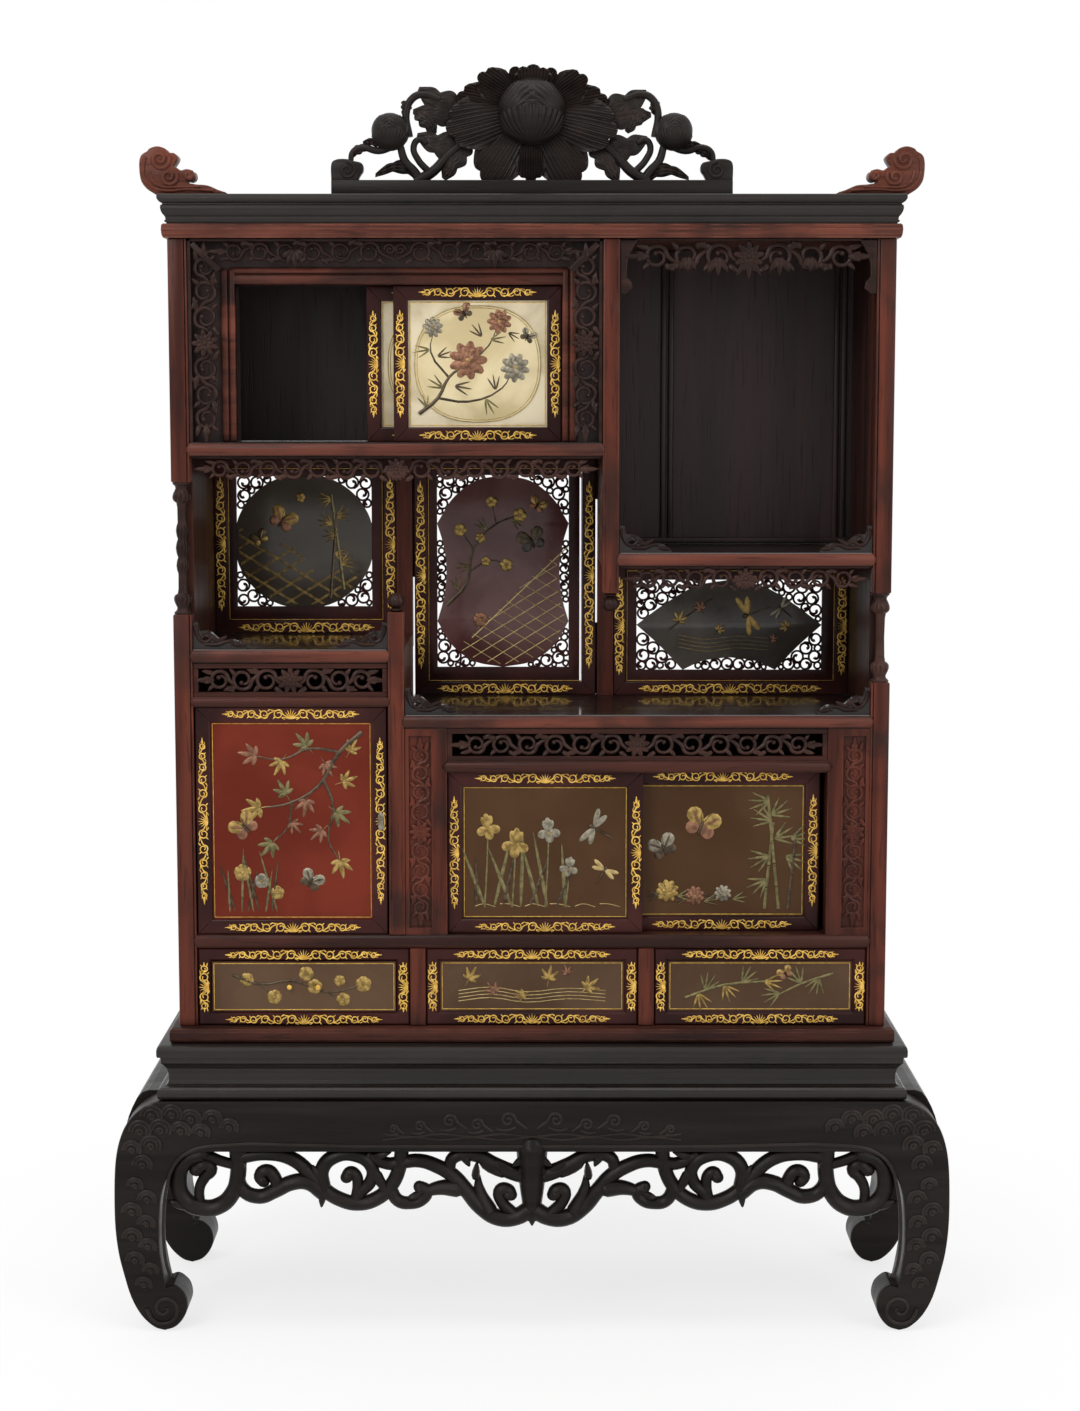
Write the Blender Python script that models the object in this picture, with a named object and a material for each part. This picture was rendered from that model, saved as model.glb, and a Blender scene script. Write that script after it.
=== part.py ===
"""A standing display cabinet: an asymmetrical case with niches, sliding doors, a hinged cupboard
and three drawers, on a stand with scroll feet, under a carved crest.

Metres, +Z up, front towards -Y, origin on the floor under the middle of the case.
"""

import math

import bmesh
import bpy
from mathutils import Vector

for item in list(bpy.data.objects):
    bpy.data.objects.remove(item, do_unlink=True)

# Driving dimensions: clearances
FIT = 0.0003  # gap left between pieces that touch
SLIP = 0.0006  # running gap of doors and drawers

# Driving dimensions: case plan
CASE_WIDTH = 1.188
CASE_DEPTH = 0.340
POST_WIDTH = 0.031
POST_DEPTH = 0.034
DIVISION_WIDTH = 0.028  # centre posts and the partitions behind them
LOWER_DIVISION_X = -0.226
UPPER_DIVISION_X = 0.130
BACK_THICKNESS = 0.012
BACK_POST_DEPTH = 0.034
BAY_SIDE_SETBACK = 0.014  # of the sides of the open bays, behind the outsides of the posts
BOARD_SETBACK = 0.001  # of boards and rails behind the front of the posts
BOARD_EASE = 0.0015  # of the edges of boards and rails

# Driving dimensions: turned stretches of the posts
MELON_HEIGHT = 0.034
LEFT_SPINDLE_RISE = 0.058
LEFT_SPINDLE_DROP = 0.042
RIGHT_SPINDLE_RISE = 0.054
CENTRE_POST_RISE = 0.062
PENDANT_DROP = 0.044

# Driving dimensions: heights, from the floor up
STAND_HEIGHT = 0.397
STAND_TOP_HEIGHT = 0.094
PLINTH_HEIGHT = 0.026
DRAWER_BAY = 0.1335
MIDDLE_BOARD = 0.0225
DOOR_BAY = 0.3845
LEFT_LINTEL = 0.017
LEFT_FRIEZE = 0.0563
SHELF = 0.023
LEFT_NICHE = 0.3182
UPPER_BAY = 0.331
SLIDING_BAY = 0.275
CENTRE_LINTEL = 0.019
CENTRE_FRIEZE = 0.0545
RIGHT_NICHE = 0.2465
CORNICE_HEIGHT = 0.070

# Driving dimensions: stand
STAND_WIDTH = 1.408
STAND_DEPTH = 0.420
LEG_THICKNESS = 0.074
LEG_BLOCK = 0.138  # from the widest point of a leg in to its joint with the apron
APRON_HEIGHT = 0.087
APRON_THICKNESS = 0.036
SIDE_APRON_THICKNESS = 0.038
KNEE_REACH = 0.075  # of the knees beyond the stand's top
STAND_TOP_WIDTH = STAND_WIDTH - 2 * KNEE_REACH
STAND_TOP_DEPTH = STAND_DEPTH - 0.010
PLINTH_OVERHANG = 0.015
FRET_THICKNESS = 0.022
FRET_DEPTH = 0.128

# Driving dimensions: lower front
PILASTER_WIDTH = 0.050
PILASTER_SUNK = 0.007
STILE_WIDTH = 0.020
STILE_DEPTH = 0.060
DIVIDER_WIDTH = 0.026
FRIEZE_THICKNESS = 0.014

# Driving dimensions: doors and drawers
DOOR_THICKNESS = 0.018
DOOR_RAIL = 0.024
FRAME_EASE = 0.003  # of the outer edges of door, drawer and panel frames
DOOR_PANEL_SUNK = 0.006
PULL_WIDTH = 0.011
PULL_HEIGHT = 0.032
PANEL_THICKNESS = 0.006
DOOR_LAP = 0.019
DOOR_STEP = 0.003  # between the two planes of a pair of sliding doors
LOWER_DOOR_SETBACK = 0.014
LOWER_DOOR_AJAR = 0.008
UPPER_DOOR_SETBACK = 0.055
UPPER_DOOR_AJAR = 0.213
CUPBOARD_DOOR_SETBACK = 0.004
CUPBOARD_DOOR_GAP = 0.0025
PIVOT_INSET = 0.005
PIVOT_RADIUS = 0.0025
PIVOT_LENGTH = 0.008
PIVOT_PLAY = 0.0005
DRAWER_SETBACK = 0.005
DRAWER_FRONT = 0.020
DRAWER_BACK_GAP = 0.011  # behind a closed drawer
DRAWER_WALL = 0.010
DRAWER_FLOOR = 0.008
DRAWER_SIDE_HEIGHT = 0.095
DRAWER_SUNK = 0.006  # of the field behind the front of its frame
KNOB_RADIUS = 0.0036
KNOB_LENGTH = 0.011
KNOB_SPREAD = 0.048

# Driving dimensions: doorway of the upper cupboard
DOORWAY_STILE_LEFT = 0.074
DOORWAY_STILE_RIGHT = 0.066
DOORWAY_HEAD = 0.0727
DOORWAY_SETBACK = 0.045
DOORWAY_DEPTH = 0.056

# Driving dimensions: pierced back panels
PANEL_FRAME = 0.024
PANEL_FRAME_THICKNESS = 0.020
PANEL_MARGIN = 0.019
PANEL_STEP = 0.005
PANEL_INSET = 0.030  # from the back of the case to the frames' faces
PANEL_LIGHT = 0.0035  # the slit at each side of the middle frame
HOLE_PITCH = 0.0198

# Driving dimensions: fret work of the case
FRET_BOARD = 0.012
UPPER_FRET_SIDE = 0.052
UPPER_FRET_TOP = 0.038
NICHE_FRET_DEPTH = 0.052
VALANCE_DEPTH = 0.040
SPANDREL_LENGTH = 0.086
SPANDREL_HEIGHT = 0.044
SPANDREL_THICKNESS = 0.016
SPANDREL_SETBACK = 0.010
CASE_FRET_SETBACK = 0.004
VALANCE_SETBACK = 0.010
NICHE_TAIL = 0.089  # drop of the niche fret's ends
NICHE_TAIL_WIDTH = 0.014

# Driving dimensions: top
CORNICE_OVERHANG = 0.014
CREST_WIDTH = 0.654
CREST_BAR = 0.024
CREST_THICKNESS = 0.030
CREST_SETBACK = 0.012
FLOWER_WIDTH = 0.278
FLOWER_HEIGHT = 0.192
FLOWER_BUD = 0.053
SIDE_BUD_X = 0.230
SIDE_BUD_RISE = 0.098
SIDE_BUD = 0.029
FINIAL_THICKNESS = 0.040
FINIAL_REACH = 0.031  # beyond the cornice

# Levels
STAND_TOP_Z = STAND_HEIGHT + STAND_TOP_HEIGHT
PLINTH_Z = STAND_TOP_Z + PLINTH_HEIGHT
DRAWER_TOP_Z = PLINTH_Z + DRAWER_BAY
MIDDLE_Z = DRAWER_TOP_Z + MIDDLE_BOARD
LEFT_DOOR_TOP_Z = MIDDLE_Z + DOOR_BAY
LEFT_LINTEL_Z = LEFT_DOOR_TOP_Z + LEFT_LINTEL
LEFT_FRIEZE_Z = LEFT_LINTEL_Z + LEFT_FRIEZE
LEFT_SHELF_Z = LEFT_FRIEZE_Z + SHELF
UPPER_FLOOR_UNDER_Z = LEFT_SHELF_Z + LEFT_NICHE
UPPER_FLOOR_Z = UPPER_FLOOR_UNDER_Z + SHELF
TOP_Z = UPPER_FLOOR_Z + UPPER_BAY
SLIDING_TOP_Z = MIDDLE_Z + SLIDING_BAY
CENTRE_LINTEL_Z = SLIDING_TOP_Z + CENTRE_LINTEL
CENTRE_FRIEZE_Z = CENTRE_LINTEL_Z + CENTRE_FRIEZE
CENTRE_SHELF_Z = CENTRE_FRIEZE_Z + SHELF
NICHE_FLOOR_UNDER_Z = CENTRE_SHELF_Z + RIGHT_NICHE
NICHE_FLOOR_Z = NICHE_FLOOR_UNDER_Z + SHELF
CORNICE_Z = TOP_Z + CORNICE_HEIGHT

# Planes
FRONT_Y = -CASE_DEPTH / 2
BOARD_Y = FRONT_Y + BOARD_SETBACK
BACK_Y = CASE_DEPTH / 2
OUTER_X = CASE_WIDTH / 2
INNER_X = OUTER_X - POST_WIDTH
LOWER_DIVISION = (LOWER_DIVISION_X - DIVISION_WIDTH / 2, LOWER_DIVISION_X + DIVISION_WIDTH / 2)
UPPER_DIVISION = (UPPER_DIVISION_X - DIVISION_WIDTH / 2, UPPER_DIVISION_X + DIVISION_WIDTH / 2)
POST_BACK_Y = FRONT_Y + POST_DEPTH
BACK_POST_Y = BACK_Y - BACK_POST_DEPTH
BACK_BOARD_Y = BACK_POST_Y
DRAWER_DEPTH = BACK_BOARD_Y - DRAWER_BACK_GAP - FRONT_Y - DRAWER_SETBACK
STAND_FRONT_Y = -STAND_DEPTH / 2
PANEL_Y = BACK_Y - PANEL_INSET

# Finishes: colour, roughness, metallic
FINISHES = {
    "hardwood": ((0.085, 0.026, 0.020), 0.36, 0.0),
    "ebonised": ((0.020, 0.015, 0.013), 0.34, 0.0),
    "carved": ((0.040, 0.020, 0.016), 0.42, 0.0),
    "dark_board": ((0.022, 0.013, 0.012), 0.30, 0.0),
    "lacquer": ((0.024, 0.011, 0.011), 0.22, 0.0),
    "ivory_ground": ((0.62, 0.55, 0.42), 0.40, 0.0),
    "red_lacquer": ((0.235, 0.042, 0.030), 0.18, 0.0),
    "olive_lacquer": ((0.088, 0.055, 0.034), 0.18, 0.0),
    "brass": ((0.55, 0.40, 0.17), 0.30, 1.0),
    "dark_metal": ((0.05, 0.045, 0.04), 0.40, 1.0),
}


# Shape helpers


def solid_object(name, mesh, finish, axis=None):
    """Place a mesh made in world coordinates as one named object, on its joint's axis if it moves."""
    mesh.name = name
    mesh.materials.clear()
    colour, roughness, metallic = FINISHES[finish]
    material = bpy.data.materials.new(name + "_finish")
    material.use_nodes = True
    shader = material.node_tree.nodes["Principled BSDF"]
    shader.inputs["Base Color"].default_value = (*colour, 1.0)
    shader.inputs["Roughness"].default_value = roughness
    shader.inputs["Metallic"].default_value = metallic
    mesh.materials.append(material)
    placed = bpy.data.objects.new(name, mesh)
    bpy.context.collection.objects.link(placed)
    if axis:
        for vertex in mesh.vertices:
            vertex.co -= axis.location
        placed.parent = axis
    return placed


def joint_axis(name, place):
    """An empty on the axis of a joint, which carries the pieces that move with it."""
    axis = bpy.data.objects.new(name, None)
    axis.location = place
    axis.empty_display_size = 0.05
    bpy.context.collection.objects.link(axis)
    return axis


def mesh_of(bm):
    bmesh.ops.recalc_face_normals(bm, faces=bm.faces)
    mesh = bpy.data.meshes.new("shape")
    bm.to_mesh(mesh)
    bm.free()
    return mesh


def block(low, high, chamfer=0.0):
    """A board between two corners, its edges eased."""
    bm = bmesh.new()
    bmesh.ops.create_cube(bm, size=1.0)
    for vertex in bm.verts:
        vertex.co = [a + (c + 0.5) * (b - a) for a, b, c in zip(low, high, vertex.co)]
    if chamfer:
        bmesh.ops.bevel(bm, geom=bm.edges[:], offset=chamfer, segments=1, profile=0.5, affect="EDGES")
    return mesh_of(bm)


def loft(loops, closed=False):
    """Skin over sections with equally many points; a closed loft is a ring, an open one is capped."""
    bm = bmesh.new()
    rows = [[bm.verts.new(point) for point in loop] for loop in loops]
    pairs = list(zip(rows, rows[1:]))
    if closed:
        pairs.append((rows[-1], rows[0]))
    for first, second in pairs:
        for i in range(len(first)):
            bm.faces.new((first[i - 1], first[i], second[i], second[i - 1]))
    if not closed:
        bm.faces.new(rows[0])
        bm.faces.new(rows[-1])
    return mesh_of(bm)


def cut_out(outline, holes, place, depth):
    """A flat board of an outline with holes; `place` puts a point of the outline in the world."""
    bm = bmesh.new()
    edges = []
    for loop in [outline, *holes]:
        corners = [bm.verts.new(place(*point)) for point in loop]
        edges += [bm.edges.new((corners[i - 1], corners[i])) for i in range(len(corners))]
    filled = bmesh.ops.triangle_fill(bm, edges=edges, use_beauty=True, use_dissolve=False)
    faces = [f for f in filled["geom"] if isinstance(f, bmesh.types.BMFace)]
    raised = bmesh.ops.extrude_face_region(bm, geom=faces)
    moved = [v for v in raised["geom"] if isinstance(v, bmesh.types.BMVert)]
    bmesh.ops.translate(bm, verts=moved, vec=depth)
    return mesh_of(bm)


def front_board(outline, holes, y_front, y_back):
    """A cut-out board that faces the front, its outline in X and Z."""
    return cut_out(outline, holes, lambda x, z: (x, y_front, z), (0, y_back - y_front, 0))


def side_board(outline, x_low, x_high):
    """A board with its outline in Y and Z."""
    return cut_out(outline, [], lambda y, z: (x_low, y, z), (x_high - x_low, 0, 0))


def rectangle(x_low, x_high, z_low, z_high):
    return [(x_low, z_low), (x_high, z_low), (x_high, z_high), (x_low, z_high)]


def fused(meshes):
    """One body from solids that run into each other."""
    parts = []
    for mesh in meshes:
        part = bpy.data.objects.new("part", mesh)
        bpy.context.collection.objects.link(part)
        parts.append(part)
    others = bpy.data.collections.new("others")
    bpy.context.scene.collection.children.link(others)
    for part in parts[1:]:
        others.objects.link(part)
    join = parts[0].modifiers.new("join", "BOOLEAN")
    join.operation = "UNION"
    join.solver = "EXACT"
    join.operand_type = "COLLECTION"
    join.collection = others
    graph = bpy.context.evaluated_depsgraph_get()
    result = bpy.data.meshes.new_from_object(parts[0].evaluated_get(graph))
    for part in parts:
        bpy.data.objects.remove(part, do_unlink=True)
    bpy.data.collections.remove(others)
    return result


def cut(mesh, cutters):
    """A solid less the cutters."""
    body = bpy.data.objects.new("body", mesh)
    bpy.context.collection.objects.link(body)
    tools = []
    for cutter in cutters:
        tool = bpy.data.objects.new("tool", cutter)
        bpy.context.collection.objects.link(tool)
        trim = body.modifiers.new("trim", "BOOLEAN")
        trim.operation = "DIFFERENCE"
        trim.solver = "EXACT"
        trim.object = tool
        tools.append(tool)
    graph = bpy.context.evaluated_depsgraph_get()
    result = bpy.data.meshes.new_from_object(body.evaluated_get(graph))
    for used in [body, *tools]:
        bpy.data.objects.remove(used, do_unlink=True)
    return result


def smooth_line(points, per_span):
    """Points along a Catmull-Rom curve through the given ones."""
    line = [Vector(p) for p in points]
    ends = [2 * line[0] - line[1], *line, 2 * line[-1] - line[-2]]
    found = []
    for i in range(len(line) - 1):
        a, b, c, d = ends[i : i + 4]
        for k in range(per_span):
            t = k / per_span
            bend = (2 * a - 5 * b + 4 * c - d) * t**2
            swing = (3 * b - a - 3 * c + d) * t**3
            found.append(0.5 * (2 * b + (c - a) * t + bend + swing))
    return [*found, line[-1]]


def ribbon(points, start_width, end_width, y_front, y_back, per_span):
    """A carved stem: a flat band that tapers along a smooth line in X and Z."""
    line = smooth_line(points, per_span)
    loops = []
    for i, point in enumerate(line):
        along = line[min(i + 1, len(line) - 1)] - line[max(i - 1, 0)]
        along.normalize()
        share = i / (len(line) - 1)
        half = (start_width + (end_width - start_width) * share) / 2
        side = Vector((-along[1], along[0])) * half
        a = point + side
        b = point - side
        front = [(a[0], y_front, a[1]), (b[0], y_front, b[1])]
        back = [(b[0], y_back, b[1]), (a[0], y_back, a[1])]
        loops.append(front + back)
    return loft(loops)


def leaf(base, tip, width, y_front, y_back):
    """A pointed leaf from its base to its tip, widest before the middle."""
    start = Vector(base)
    run = Vector(tip) - start
    side = Vector((-run[1], run[0])).normalized() * width / 2
    shape = ((0.0, 0.25), (0.2, 0.85), (0.42, 1.0), (0.72, 0.62), (1.0, 0.06))
    left = [start + run * t + side * s for t, s in shape]
    right = [start + run * t - side * s for t, s in reversed(shape)]
    return front_board([tuple(p) for p in left + right], [], y_front, y_back)


def mirrored(points):
    return [(-x, z) for x, z in points]


def comma(x, z, radius, turn, hand):
    """A pierced comma: a round head that draws out into a curled tail."""
    head_x = x + radius * 0.42 * math.cos(turn)
    head_z = z + radius * 0.42 * math.sin(turn)
    found = []
    for k in range(4):
        a = turn + hand * math.radians(-70 + 70 * k)
        found.append((head_x + radius * 0.48 * math.cos(a), head_z + radius * 0.48 * math.sin(a)))
    for reach, angle in ((0.72, 175), (0.98, 225), (0.62, 252), (0.30, 285)):
        a = turn + hand * math.radians(angle)
        found.append((x + radius * reach * math.cos(a), z + radius * reach * math.sin(a)))
    return found


def teardrop(x, z, radius, turn):
    """A pierced drop: round at one end and drawn to a point at the other."""
    shape = ((0.9, 0), (0.62, 62), (0.55, 128), (0.98, 188), (0.55, 226), (0.62, 298))
    steps = [(radius * reach, turn + math.radians(angle)) for reach, angle in shape]
    return [(x + reach * math.cos(a), z + reach * math.sin(a)) for reach, a in steps]


def square_section(half_x, half_y, x, y, z, count=12):
    """Points round a rectangle, on the same rays as a circle's, so that the two can be lofted."""
    found = []
    for k in range(count):
        a = math.pi / 4 + 2 * math.pi * k / count
        c = math.cos(a)
        s = math.sin(a)
        scale = 1 / max(abs(c), abs(s))
        found.append((x + half_x * c * scale, y + half_y * s * scale, z))
    return found


def round_section(radius, x, y, z, count=12):
    steps = [math.pi / 4 + 2 * math.pi * k / count for k in range(count)]
    return [(x + radius * math.cos(a), y + radius * math.sin(a), z) for a in steps]


def moulded_slab(levels, half_x, half_y):
    """A board whose edge follows a moulding on all four sides: levels give height and overhang."""
    loops = []
    for z, out in levels:
        x = half_x + out
        y = half_y + out
        loops.append([(-x, -y, z), (x, -y, z), (x, y, z), (-x, y, z)])
    return loft(loops)


def mitred_frame(x_low, x_high, z_low, z_high, profile):
    """A mitred frame: the profile gives each ring's distance in from the outside, and its depth."""
    loops = []
    for inset, y in profile:
        corners = rectangle(x_low + inset, x_high - inset, z_low + inset, z_high - inset)
        loops.append([(x, y, z) for x, z in corners])
    return loft(loops, closed=True)


# Stand


def leg_outline():
    """Half of the stand's side profile: the bulging knee, the leg and the scroll foot, in X and Z."""
    wide = STAND_WIDTH / 2
    top = STAND_HEIGHT
    knee = [(0.076, 0.0), (0.039, 0.004), (0.016, 0.045), (0.007, 0.087), (0.0008, 0.165)]
    shin = [(0.002, 0.144), (0.007, 0.102), (0.016, 0.060), (0.033, 0.025), (0.058, 0.004)]
    scroll = [(0.062, 0.0), (0.096, 0.0), (0.110, 0.014), (0.121, 0.044), (0.116, 0.068)]
    scroll += [(0.099, 0.081), (0.083, 0.096), (0.077, 0.125)]
    inner = [(0.077, 0.194), (0.086, 0.157), (0.104, 0.120), (LEG_BLOCK, APRON_HEIGHT)]
    outer = [(inset - wide, top - drop) for inset, drop in knee]
    outer += [(inset - wide, rise) for inset, rise in shin]
    foot = [(inset - wide, rise) for inset, rise in scroll]
    rise_side = [(inset - wide, top - drop) for inset, drop in inner]
    line = [*smooth_line(outer, 2), foot[0], *smooth_line(foot[1:], 2), *smooth_line(rise_side, 2)]
    return [*((x, min(z, top)) for x, z in line), (LEG_BLOCK - wide, top)]


def build_legs():
    outline = leg_outline()
    for depth_name, y_low in (("front", STAND_FRONT_Y), ("back", -STAND_FRONT_Y - LEG_THICKNESS)):
        for side_name, points in (("left", outline), ("right", mirrored(outline))):
            leg = front_board(points, [], y_low, y_low + LEG_THICKNESS)
            solid_object(f"stand_leg_{depth_name}_{side_name}", leg, "ebonised")


def build_aprons():
    half = STAND_WIDTH / 2 - LEG_BLOCK - FIT
    top = STAND_HEIGHT
    low = STAND_HEIGHT - APRON_HEIGHT
    bead = 0.019
    face = [(0.0, top), (0.0, low + bead + 0.004), (0.003, low + bead), (0.0, low + bead - 0.004)]
    face += [(0.0, low + 0.005), (0.004, low), (APRON_THICKNESS, low), (APRON_THICKNESS, top)]
    for name, sign in (("front", 1), ("back", -1)):
        ends = [[(x, sign * (STAND_FRONT_Y + y), z) for y, z in face] for x in (-half, half)]
        solid_object(f"stand_{name}_apron", loft(ends), "ebonised")
    wide = STAND_WIDTH / 2
    bulge = [(0.076, 0.0), (0.039, 0.004), (0.016, 0.045), (0.007, APRON_HEIGHT)]
    line = smooth_line([(inset - wide, top - drop) for inset, drop in bulge], 3)
    outer = [(x, min(z, top)) for x, z in line]
    ledge = 0.076 + SIDE_APRON_THICKNESS - wide
    shelf = top - SIDE_APRON_THICKNESS / 2
    inner = [(x + SIDE_APRON_THICKNESS, z) for x, z in reversed(outer) if z < shelf]
    outline = [*outer, *inner, (ledge, shelf), (ledge, top)]
    y_end = -STAND_FRONT_Y - LEG_THICKNESS - FIT
    for name, points in (("left", outline), ("right", mirrored(outline))):
        solid_object(f"stand_{name}_apron", front_board(points, [], -y_end, y_end), "ebonised")


def build_stand_top():
    low = STAND_HEIGHT + FIT
    high = STAND_TOP_Z - FIT
    torus = [(low, -0.005), (low + 0.006, 0.0), (low + 0.019, 0.0), (low + 0.025, -0.006)]
    cove = [(low + 0.027, -0.016), (low + 0.040, -0.018), (low + 0.055, -0.014), (low + 0.064, -0.006)]
    upper = [(high - 0.022, -0.006), (high - 0.019, 0.0), (high - 0.006, 0.0), (high, -0.006)]
    levels = [*torus, *cove, *upper]
    solid_object("stand_top", moulded_slab(levels, STAND_TOP_WIDTH / 2, STAND_TOP_DEPTH / 2), "ebonised")


# Left half of the fret under the apron: each stem is a line of points (from the middle, below the
# apron) with its width at both ends
FRET_STEMS = [
    ([(-0.557, -0.006), (-0.584, -0.018), (-0.596, -0.048), (-0.586, -0.086), (-0.557, -0.101),
      (-0.528, -0.097), (-0.506, -0.076), (-0.496, -0.044), (-0.497, 0.006)], 0.015, 0.014),
    ([(-0.560, -0.096), (-0.561, -0.066), (-0.551, -0.046), (-0.541, -0.034), (-0.552, -0.025),
      (-0.578, -0.030)], 0.007, 0.009),
    ([(-0.580, -0.017), (-0.553, -0.010), (-0.526, -0.019), (-0.499, -0.027)], 0.010, 0.008),
    ([(-0.486, -0.008), (-0.495, -0.040), (-0.488, -0.069), (-0.460, -0.081), (-0.434, -0.071),
      (-0.405, -0.057), (-0.378, -0.056), (-0.352, -0.074)], 0.010, 0.014),
    ([(-0.429, -0.070), (-0.434, -0.048), (-0.447, -0.036), (-0.459, -0.044), (-0.453, -0.055)],
     0.010, 0.007),
    ([(-0.492, -0.012), (-0.447, -0.006), (-0.406, -0.015), (-0.373, -0.042), (-0.349, -0.070),
      (-0.324, -0.086), (-0.295, -0.093), (-0.263, -0.085), (-0.238, -0.062), (-0.224, -0.032),
      (-0.219, 0.006)], 0.012, 0.012),
    ([(-0.352, -0.070), (-0.354, -0.034), (-0.334, -0.012), (-0.297, -0.009), (-0.270, -0.030),
      (-0.272, -0.054), (-0.290, -0.074), (-0.298, -0.090)], 0.013, 0.009),
    ([(-0.298, -0.084), (-0.294, -0.060), (-0.297, -0.044), (-0.307, -0.039), (-0.313, -0.048)],
     0.008, 0.007),
    ([(-0.274, -0.010), (-0.243, -0.024), (-0.222, -0.022), (-0.190, -0.019), (-0.161, -0.028),
      (-0.133, -0.045), (-0.111, -0.070), (-0.087, -0.099), (-0.056, -0.118), (-0.026, -0.116),
      (-0.002, -0.102)], 0.010, 0.015),
    ([(-0.240, -0.064), (-0.226, -0.088), (-0.206, -0.092), (-0.186, -0.086), (-0.178, -0.072),
      (-0.190, -0.064)], 0.011, 0.008),
    ([(-0.184, -0.074), (-0.156, -0.066), (-0.126, -0.066)], 0.008, 0.016),
    ([(-0.140, -0.036), (-0.133, -0.014), (-0.096, -0.009), (-0.062, -0.026), (-0.030, -0.040),
      (-0.004, -0.046)], 0.010, 0.014),
    ([(-0.074, -0.106), (-0.089, -0.070), (-0.091, -0.046)], 0.016, 0.004),
    ([(-0.030, -0.112), (-0.052, -0.088), (-0.054, -0.070), (-0.036, -0.072), (-0.030, -0.060)],
     0.010, 0.008),
    ([(-0.118, 0.006), (-0.115, -0.012), (-0.104, -0.016)], 0.014, 0.010),
]


def build_stand_fret():
    """Openwork of tapering scrolls on both sides of a middle boss, hung under the front apron."""
    top = STAND_HEIGHT - APRON_HEIGHT - FIT
    y = STAND_FRONT_Y + 0.006
    drawn_half = 0.566
    drawn_depth = 0.128
    stretch = (STAND_WIDTH / 2 - LEG_BLOCK) / drawn_half
    drop = FRET_DEPTH / drawn_depth
    boss = [(-0.017, 0.0), (-0.016, -0.050), (-0.020, -0.092), (-0.012, -0.108), (0.0, -0.128)]
    outline = boss + [(-x, z) for x, z in reversed(boss[:-1])]
    outline = [(x, top + z * drop) for x, z in outline]
    shapes = [front_board(outline, [], y - 0.002, y + FRET_THICKNESS)]
    bar = 0.006
    bar_half = STAND_WIDTH / 2 - LEG_BLOCK - bar
    shapes.append(block((-bar_half, y, top - bar), (bar_half, y + FRET_THICKNESS - 0.002, top)))
    for i, (points, start_width, end_width) in enumerate(FRET_STEMS):
        front = y + 0.0004 * (i % 5) + 0.0006
        back = y + FRET_THICKNESS - 0.0004 * (i % 4) - 0.0025
        line = [(x * stretch, top + min(z, -0.003) * drop) for x, z in points]
        for half in (line, mirrored(line)):
            shapes.append(ribbon(half, start_width, end_width, front, back, 1 if len(half) > 7 else 2))
    above = block((-STAND_WIDTH / 2, STAND_FRONT_Y, top), (STAND_WIDTH / 2, 0.0, top + 0.05))
    near_leg = [(x + 3 * FIT, z) for x, z in leg_outline()]
    legs = [front_board(side, [], STAND_FRONT_Y - 0.01, 0.0) for side in (near_leg, mirrored(near_leg))]
    solid_object("stand_fret", cut(fused(shapes), [above, *legs]), "ebonised")


# Case


def build_plinth():
    half_x = OUTER_X
    half_y = CASE_DEPTH / 2
    low = STAND_TOP_Z
    out = PLINTH_OVERHANG
    high = PLINTH_Z - FIT
    levels = [(low, out - 0.002), (low + 0.004, out), (high - 0.006, out), (high, out - 0.005)]
    solid_object("plinth", moulded_slab(levels, half_x, half_y), "hardwood")


def baluster(low, high, x, y):
    """Sections of a carved baluster between two square stretches: a melon, a knotted stem, a melon."""
    melon = [(0.002, 0.0125), (0.006, 0.0085), (0.010, 0.0125), (0.020, 0.0150), (0.030, 0.0120)]
    melon.append((MELON_HEIGHT, 0.0090))
    stem = high - low - 2 * MELON_HEIGHT
    loops = [round_section(r, x, y, low + rise) for rise, r in melon]
    knots = 3
    for k in range(2 * knots - 1):
        radius = 0.0120 if k % 2 else 0.0095
        loops.append(round_section(radius, x, y, low + MELON_HEIGHT + stem * (k + 1) / (2 * knots)))
    loops += [round_section(r, x, y, high - rise) for rise, r in reversed(melon)]
    return loops


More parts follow.
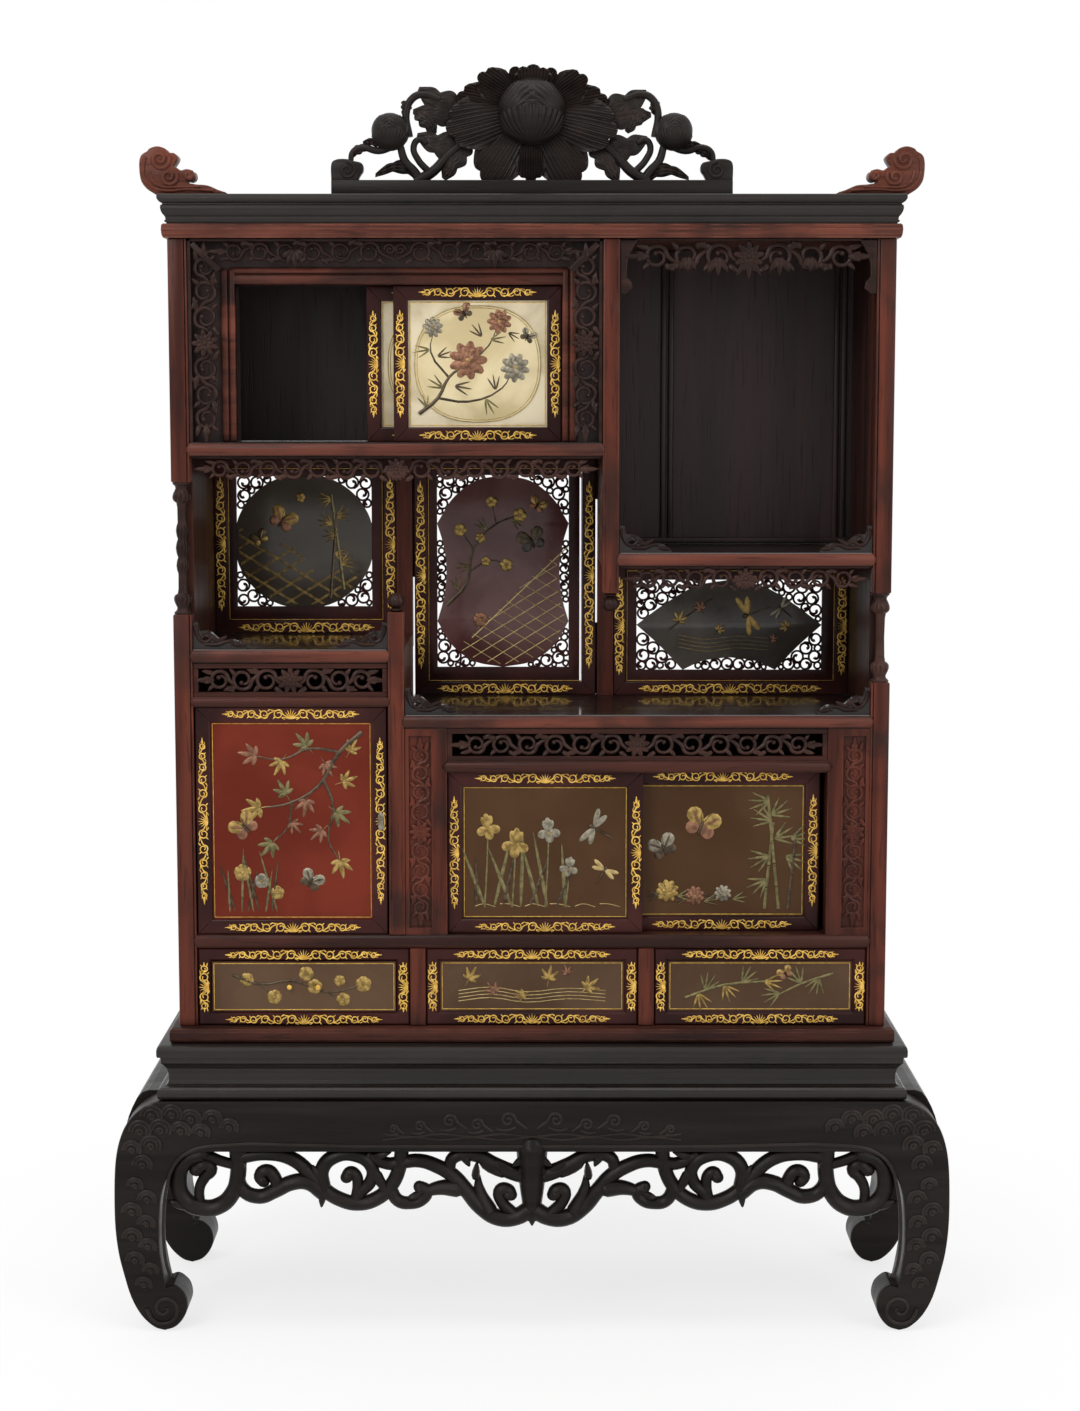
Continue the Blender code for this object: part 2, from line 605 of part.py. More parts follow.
def build_posts():
    half_x = POST_WIDTH / 2
    half_y = POST_DEPTH / 2
    y = FRONT_Y + half_y
    spindles = {
        "left": (-1, LEFT_SHELF_Z + LEFT_SPINDLE_RISE, UPPER_FLOOR_UNDER_Z - LEFT_SPINDLE_DROP),
        "right": (1, CENTRE_SHELF_Z + RIGHT_SPINDLE_RISE, NICHE_FLOOR_UNDER_Z - PENDANT_DROP),
    }
    for name, (sign, low, high) in spindles.items():
        x = sign * (OUTER_X - half_x)
        loops = [square_section(half_x, half_y, x, y, z) for z in (PLINTH_Z, low)]
        loops += baluster(low, high, x, y)
        loops += [square_section(half_x, half_y, x, y, z) for z in (high, TOP_Z - FIT)]
        solid_object(f"{name}_post", loft(loops), "hardwood")
    half_x = DIVISION_WIDTH / 2 - FIT
    top = LEFT_SHELF_Z + CENTRE_POST_RISE
    ball = [(0.0, 0.0095), (0.004, 0.0075), (0.008, 0.0120), (0.017, 0.0150), (0.026, 0.0110)]
    ball.append((0.031, 0.0040))
    loops = [square_section(half_x, half_y, LOWER_DIVISION_X, y, z) for z in (MIDDLE_Z, top)]
    loops += [round_section(r, LOWER_DIVISION_X, y, top + rise) for rise, r in ball]
    solid_object("centre_lower_post", loft(loops), "hardwood")
    low = NICHE_FLOOR_UNDER_Z - PENDANT_DROP
    drop = [(rise, r * 1.05) for rise, r in ball]
    loops = [square_section(half_x, half_y, UPPER_DIVISION_X, y, z) for z in (TOP_Z - FIT, low)]
    loops += [round_section(r, UPPER_DIVISION_X, y, low - rise) for rise, r in drop]
    solid_object("centre_upper_post", loft(loops), "hardwood")


def build_sides():
    """Sides, each sunk on its outside beside the baluster, so that the turned stretch stands clear."""
    front = POST_BACK_Y + FIT
    top = TOP_Z - FIT
    bays = {
        "left_side": (-1, LEFT_SHELF_Z, UPPER_FLOOR_UNDER_Z),
        "right_side": (1, CENTRE_SHELF_Z, NICHE_FLOOR_UNDER_Z),
    }
    for name, (sign, low, high) in bays.items():
        x_low, x_high = sorted((sign * INNER_X, sign * OUTER_X))
        sunk_low, sunk_high = sorted((sign * (OUTER_X - BAY_SIDE_SETBACK), sign * (OUTER_X + POST_WIDTH)))
        pocket = block((sunk_low, FRONT_Y, low), (sunk_high, BACK_POST_Y, high))
        board = block((x_low, front, PLINTH_Z), (x_high, BACK_Y, top))
        solid_object(name, cut(board, [pocket]), "hardwood")


def spandrel(corner_x, sign, z, y):
    """A carved corner piece on a shelf: a scroll that runs down from the post along the board."""
    sunk = 0.002
    rise = [(0.008, SPANDREL_HEIGHT), (0.011, 0.030), (0.022, 0.031), (0.034, 0.024), (0.046, 0.014)]
    rise += [(0.060, 0.016), (0.074, 0.013), (SPANDREL_LENGTH, 0.003)]
    line = [tuple(p) for p in smooth_line(rise, 2)]
    shape = [(0.0, -sunk), (0.0, SPANDREL_HEIGHT), *line, (SPANDREL_LENGTH, -sunk)]
    outline = [(corner_x + sign * x, z + h) for x, h in shape]
    hole = ((0.012, 0.012), (0.026, 0.011), (0.030, 0.018), (0.018, 0.022))
    eye = [(corner_x + sign * x, z + h) for x, h in hole]
    return front_board(outline, [eye], y, y + SPANDREL_THICKNESS)


def shelf_with_spandrels(name, x_low, x_high, z_low, z_high):
    """A shelf from the front of the case to its back frames, with a corner piece at each end."""
    board = block((x_low, BOARD_Y, z_low), (x_high, BACK_Y - FIT, z_high), BOARD_EASE)
    y = FRONT_Y + SPANDREL_SETBACK
    ends = ((x_low + 0.0005, 1), (x_high - 0.0005, -1))
    corners = [spandrel(x, sign, z_high, y) for x, sign in ends]
    return solid_object(name, fused([board, *corners]), "hardwood")


def build_boards():
    left = -INNER_X + FIT
    right = INNER_X - FIT
    shelf_with_spandrels("left_shelf", left, LOWER_DIVISION[0] - FIT, LEFT_FRIEZE_Z, LEFT_SHELF_Z)
    shelf_with_spandrels("centre_shelf", LOWER_DIVISION[1] + FIT, right, CENTRE_FRIEZE_Z, CENTRE_SHELF_Z)
    niche_left = UPPER_DIVISION[1] + FIT
    shelf_with_spandrels("niche_floor", niche_left, right, NICHE_FLOOR_UNDER_Z, NICHE_FLOOR_Z)
    low = (left, BOARD_Y, UPPER_FLOOR_UNDER_Z)
    high = (UPPER_DIVISION[0] - FIT, BACK_Y - FIT, UPPER_FLOOR_Z)
    solid_object("upper_floor", block(low, high, BOARD_EASE), "hardwood")
    low = (left, BOARD_Y, DRAWER_TOP_Z)
    high = (right, BACK_BOARD_Y - FIT, MIDDLE_Z - FIT)
    socket = pivot_socket(MIDDLE_Z - PIVOT_LENGTH, MIDDLE_Z + PIVOT_LENGTH)
    solid_object("middle_board", cut(block(low, high, BOARD_EASE), [socket]), "hardwood")


def build_partitions():
    """Partitions behind the centre posts, each with a back post between the pierced panels."""
    front = POST_BACK_Y + FIT
    board_back = BACK_BOARD_Y - FIT
    back = BACK_Y - FIT
    post_top = UPPER_FLOOR_UNDER_Z - FIT
    outline = [(front, MIDDLE_Z), (board_back, MIDDLE_Z), (board_back, LEFT_FRIEZE_Z)]
    outline += [(back, LEFT_FRIEZE_Z), (back, post_top), (BACK_POST_Y, post_top)]
    outline += [(BACK_POST_Y, LEFT_SHELF_Z), (front, LEFT_SHELF_Z)]
    solid_object("lower_partition", side_board(outline, *LOWER_DIVISION), "hardwood")
    top = TOP_Z - FIT
    post_foot = CENTRE_SHELF_Z + FIT
    outline = [(front, top), (board_back, top), (board_back, UPPER_FLOOR_Z)]
    outline += [(back, UPPER_FLOOR_Z), (back, post_foot), (BACK_POST_Y, post_foot)]
    outline += [(BACK_POST_Y, NICHE_FLOOR_UNDER_Z), (front, NICHE_FLOOR_UNDER_Z)]
    solid_object("upper_partition", side_board(outline, *UPPER_DIVISION), "hardwood")


def build_backs():
    """Back boards: each steps where the shelves of its two sides lie at different heights."""
    y_low = BACK_BOARD_Y
    y_high = BACK_BOARD_Y + BACK_THICKNESS
    step = LOWER_DIVISION[1]
    left = -INNER_X + FIT
    right = INNER_X - FIT
    right_top = CENTRE_FRIEZE_Z - FIT
    left_top = LEFT_FRIEZE_Z - FIT
    outline = [(left, PLINTH_Z), (right, PLINTH_Z), (right, right_top), (step, right_top)]
    outline += [(step, left_top), (left, left_top)]
    solid_object("lower_back", front_board(outline, [], y_low, y_high), "dark_board")
    step = UPPER_DIVISION[1] + FIT
    outline = [(left, UPPER_FLOOR_Z + FIT), (step, UPPER_FLOOR_Z + FIT), (step, NICHE_FLOOR_Z + FIT)]
    outline += [(right, NICHE_FLOOR_Z + FIT), (right, TOP_Z - FIT), (left, TOP_Z - FIT)]
    solid_object("upper_back", front_board(outline, [], y_low, y_high), "dark_board")


# Pierced back panels


def oval_medallion(x, z):
    """Below 1 inside a broad oval with full shoulders; x and z run from -1 to 1 over the opening."""
    return (abs(x) ** 1.7 + abs(z) ** 1.7) / 1.03


def gourd_medallion(x, z):
    """Below 1 inside two stacked lobes with a waist between them."""
    upper = (x / 0.98) ** 2 + ((z - 0.42) / 0.56) ** 2
    lower = (x / 1.0) ** 2 + ((z + 0.40) / 0.59) ** 2
    waist = max(abs(x) / 0.86, abs(z) / 0.30)
    return min(upper, lower, waist)


def lozenge_medallion(x, z):
    """Below 1 inside a long six-sided field with round corners."""
    return abs(x) ** 2.4 + 0.8 * abs(z) ** 2.4


def spandrel_holes(opening, medallion):
    """Rows of drops pierced through the corners of the opening, outside the medallion."""
    x_low, x_high, z_low, z_high = opening
    half_x = (x_high - x_low) / 2
    half_z = (z_high - z_low) / 2
    pitch = HOLE_PITCH
    count_x = int(half_x / pitch)
    count_z = int(half_z / pitch)
    radius = pitch * 0.43
    clear_x = 1 - radius / half_x
    clear_z = 1 - radius / half_z
    middle_x = (x_low + x_high) / 2
    middle_z = (z_low + z_high) / 2
    holes = []
    for i in range(count_x):
        for k in range(count_z):
            x = clear_x - i * pitch / half_x
            z = clear_z - k * pitch / half_z
            nearest = medallion(max(x - radius * 0.8 / half_x, 0), max(z - radius * 0.8 / half_z, 0))
            if nearest < 1.0:
                continue
            turn = math.radians(35 + 80 * ((i + k) % 3))
            drop = teardrop(x * half_x, z * half_z, radius, turn)
            for sx in (-1, 1):
                for sz in (-1, 1):
                    holes.append([(middle_x + sx * px, middle_z + sz * pz) for px, pz in drop])
    return holes


def build_pierced_panels():
    high = UPPER_FLOOR_UNDER_Z - FIT
    floor = CENTRE_SHELF_Z + FIT
    lit_low = LOWER_DIVISION[1] + PANEL_LIGHT
    lit_high = UPPER_DIVISION[0] - PANEL_LIGHT
    niche_high = NICHE_FLOOR_UNDER_Z - FIT
    panels = {
        "left": (FIT - INNER_X, LOWER_DIVISION[0] - FIT, LEFT_SHELF_Z + FIT, high, oval_medallion),
        "centre": (lit_low, lit_high, floor, high, gourd_medallion),
        "right": (UPPER_DIVISION[1] + FIT, INNER_X - FIT, floor, niche_high, lozenge_medallion),
    }
    for name, (x_low, x_high, z_low, z_high, medallion) in panels.items():
        y_face = PANEL_Y
        y_back = PANEL_Y + PANEL_FRAME_THICKNESS
        rim = PANEL_FRAME + PANEL_MARGIN
        opening = (x_low + rim, x_high - rim, z_low + rim, z_high - rim)
        lip = PANEL_FRAME / 2
        inner = rectangle(x_low + lip, x_high - lip, z_low + lip, z_high - lip)
        holes = spandrel_holes(opening, medallion)
        board = front_board(inner, holes, y_face + PANEL_STEP, y_back - PANEL_STEP)
        profile = [(0.0, y_face + FRAME_EASE), (FRAME_EASE, y_face), (PANEL_FRAME - 0.004, y_face)]
        profile += [(PANEL_FRAME, y_face + 0.004), (PANEL_FRAME, y_back), (0.0, y_back)]
        frame = mitred_frame(x_low, x_high, z_low, z_high, profile)
        solid_object(f"{name}_pierced_panel", fused([frame, board]), "lacquer")


# Lower front: friezes, pilasters, dividers


def frieze_holes(x_low, x_high, z_low, z_high):
    """A running scroll pierced through a frieze: commas that turn over one after the other."""
    height = z_high - z_low
    count = 2 * round((x_high - x_low) / (1.7 * height) / 2)
    pitch = (x_high - x_low) / count
    middle = (z_low + z_high) / 2
    holes = []
    for i in range(count):
        x = x_low + pitch * (i + 0.5)
        up = 1 if i % 2 else -1
        hand = up if i < count / 2 else -up
        turn = math.radians(90 - 75 * hand)
        holes.append(comma(x, middle + up * height * 0.06, height * 0.40, turn, hand))
    return holes


def build_friezes():
    """Pierced boards over the doors, each with the rail under it as one frame."""
    y = FRONT_Y + CASE_FRET_SETBACK
    margin = 0.012
    lap = 0.002
    x_low = -INNER_X + FIT
    x_high = LOWER_DIVISION[0] - FIT
    board = front_board(
        rectangle(x_low, x_high, LEFT_LINTEL_Z - lap, LEFT_FRIEZE_Z - FIT),
        frieze_holes(x_low + margin, x_high - margin, LEFT_LINTEL_Z + 0.010, LEFT_FRIEZE_Z - 0.008),
        y,
        y + FRIEZE_THICKNESS,
    )
    high = (x_high, FRONT_Y + POST_DEPTH, LEFT_LINTEL_Z)
    rail = block((x_low, BOARD_Y, LEFT_DOOR_TOP_Z), high, BOARD_EASE)
    socket = pivot_socket(LEFT_DOOR_TOP_Z - PIVOT_LENGTH, LEFT_DOOR_TOP_Z + PIVOT_LENGTH)
    solid_object("left_frieze", cut(fused([rail, board]), [socket]), "hardwood")
    x_low, x_high = sliding_doorway()
    x_low += FIT
    x_high -= FIT
    board = front_board(
        rectangle(x_low, x_high, CENTRE_LINTEL_Z - lap, CENTRE_FRIEZE_Z - FIT),
        frieze_holes(x_low + margin, x_high - margin, CENTRE_LINTEL_Z + 0.008, CENTRE_FRIEZE_Z - 0.008),
        y,
        y + FRIEZE_THICKNESS,
    )
    high = (x_high, FRONT_Y + STILE_DEPTH, CENTRE_LINTEL_Z)
    rail = block((x_low, BOARD_Y, SLIDING_TOP_Z), high, BOARD_EASE)
    solid_object("centre_frieze", fused([rail, board]), "hardwood")


def sliding_doorway():
    """Left and right of the lower doorway, between its stiles."""
    side = PILASTER_WIDTH + STILE_WIDTH
    return LOWER_DIVISION[1] + side, INNER_X - side


def build_pilasters():
    """A sunk carved field beside each stile of the lower doorway, from the middle board to the shelf."""
    low = MIDDLE_Z
    high = CENTRE_FRIEZE_Z - FIT
    x_left, x_right = sliding_doorway()
    edges = {"left": (LOWER_DIVISION[1] + FIT, x_left), "right": (INNER_X - FIT, x_right)}
    margin = 0.006
    end_margin = 0.012
    for name, (edge, jamb) in edges.items():
        xs = sorted((edge, jamb))
        body = block((xs[0], FRONT_Y + 0.003, low), (xs[1], FRONT_Y + STILE_DEPTH, high))
        sign = 1 if jamb > edge else -1
        field = sorted((edge + sign * margin, edge + sign * (PILASTER_WIDTH - margin)))
        field_low = (field[0], FRONT_Y - PILASTER_SUNK, low + end_margin)
        field_high = (field[1], FRONT_Y + PILASTER_SUNK, high - end_margin)
        sunk = block(field_low, field_high)
        solid_object(f"{name}_pilaster", cut(body, [sunk]), "hardwood")


def drawer_bays():
    """The three drawer bays from left to right, as pairs of X."""
    width = (2 * INNER_X - 2 * DIVIDER_WIDTH) / 3
    starts = [-INNER_X + k * (width + DIVIDER_WIDTH) for k in range(3)]
    return [(x, x + width) for x in starts]


def build_dividers():
    bays = drawer_bays()
    for name, first, second in (("left", bays[0], bays[1]), ("right", bays[1], bays[2])):
        low = (first[1], BOARD_Y, PLINTH_Z)
        high = (second[0], BACK_BOARD_Y - FIT, DRAWER_TOP_Z - FIT)
        solid_object(f"drawer_divider_{name}", block(low, high, BOARD_EASE), "hardwood")


# Upper cupboard doorway and fret work


def upper_doorway():
    """Left, right and top of the upper doorway."""
    return -INNER_X + DOORWAY_STILE_LEFT, UPPER_DIVISION[0] - DOORWAY_STILE_RIGHT, TOP_Z - DOORWAY_HEAD


def build_upper_doorway():
    x_low, x_high, z_high = upper_doorway()
    left = -INNER_X + FIT
    right = UPPER_DIVISION[0] - FIT
    floor = UPPER_FLOOR_Z + FIT
    outline = [(left, floor), (x_low, floor), (x_low, z_high), (x_high, z_high), (x_high, floor)]
    outline += [(right, floor), (right, TOP_Z - FIT), (left, TOP_Z - FIT)]
    y = FRONT_Y + DOORWAY_SETBACK
    solid_object("upper_doorway", front_board(outline, [], y, y + DOORWAY_DEPTH), "hardwood")


def scalloped(x_low, x_high, z, depth, lobes, per_lobe=4):
    """A lower edge of round lobes, from left to right."""
    count = lobes * per_lobe
    edge = []
    for i in range(count + 1):
        share = i / count
        swell = abs(math.sin(math.pi * lobes * share)) ** 0.6
        edge.append((x_low + (x_high - x_low) * share, z - depth * (0.68 + 0.32 * swell)))
    return edge


def vine_holes(x_low, x_high, z_top, depth, lobes):
    """Pierced commas of a running vine, one pair in each lobe of a fret."""
    pitch = (x_high - x_low) / lobes
    radius = min(depth * 0.36, pitch * 0.23)
    holes = []
    for i in range(lobes):
        side = 1 if i < lobes / 2 else -1
        for way in (-1, 1):
            x = x_low + pitch * (i + 0.5 + 0.25 * way)
            turn = math.radians(90 - 70 * way * side)
            holes.append(comma(x, z_top - depth * 0.46, radius, turn, way * side))
    return holes


def build_case_frets():
    y = FRONT_Y + CASE_FRET_SETBACK
    x_low = -INNER_X + FIT
    x_high = UPPER_DIVISION[0] - FIT
    top = TOP_Z - FIT
    floor = UPPER_FLOOR_Z + FIT
    side = UPPER_FRET_SIDE
    inner_low = x_low + side
    inner_high = x_high - side
    edge = scalloped(inner_low, inner_high, top, UPPER_FRET_TOP, 9)
    taper = 0.006
    outline = [(x_low, floor), (inner_low - taper, floor), *edge, (inner_high + taper, floor)]
    outline += [(x_high, floor), (x_high, top), (x_low, top)]
    holes = vine_holes(inner_low, inner_high, top, UPPER_FRET_TOP, 9)
    for x in (x_low, x_high):
        sign = 1 if x < 0 else -1
        column = vine_holes(floor + 0.010, top - UPPER_FRET_TOP - taper, 0.0, side - taper, 4)
        holes += [[(x - sign * v, u) for u, v in hole] for hole in column]
    solid_object("upper_fret", front_board(outline, holes, y, y + FRET_BOARD), "carved")
    x_low = UPPER_DIVISION[1] + FIT
    x_high = INNER_X - FIT
    depth = NICHE_FRET_DEPTH
    foot = top - NICHE_TAIL
    tail = NICHE_TAIL_WIDTH
    root = tail + 0.002
    edge = scalloped(x_low + root, x_high - root, top, depth, 5)
    outline = [(x_low, foot), (x_low + tail, foot), *edge, (x_high - tail, foot)]
    outline += [(x_high, foot), (x_high, top), (x_low, top)]
    holes = vine_holes(x_low + root, x_high - root, top, depth, 5)
    solid_object("niche_fret", front_board(outline, holes, y, y + FRET_BOARD), "carved")
    spans = {
        "left": (-INNER_X + FIT, UPPER_DIVISION[0] - FIT, UPPER_FLOOR_UNDER_Z - FIT, 8),
        "right": (UPPER_DIVISION[1] + FIT, INNER_X - FIT, NICHE_FLOOR_UNDER_Z - FIT, 5),
    }
    for name, (x_low, x_high, top, lobes) in spans.items():
        edge = scalloped(x_low, x_high, top, VALANCE_DEPTH, lobes)
        outline = [*edge, (x_high, top), (x_low, top)]
        holes = vine_holes(x_low, x_high, top, VALANCE_DEPTH, lobes)
        y = FRONT_Y + VALANCE_SETBACK
        solid_object(f"{name}_valance", front_board(outline, holes, y, y + FRET_BOARD), "carved")


# Top


def build_cornice():
    low = TOP_Z
    half_x = OUTER_X
    half_y = CASE_DEPTH / 2
    out = CORNICE_OVERHANG
    levels = [(low, out - 0.008), (low + 0.023, out - 0.007), (low + 0.025, out - 0.013)]
    levels += [(low + 0.034, out - 0.011), (low + 0.042, out - 0.006), (low + 0.052, out - 0.005)]
    levels += [(low + 0.055, out - 0.008), (low + 0.058, out - 0.003), (low + 0.062, out)]
    levels.append((CORNICE_Z - FIT, out))
    solid_object("cornice", moulded_slab(levels, half_x, half_y), "ebonised")


# Left half of the crest's stems: points from the middle of the bar, above its top, with widths
CREST_STEMS = [
    ([(-0.296, 0.030), (-0.292, 0.046), (-0.278, 0.051), (-0.250, 0.048), (-0.226, 0.056)], 0.008, 0.014),
    ([(-0.215, 0.056), (-0.207, 0.031), (-0.192, 0.016), (-0.180, -0.004)], 0.016, 0.016),
    ([(-0.256, 0.008), (-0.240, 0.019), (-0.219, 0.018), (-0.196, 0.006), (-0.184, -0.004)], 0.008, 0.016),
    ([(-0.190, -0.002), (-0.160, 0.016), (-0.138, 0.043), (-0.112, 0.062)], 0.018, 0.013),
    ([(-0.172, 0.012), (-0.190, 0.034), (-0.193, 0.056), (-0.186, 0.066), (-0.174, 0.062)], 0.012, 0.009),
    ([(-0.198, 0.062), (-0.202, 0.112), (-0.192, 0.132), (-0.178, 0.138), (-0.150, 0.136)], 0.012, 0.014),
]
CREST_LEAVES = [
    ((-0.190, 0.066), (-0.092, 0.058), 0.034),
    ((-0.138, 0.002), (-0.112, 0.070), 0.030),
    ((-0.186, 0.132), (-0.104, 0.116), 0.034),
    ((-0.192, 0.100), (-0.132, 0.104), 0.022),
    ((-0.194, 0.098), (-0.158, 0.074), 0.018),
]


def peony(z, y_face, y_back):
    """An open flower: a dished ring of petals round a full bud that stands forward."""
    count = 33
    petals = 11
    lift = FLOWER_HEIGHT * 0.16
    rim = []
    ring = []
    for k in range(count):
        a = 2 * math.pi * k / count
        scallop = 0.87 + 0.13 * abs(math.cos(petals / 2 * (a - math.pi / 2))) ** 0.7
        across = FLOWER_WIDTH / 2 * scallop * math.cos(a)
        rim.append(Vector((across, FLOWER_HEIGHT / 2 * scallop * math.sin(a))))
        ring.append(Vector((math.cos(a), math.sin(a))))
    heart = Vector((0.0, lift))
    bud = [heart + FLOWER_BUD * point for point in ring]
    loops = [[(p[0] * 0.97, y_back, z + p[1] * 0.97) for p in rim]]
    for share, depth in ((0.0, 0.004), (0.08, -0.003), (0.50, 0.001), (0.92, 0.009)):
        dish = [a.lerp(b, share) for a, b in zip(rim, bud)]
        loops.append([(p[0], y_face + depth, z + p[1]) for p in dish])
    for share, depth in ((0.98, -0.010), (0.78, -0.026), (0.30, -0.036)):
        dome = [heart + FLOWER_BUD * share * point for point in ring]
        loops.append([(p[0], y_face + depth, z + p[1]) for p in dome])
    return loft(loops)


def side_bud(x, z, y):
    """A closed bud, a little flattened from front to back."""
    loops = []
    for k in range(1, 6):
        a = math.pi * k / 6
        radius = SIDE_BUD * math.sin(a)
        rise = z + SIDE_BUD * 0.92 * math.cos(a)
        ring = round_section(radius, 0, 0, rise, 10)
        loops.append([(x + px, y + py * 0.72, pz) for px, py, pz in ring])
    return loft(loops)


def build_crest():
    """The carved crest: a peony with leaves, stems and buds, on a bar that stands on the cornice."""
    y = FRONT_Y + CREST_SETBACK
    y_back = y + CREST_THICKNESS
    bar_top = CORNICE_Z + CREST_BAR
    half = CREST_WIDTH / 2
    shapes = [block((-half, y, CORNICE_Z), (half, y_back, bar_top), 0.001)]
    shapes.append(peony(bar_top - 0.004 + FLOWER_HEIGHT / 2, y + 0.006, y_back - 0.003))
    drawn_width = 0.654
    drawn_height = 0.192
    spread = CREST_WIDTH / drawn_width
    lift = FLOWER_HEIGHT / drawn_height
    for i, (points, start_width, end_width) in enumerate(CREST_STEMS):
        line = [(x * spread, bar_top + z * lift) for x, z in points]
        front = y + 0.004 + 0.0005 * i
        back = y_back - 0.006 - 0.0005 * i
        for part in (line, mirrored(line)):
            shapes.append(ribbon(part, start_width, end_width, front, back, 2))
    for i, (base, tip, width) in enumerate(CREST_LEAVES):
        ends = [(x * spread, bar_top + z * lift) for x, z in (base, tip)]
        for part in (ends, mirrored(ends)):
            shapes.append(leaf(*part, width, y + 0.002 + 0.0007 * i, y_back - 0.0085 - 0.0006 * i))
    cloud = [(0.0, -0.002), (0.0, 0.025), (0.008, 0.033), (0.024, 0.034), (0.036, 0.031), (0.050, 0.027)]
    cloud += [(0.052, 0.016), (0.047, 0.008), (0.042, -0.002)]
    for sign in (-1, 1):
        outline = [(sign * (half - 0.0006 - x), bar_top + z) for x, z in cloud]
        shapes.append(front_board(outline, [], y + 0.003, y_back - 0.004))
        shapes.append(side_bud(sign * SIDE_BUD_X * spread, bar_top + SIDE_BUD_RISE - 0.021, y + 0.014))
    solid_object("crest", fused(shapes), "ebonised")


def build_finials():
    """Cloud scrolls at the cornice's ends: a curled head over the corner and a tail along the top."""
    y = FRONT_Y + 0.006
    edge = OUTER_X + CORNICE_OVERHANG
    head = [(-0.100, 0.0), (-0.106, 0.004), (-0.078, 0.009), (-0.058, 0.014), (-0.052, 0.030)]
    head += [(-0.044, 0.044), (-0.040, 0.060), (-0.022, 0.070), (-0.006, 0.076), (0.012, 0.078)]
    head += [(0.024, 0.068), (0.030, 0.050), (0.030, 0.034), (0.026, 0.022), (0.018, 0.008), (0.004, 0.0)]
    drawn_reach = 0.031
    reach = FINIAL_REACH / drawn_reach
    line = [(x * reach if x > 0 else x, z) for x, z in head]
    outline = [tuple(p) for p in smooth_line(line, 2)]
    for name, sign in (("left", -1), ("right", 1)):
        points = [(sign * (edge + x), CORNICE_Z + max(z, 0.0)) for x, z in outline]
        solid_object(f"cloud_finial_{name}", front_board(points, [], y, y + FINIAL_THICKNESS), "hardwood")


# Doors and drawers


def build_door(name, x_low, x_high, z_low, z_high, y, panel_finish, axis, pins=()):
    """A mitred frame with a sunk panel; the panel is let into the frame from the front."""
    back = y + DOOR_THICKNESS
    rail = DOOR_RAIL
    profile = [(0.0, y + FRAME_EASE), (FRAME_EASE, y), (rail - 0.005, y), (rail, y + 0.004)]
    profile += [(rail, back), (0.0, back)]
    frame = mitred_frame(x_low, x_high, z_low, z_high, profile)
    if pins:
        frame = fused([frame, *pins])
    solid_object(f"{name}_frame", frame, "lacquer", axis)
    reach = rail + FIT
    face = y + DOOR_PANEL_SUNK
    low = (x_low + reach, face, z_low + reach)
    high = (x_high - reach, face + PANEL_THICKNESS, z_high - reach)
    solid_object(f"{name}_panel", block(low, high), panel_finish, axis)


def sliding_axis(name, x_low, x_high, y, z):
    return joint_axis(name, ((x_low + x_high) / 2, y, z))


def build_lower_doors():
    left, right = sliding_doorway()
    width = (right - left + DOOR_LAP) / 2
    z_low = MIDDLE_Z
    z_high = SLIDING_TOP_Z - SLIP
    y_front = FRONT_Y + LOWER_DOOR_SETBACK
    y_rear = y_front + DOOR_THICKNESS + DOOR_STEP
    x = left + SLIP
    axis = sliding_axis("lower_left_door_slide", x, x + width, y_front, z_low)
    build_door("lower_left_door", x, x + width, z_low, z_high, y_front, "olive_lacquer", axis)
    x = right - SLIP - LOWER_DOOR_AJAR - width
    axis = sliding_axis("lower_right_door_slide", x, x + width, y_rear, z_low)
    build_door("lower_right_door", x, x + width, z_low, z_high, y_rear, "olive_lacquer", axis)


def build_upper_doors():
    left, right, top = upper_doorway()
    width = (right - left + DOOR_LAP) / 2
    z_low = UPPER_FLOOR_Z + SLIP
    z_high = top - SLIP
    y_front = FRONT_Y + UPPER_DOOR_SETBACK
    y_rear = y_front + DOOR_THICKNESS + DOOR_STEP
    x = right - SLIP - width
    axis = sliding_axis("upper_front_door_slide", x, x + width, y_front, z_low)
    build_door("upper_front_door", x, x + width, z_low, z_high, y_front, "ivory_ground", axis)
    x = left + SLIP + UPPER_DOOR_AJAR
    axis = sliding_axis("upper_rear_door_slide", x, x + width, y_rear, z_low)
    build_door("upper_rear_door", x, x + width, z_low, z_high, y_rear, "ivory_ground", axis)


def pivot_place():
    """X and Y of the cupboard door's pivot pins, just inside its front left edge."""
    x = -INNER_X + CUPBOARD_DOOR_GAP + PIVOT_INSET
    return x, FRONT_Y + CUPBOARD_DOOR_SETBACK + PIVOT_INSET


def pivot_socket(z_low, z_high):
    """A cutter for the hole that a pivot pin turns in."""
    x, y = pivot_place()
    return loft([round_section(PIVOT_RADIUS + PIVOT_PLAY, x, y, z, 16) for z in (z_low, z_high)])


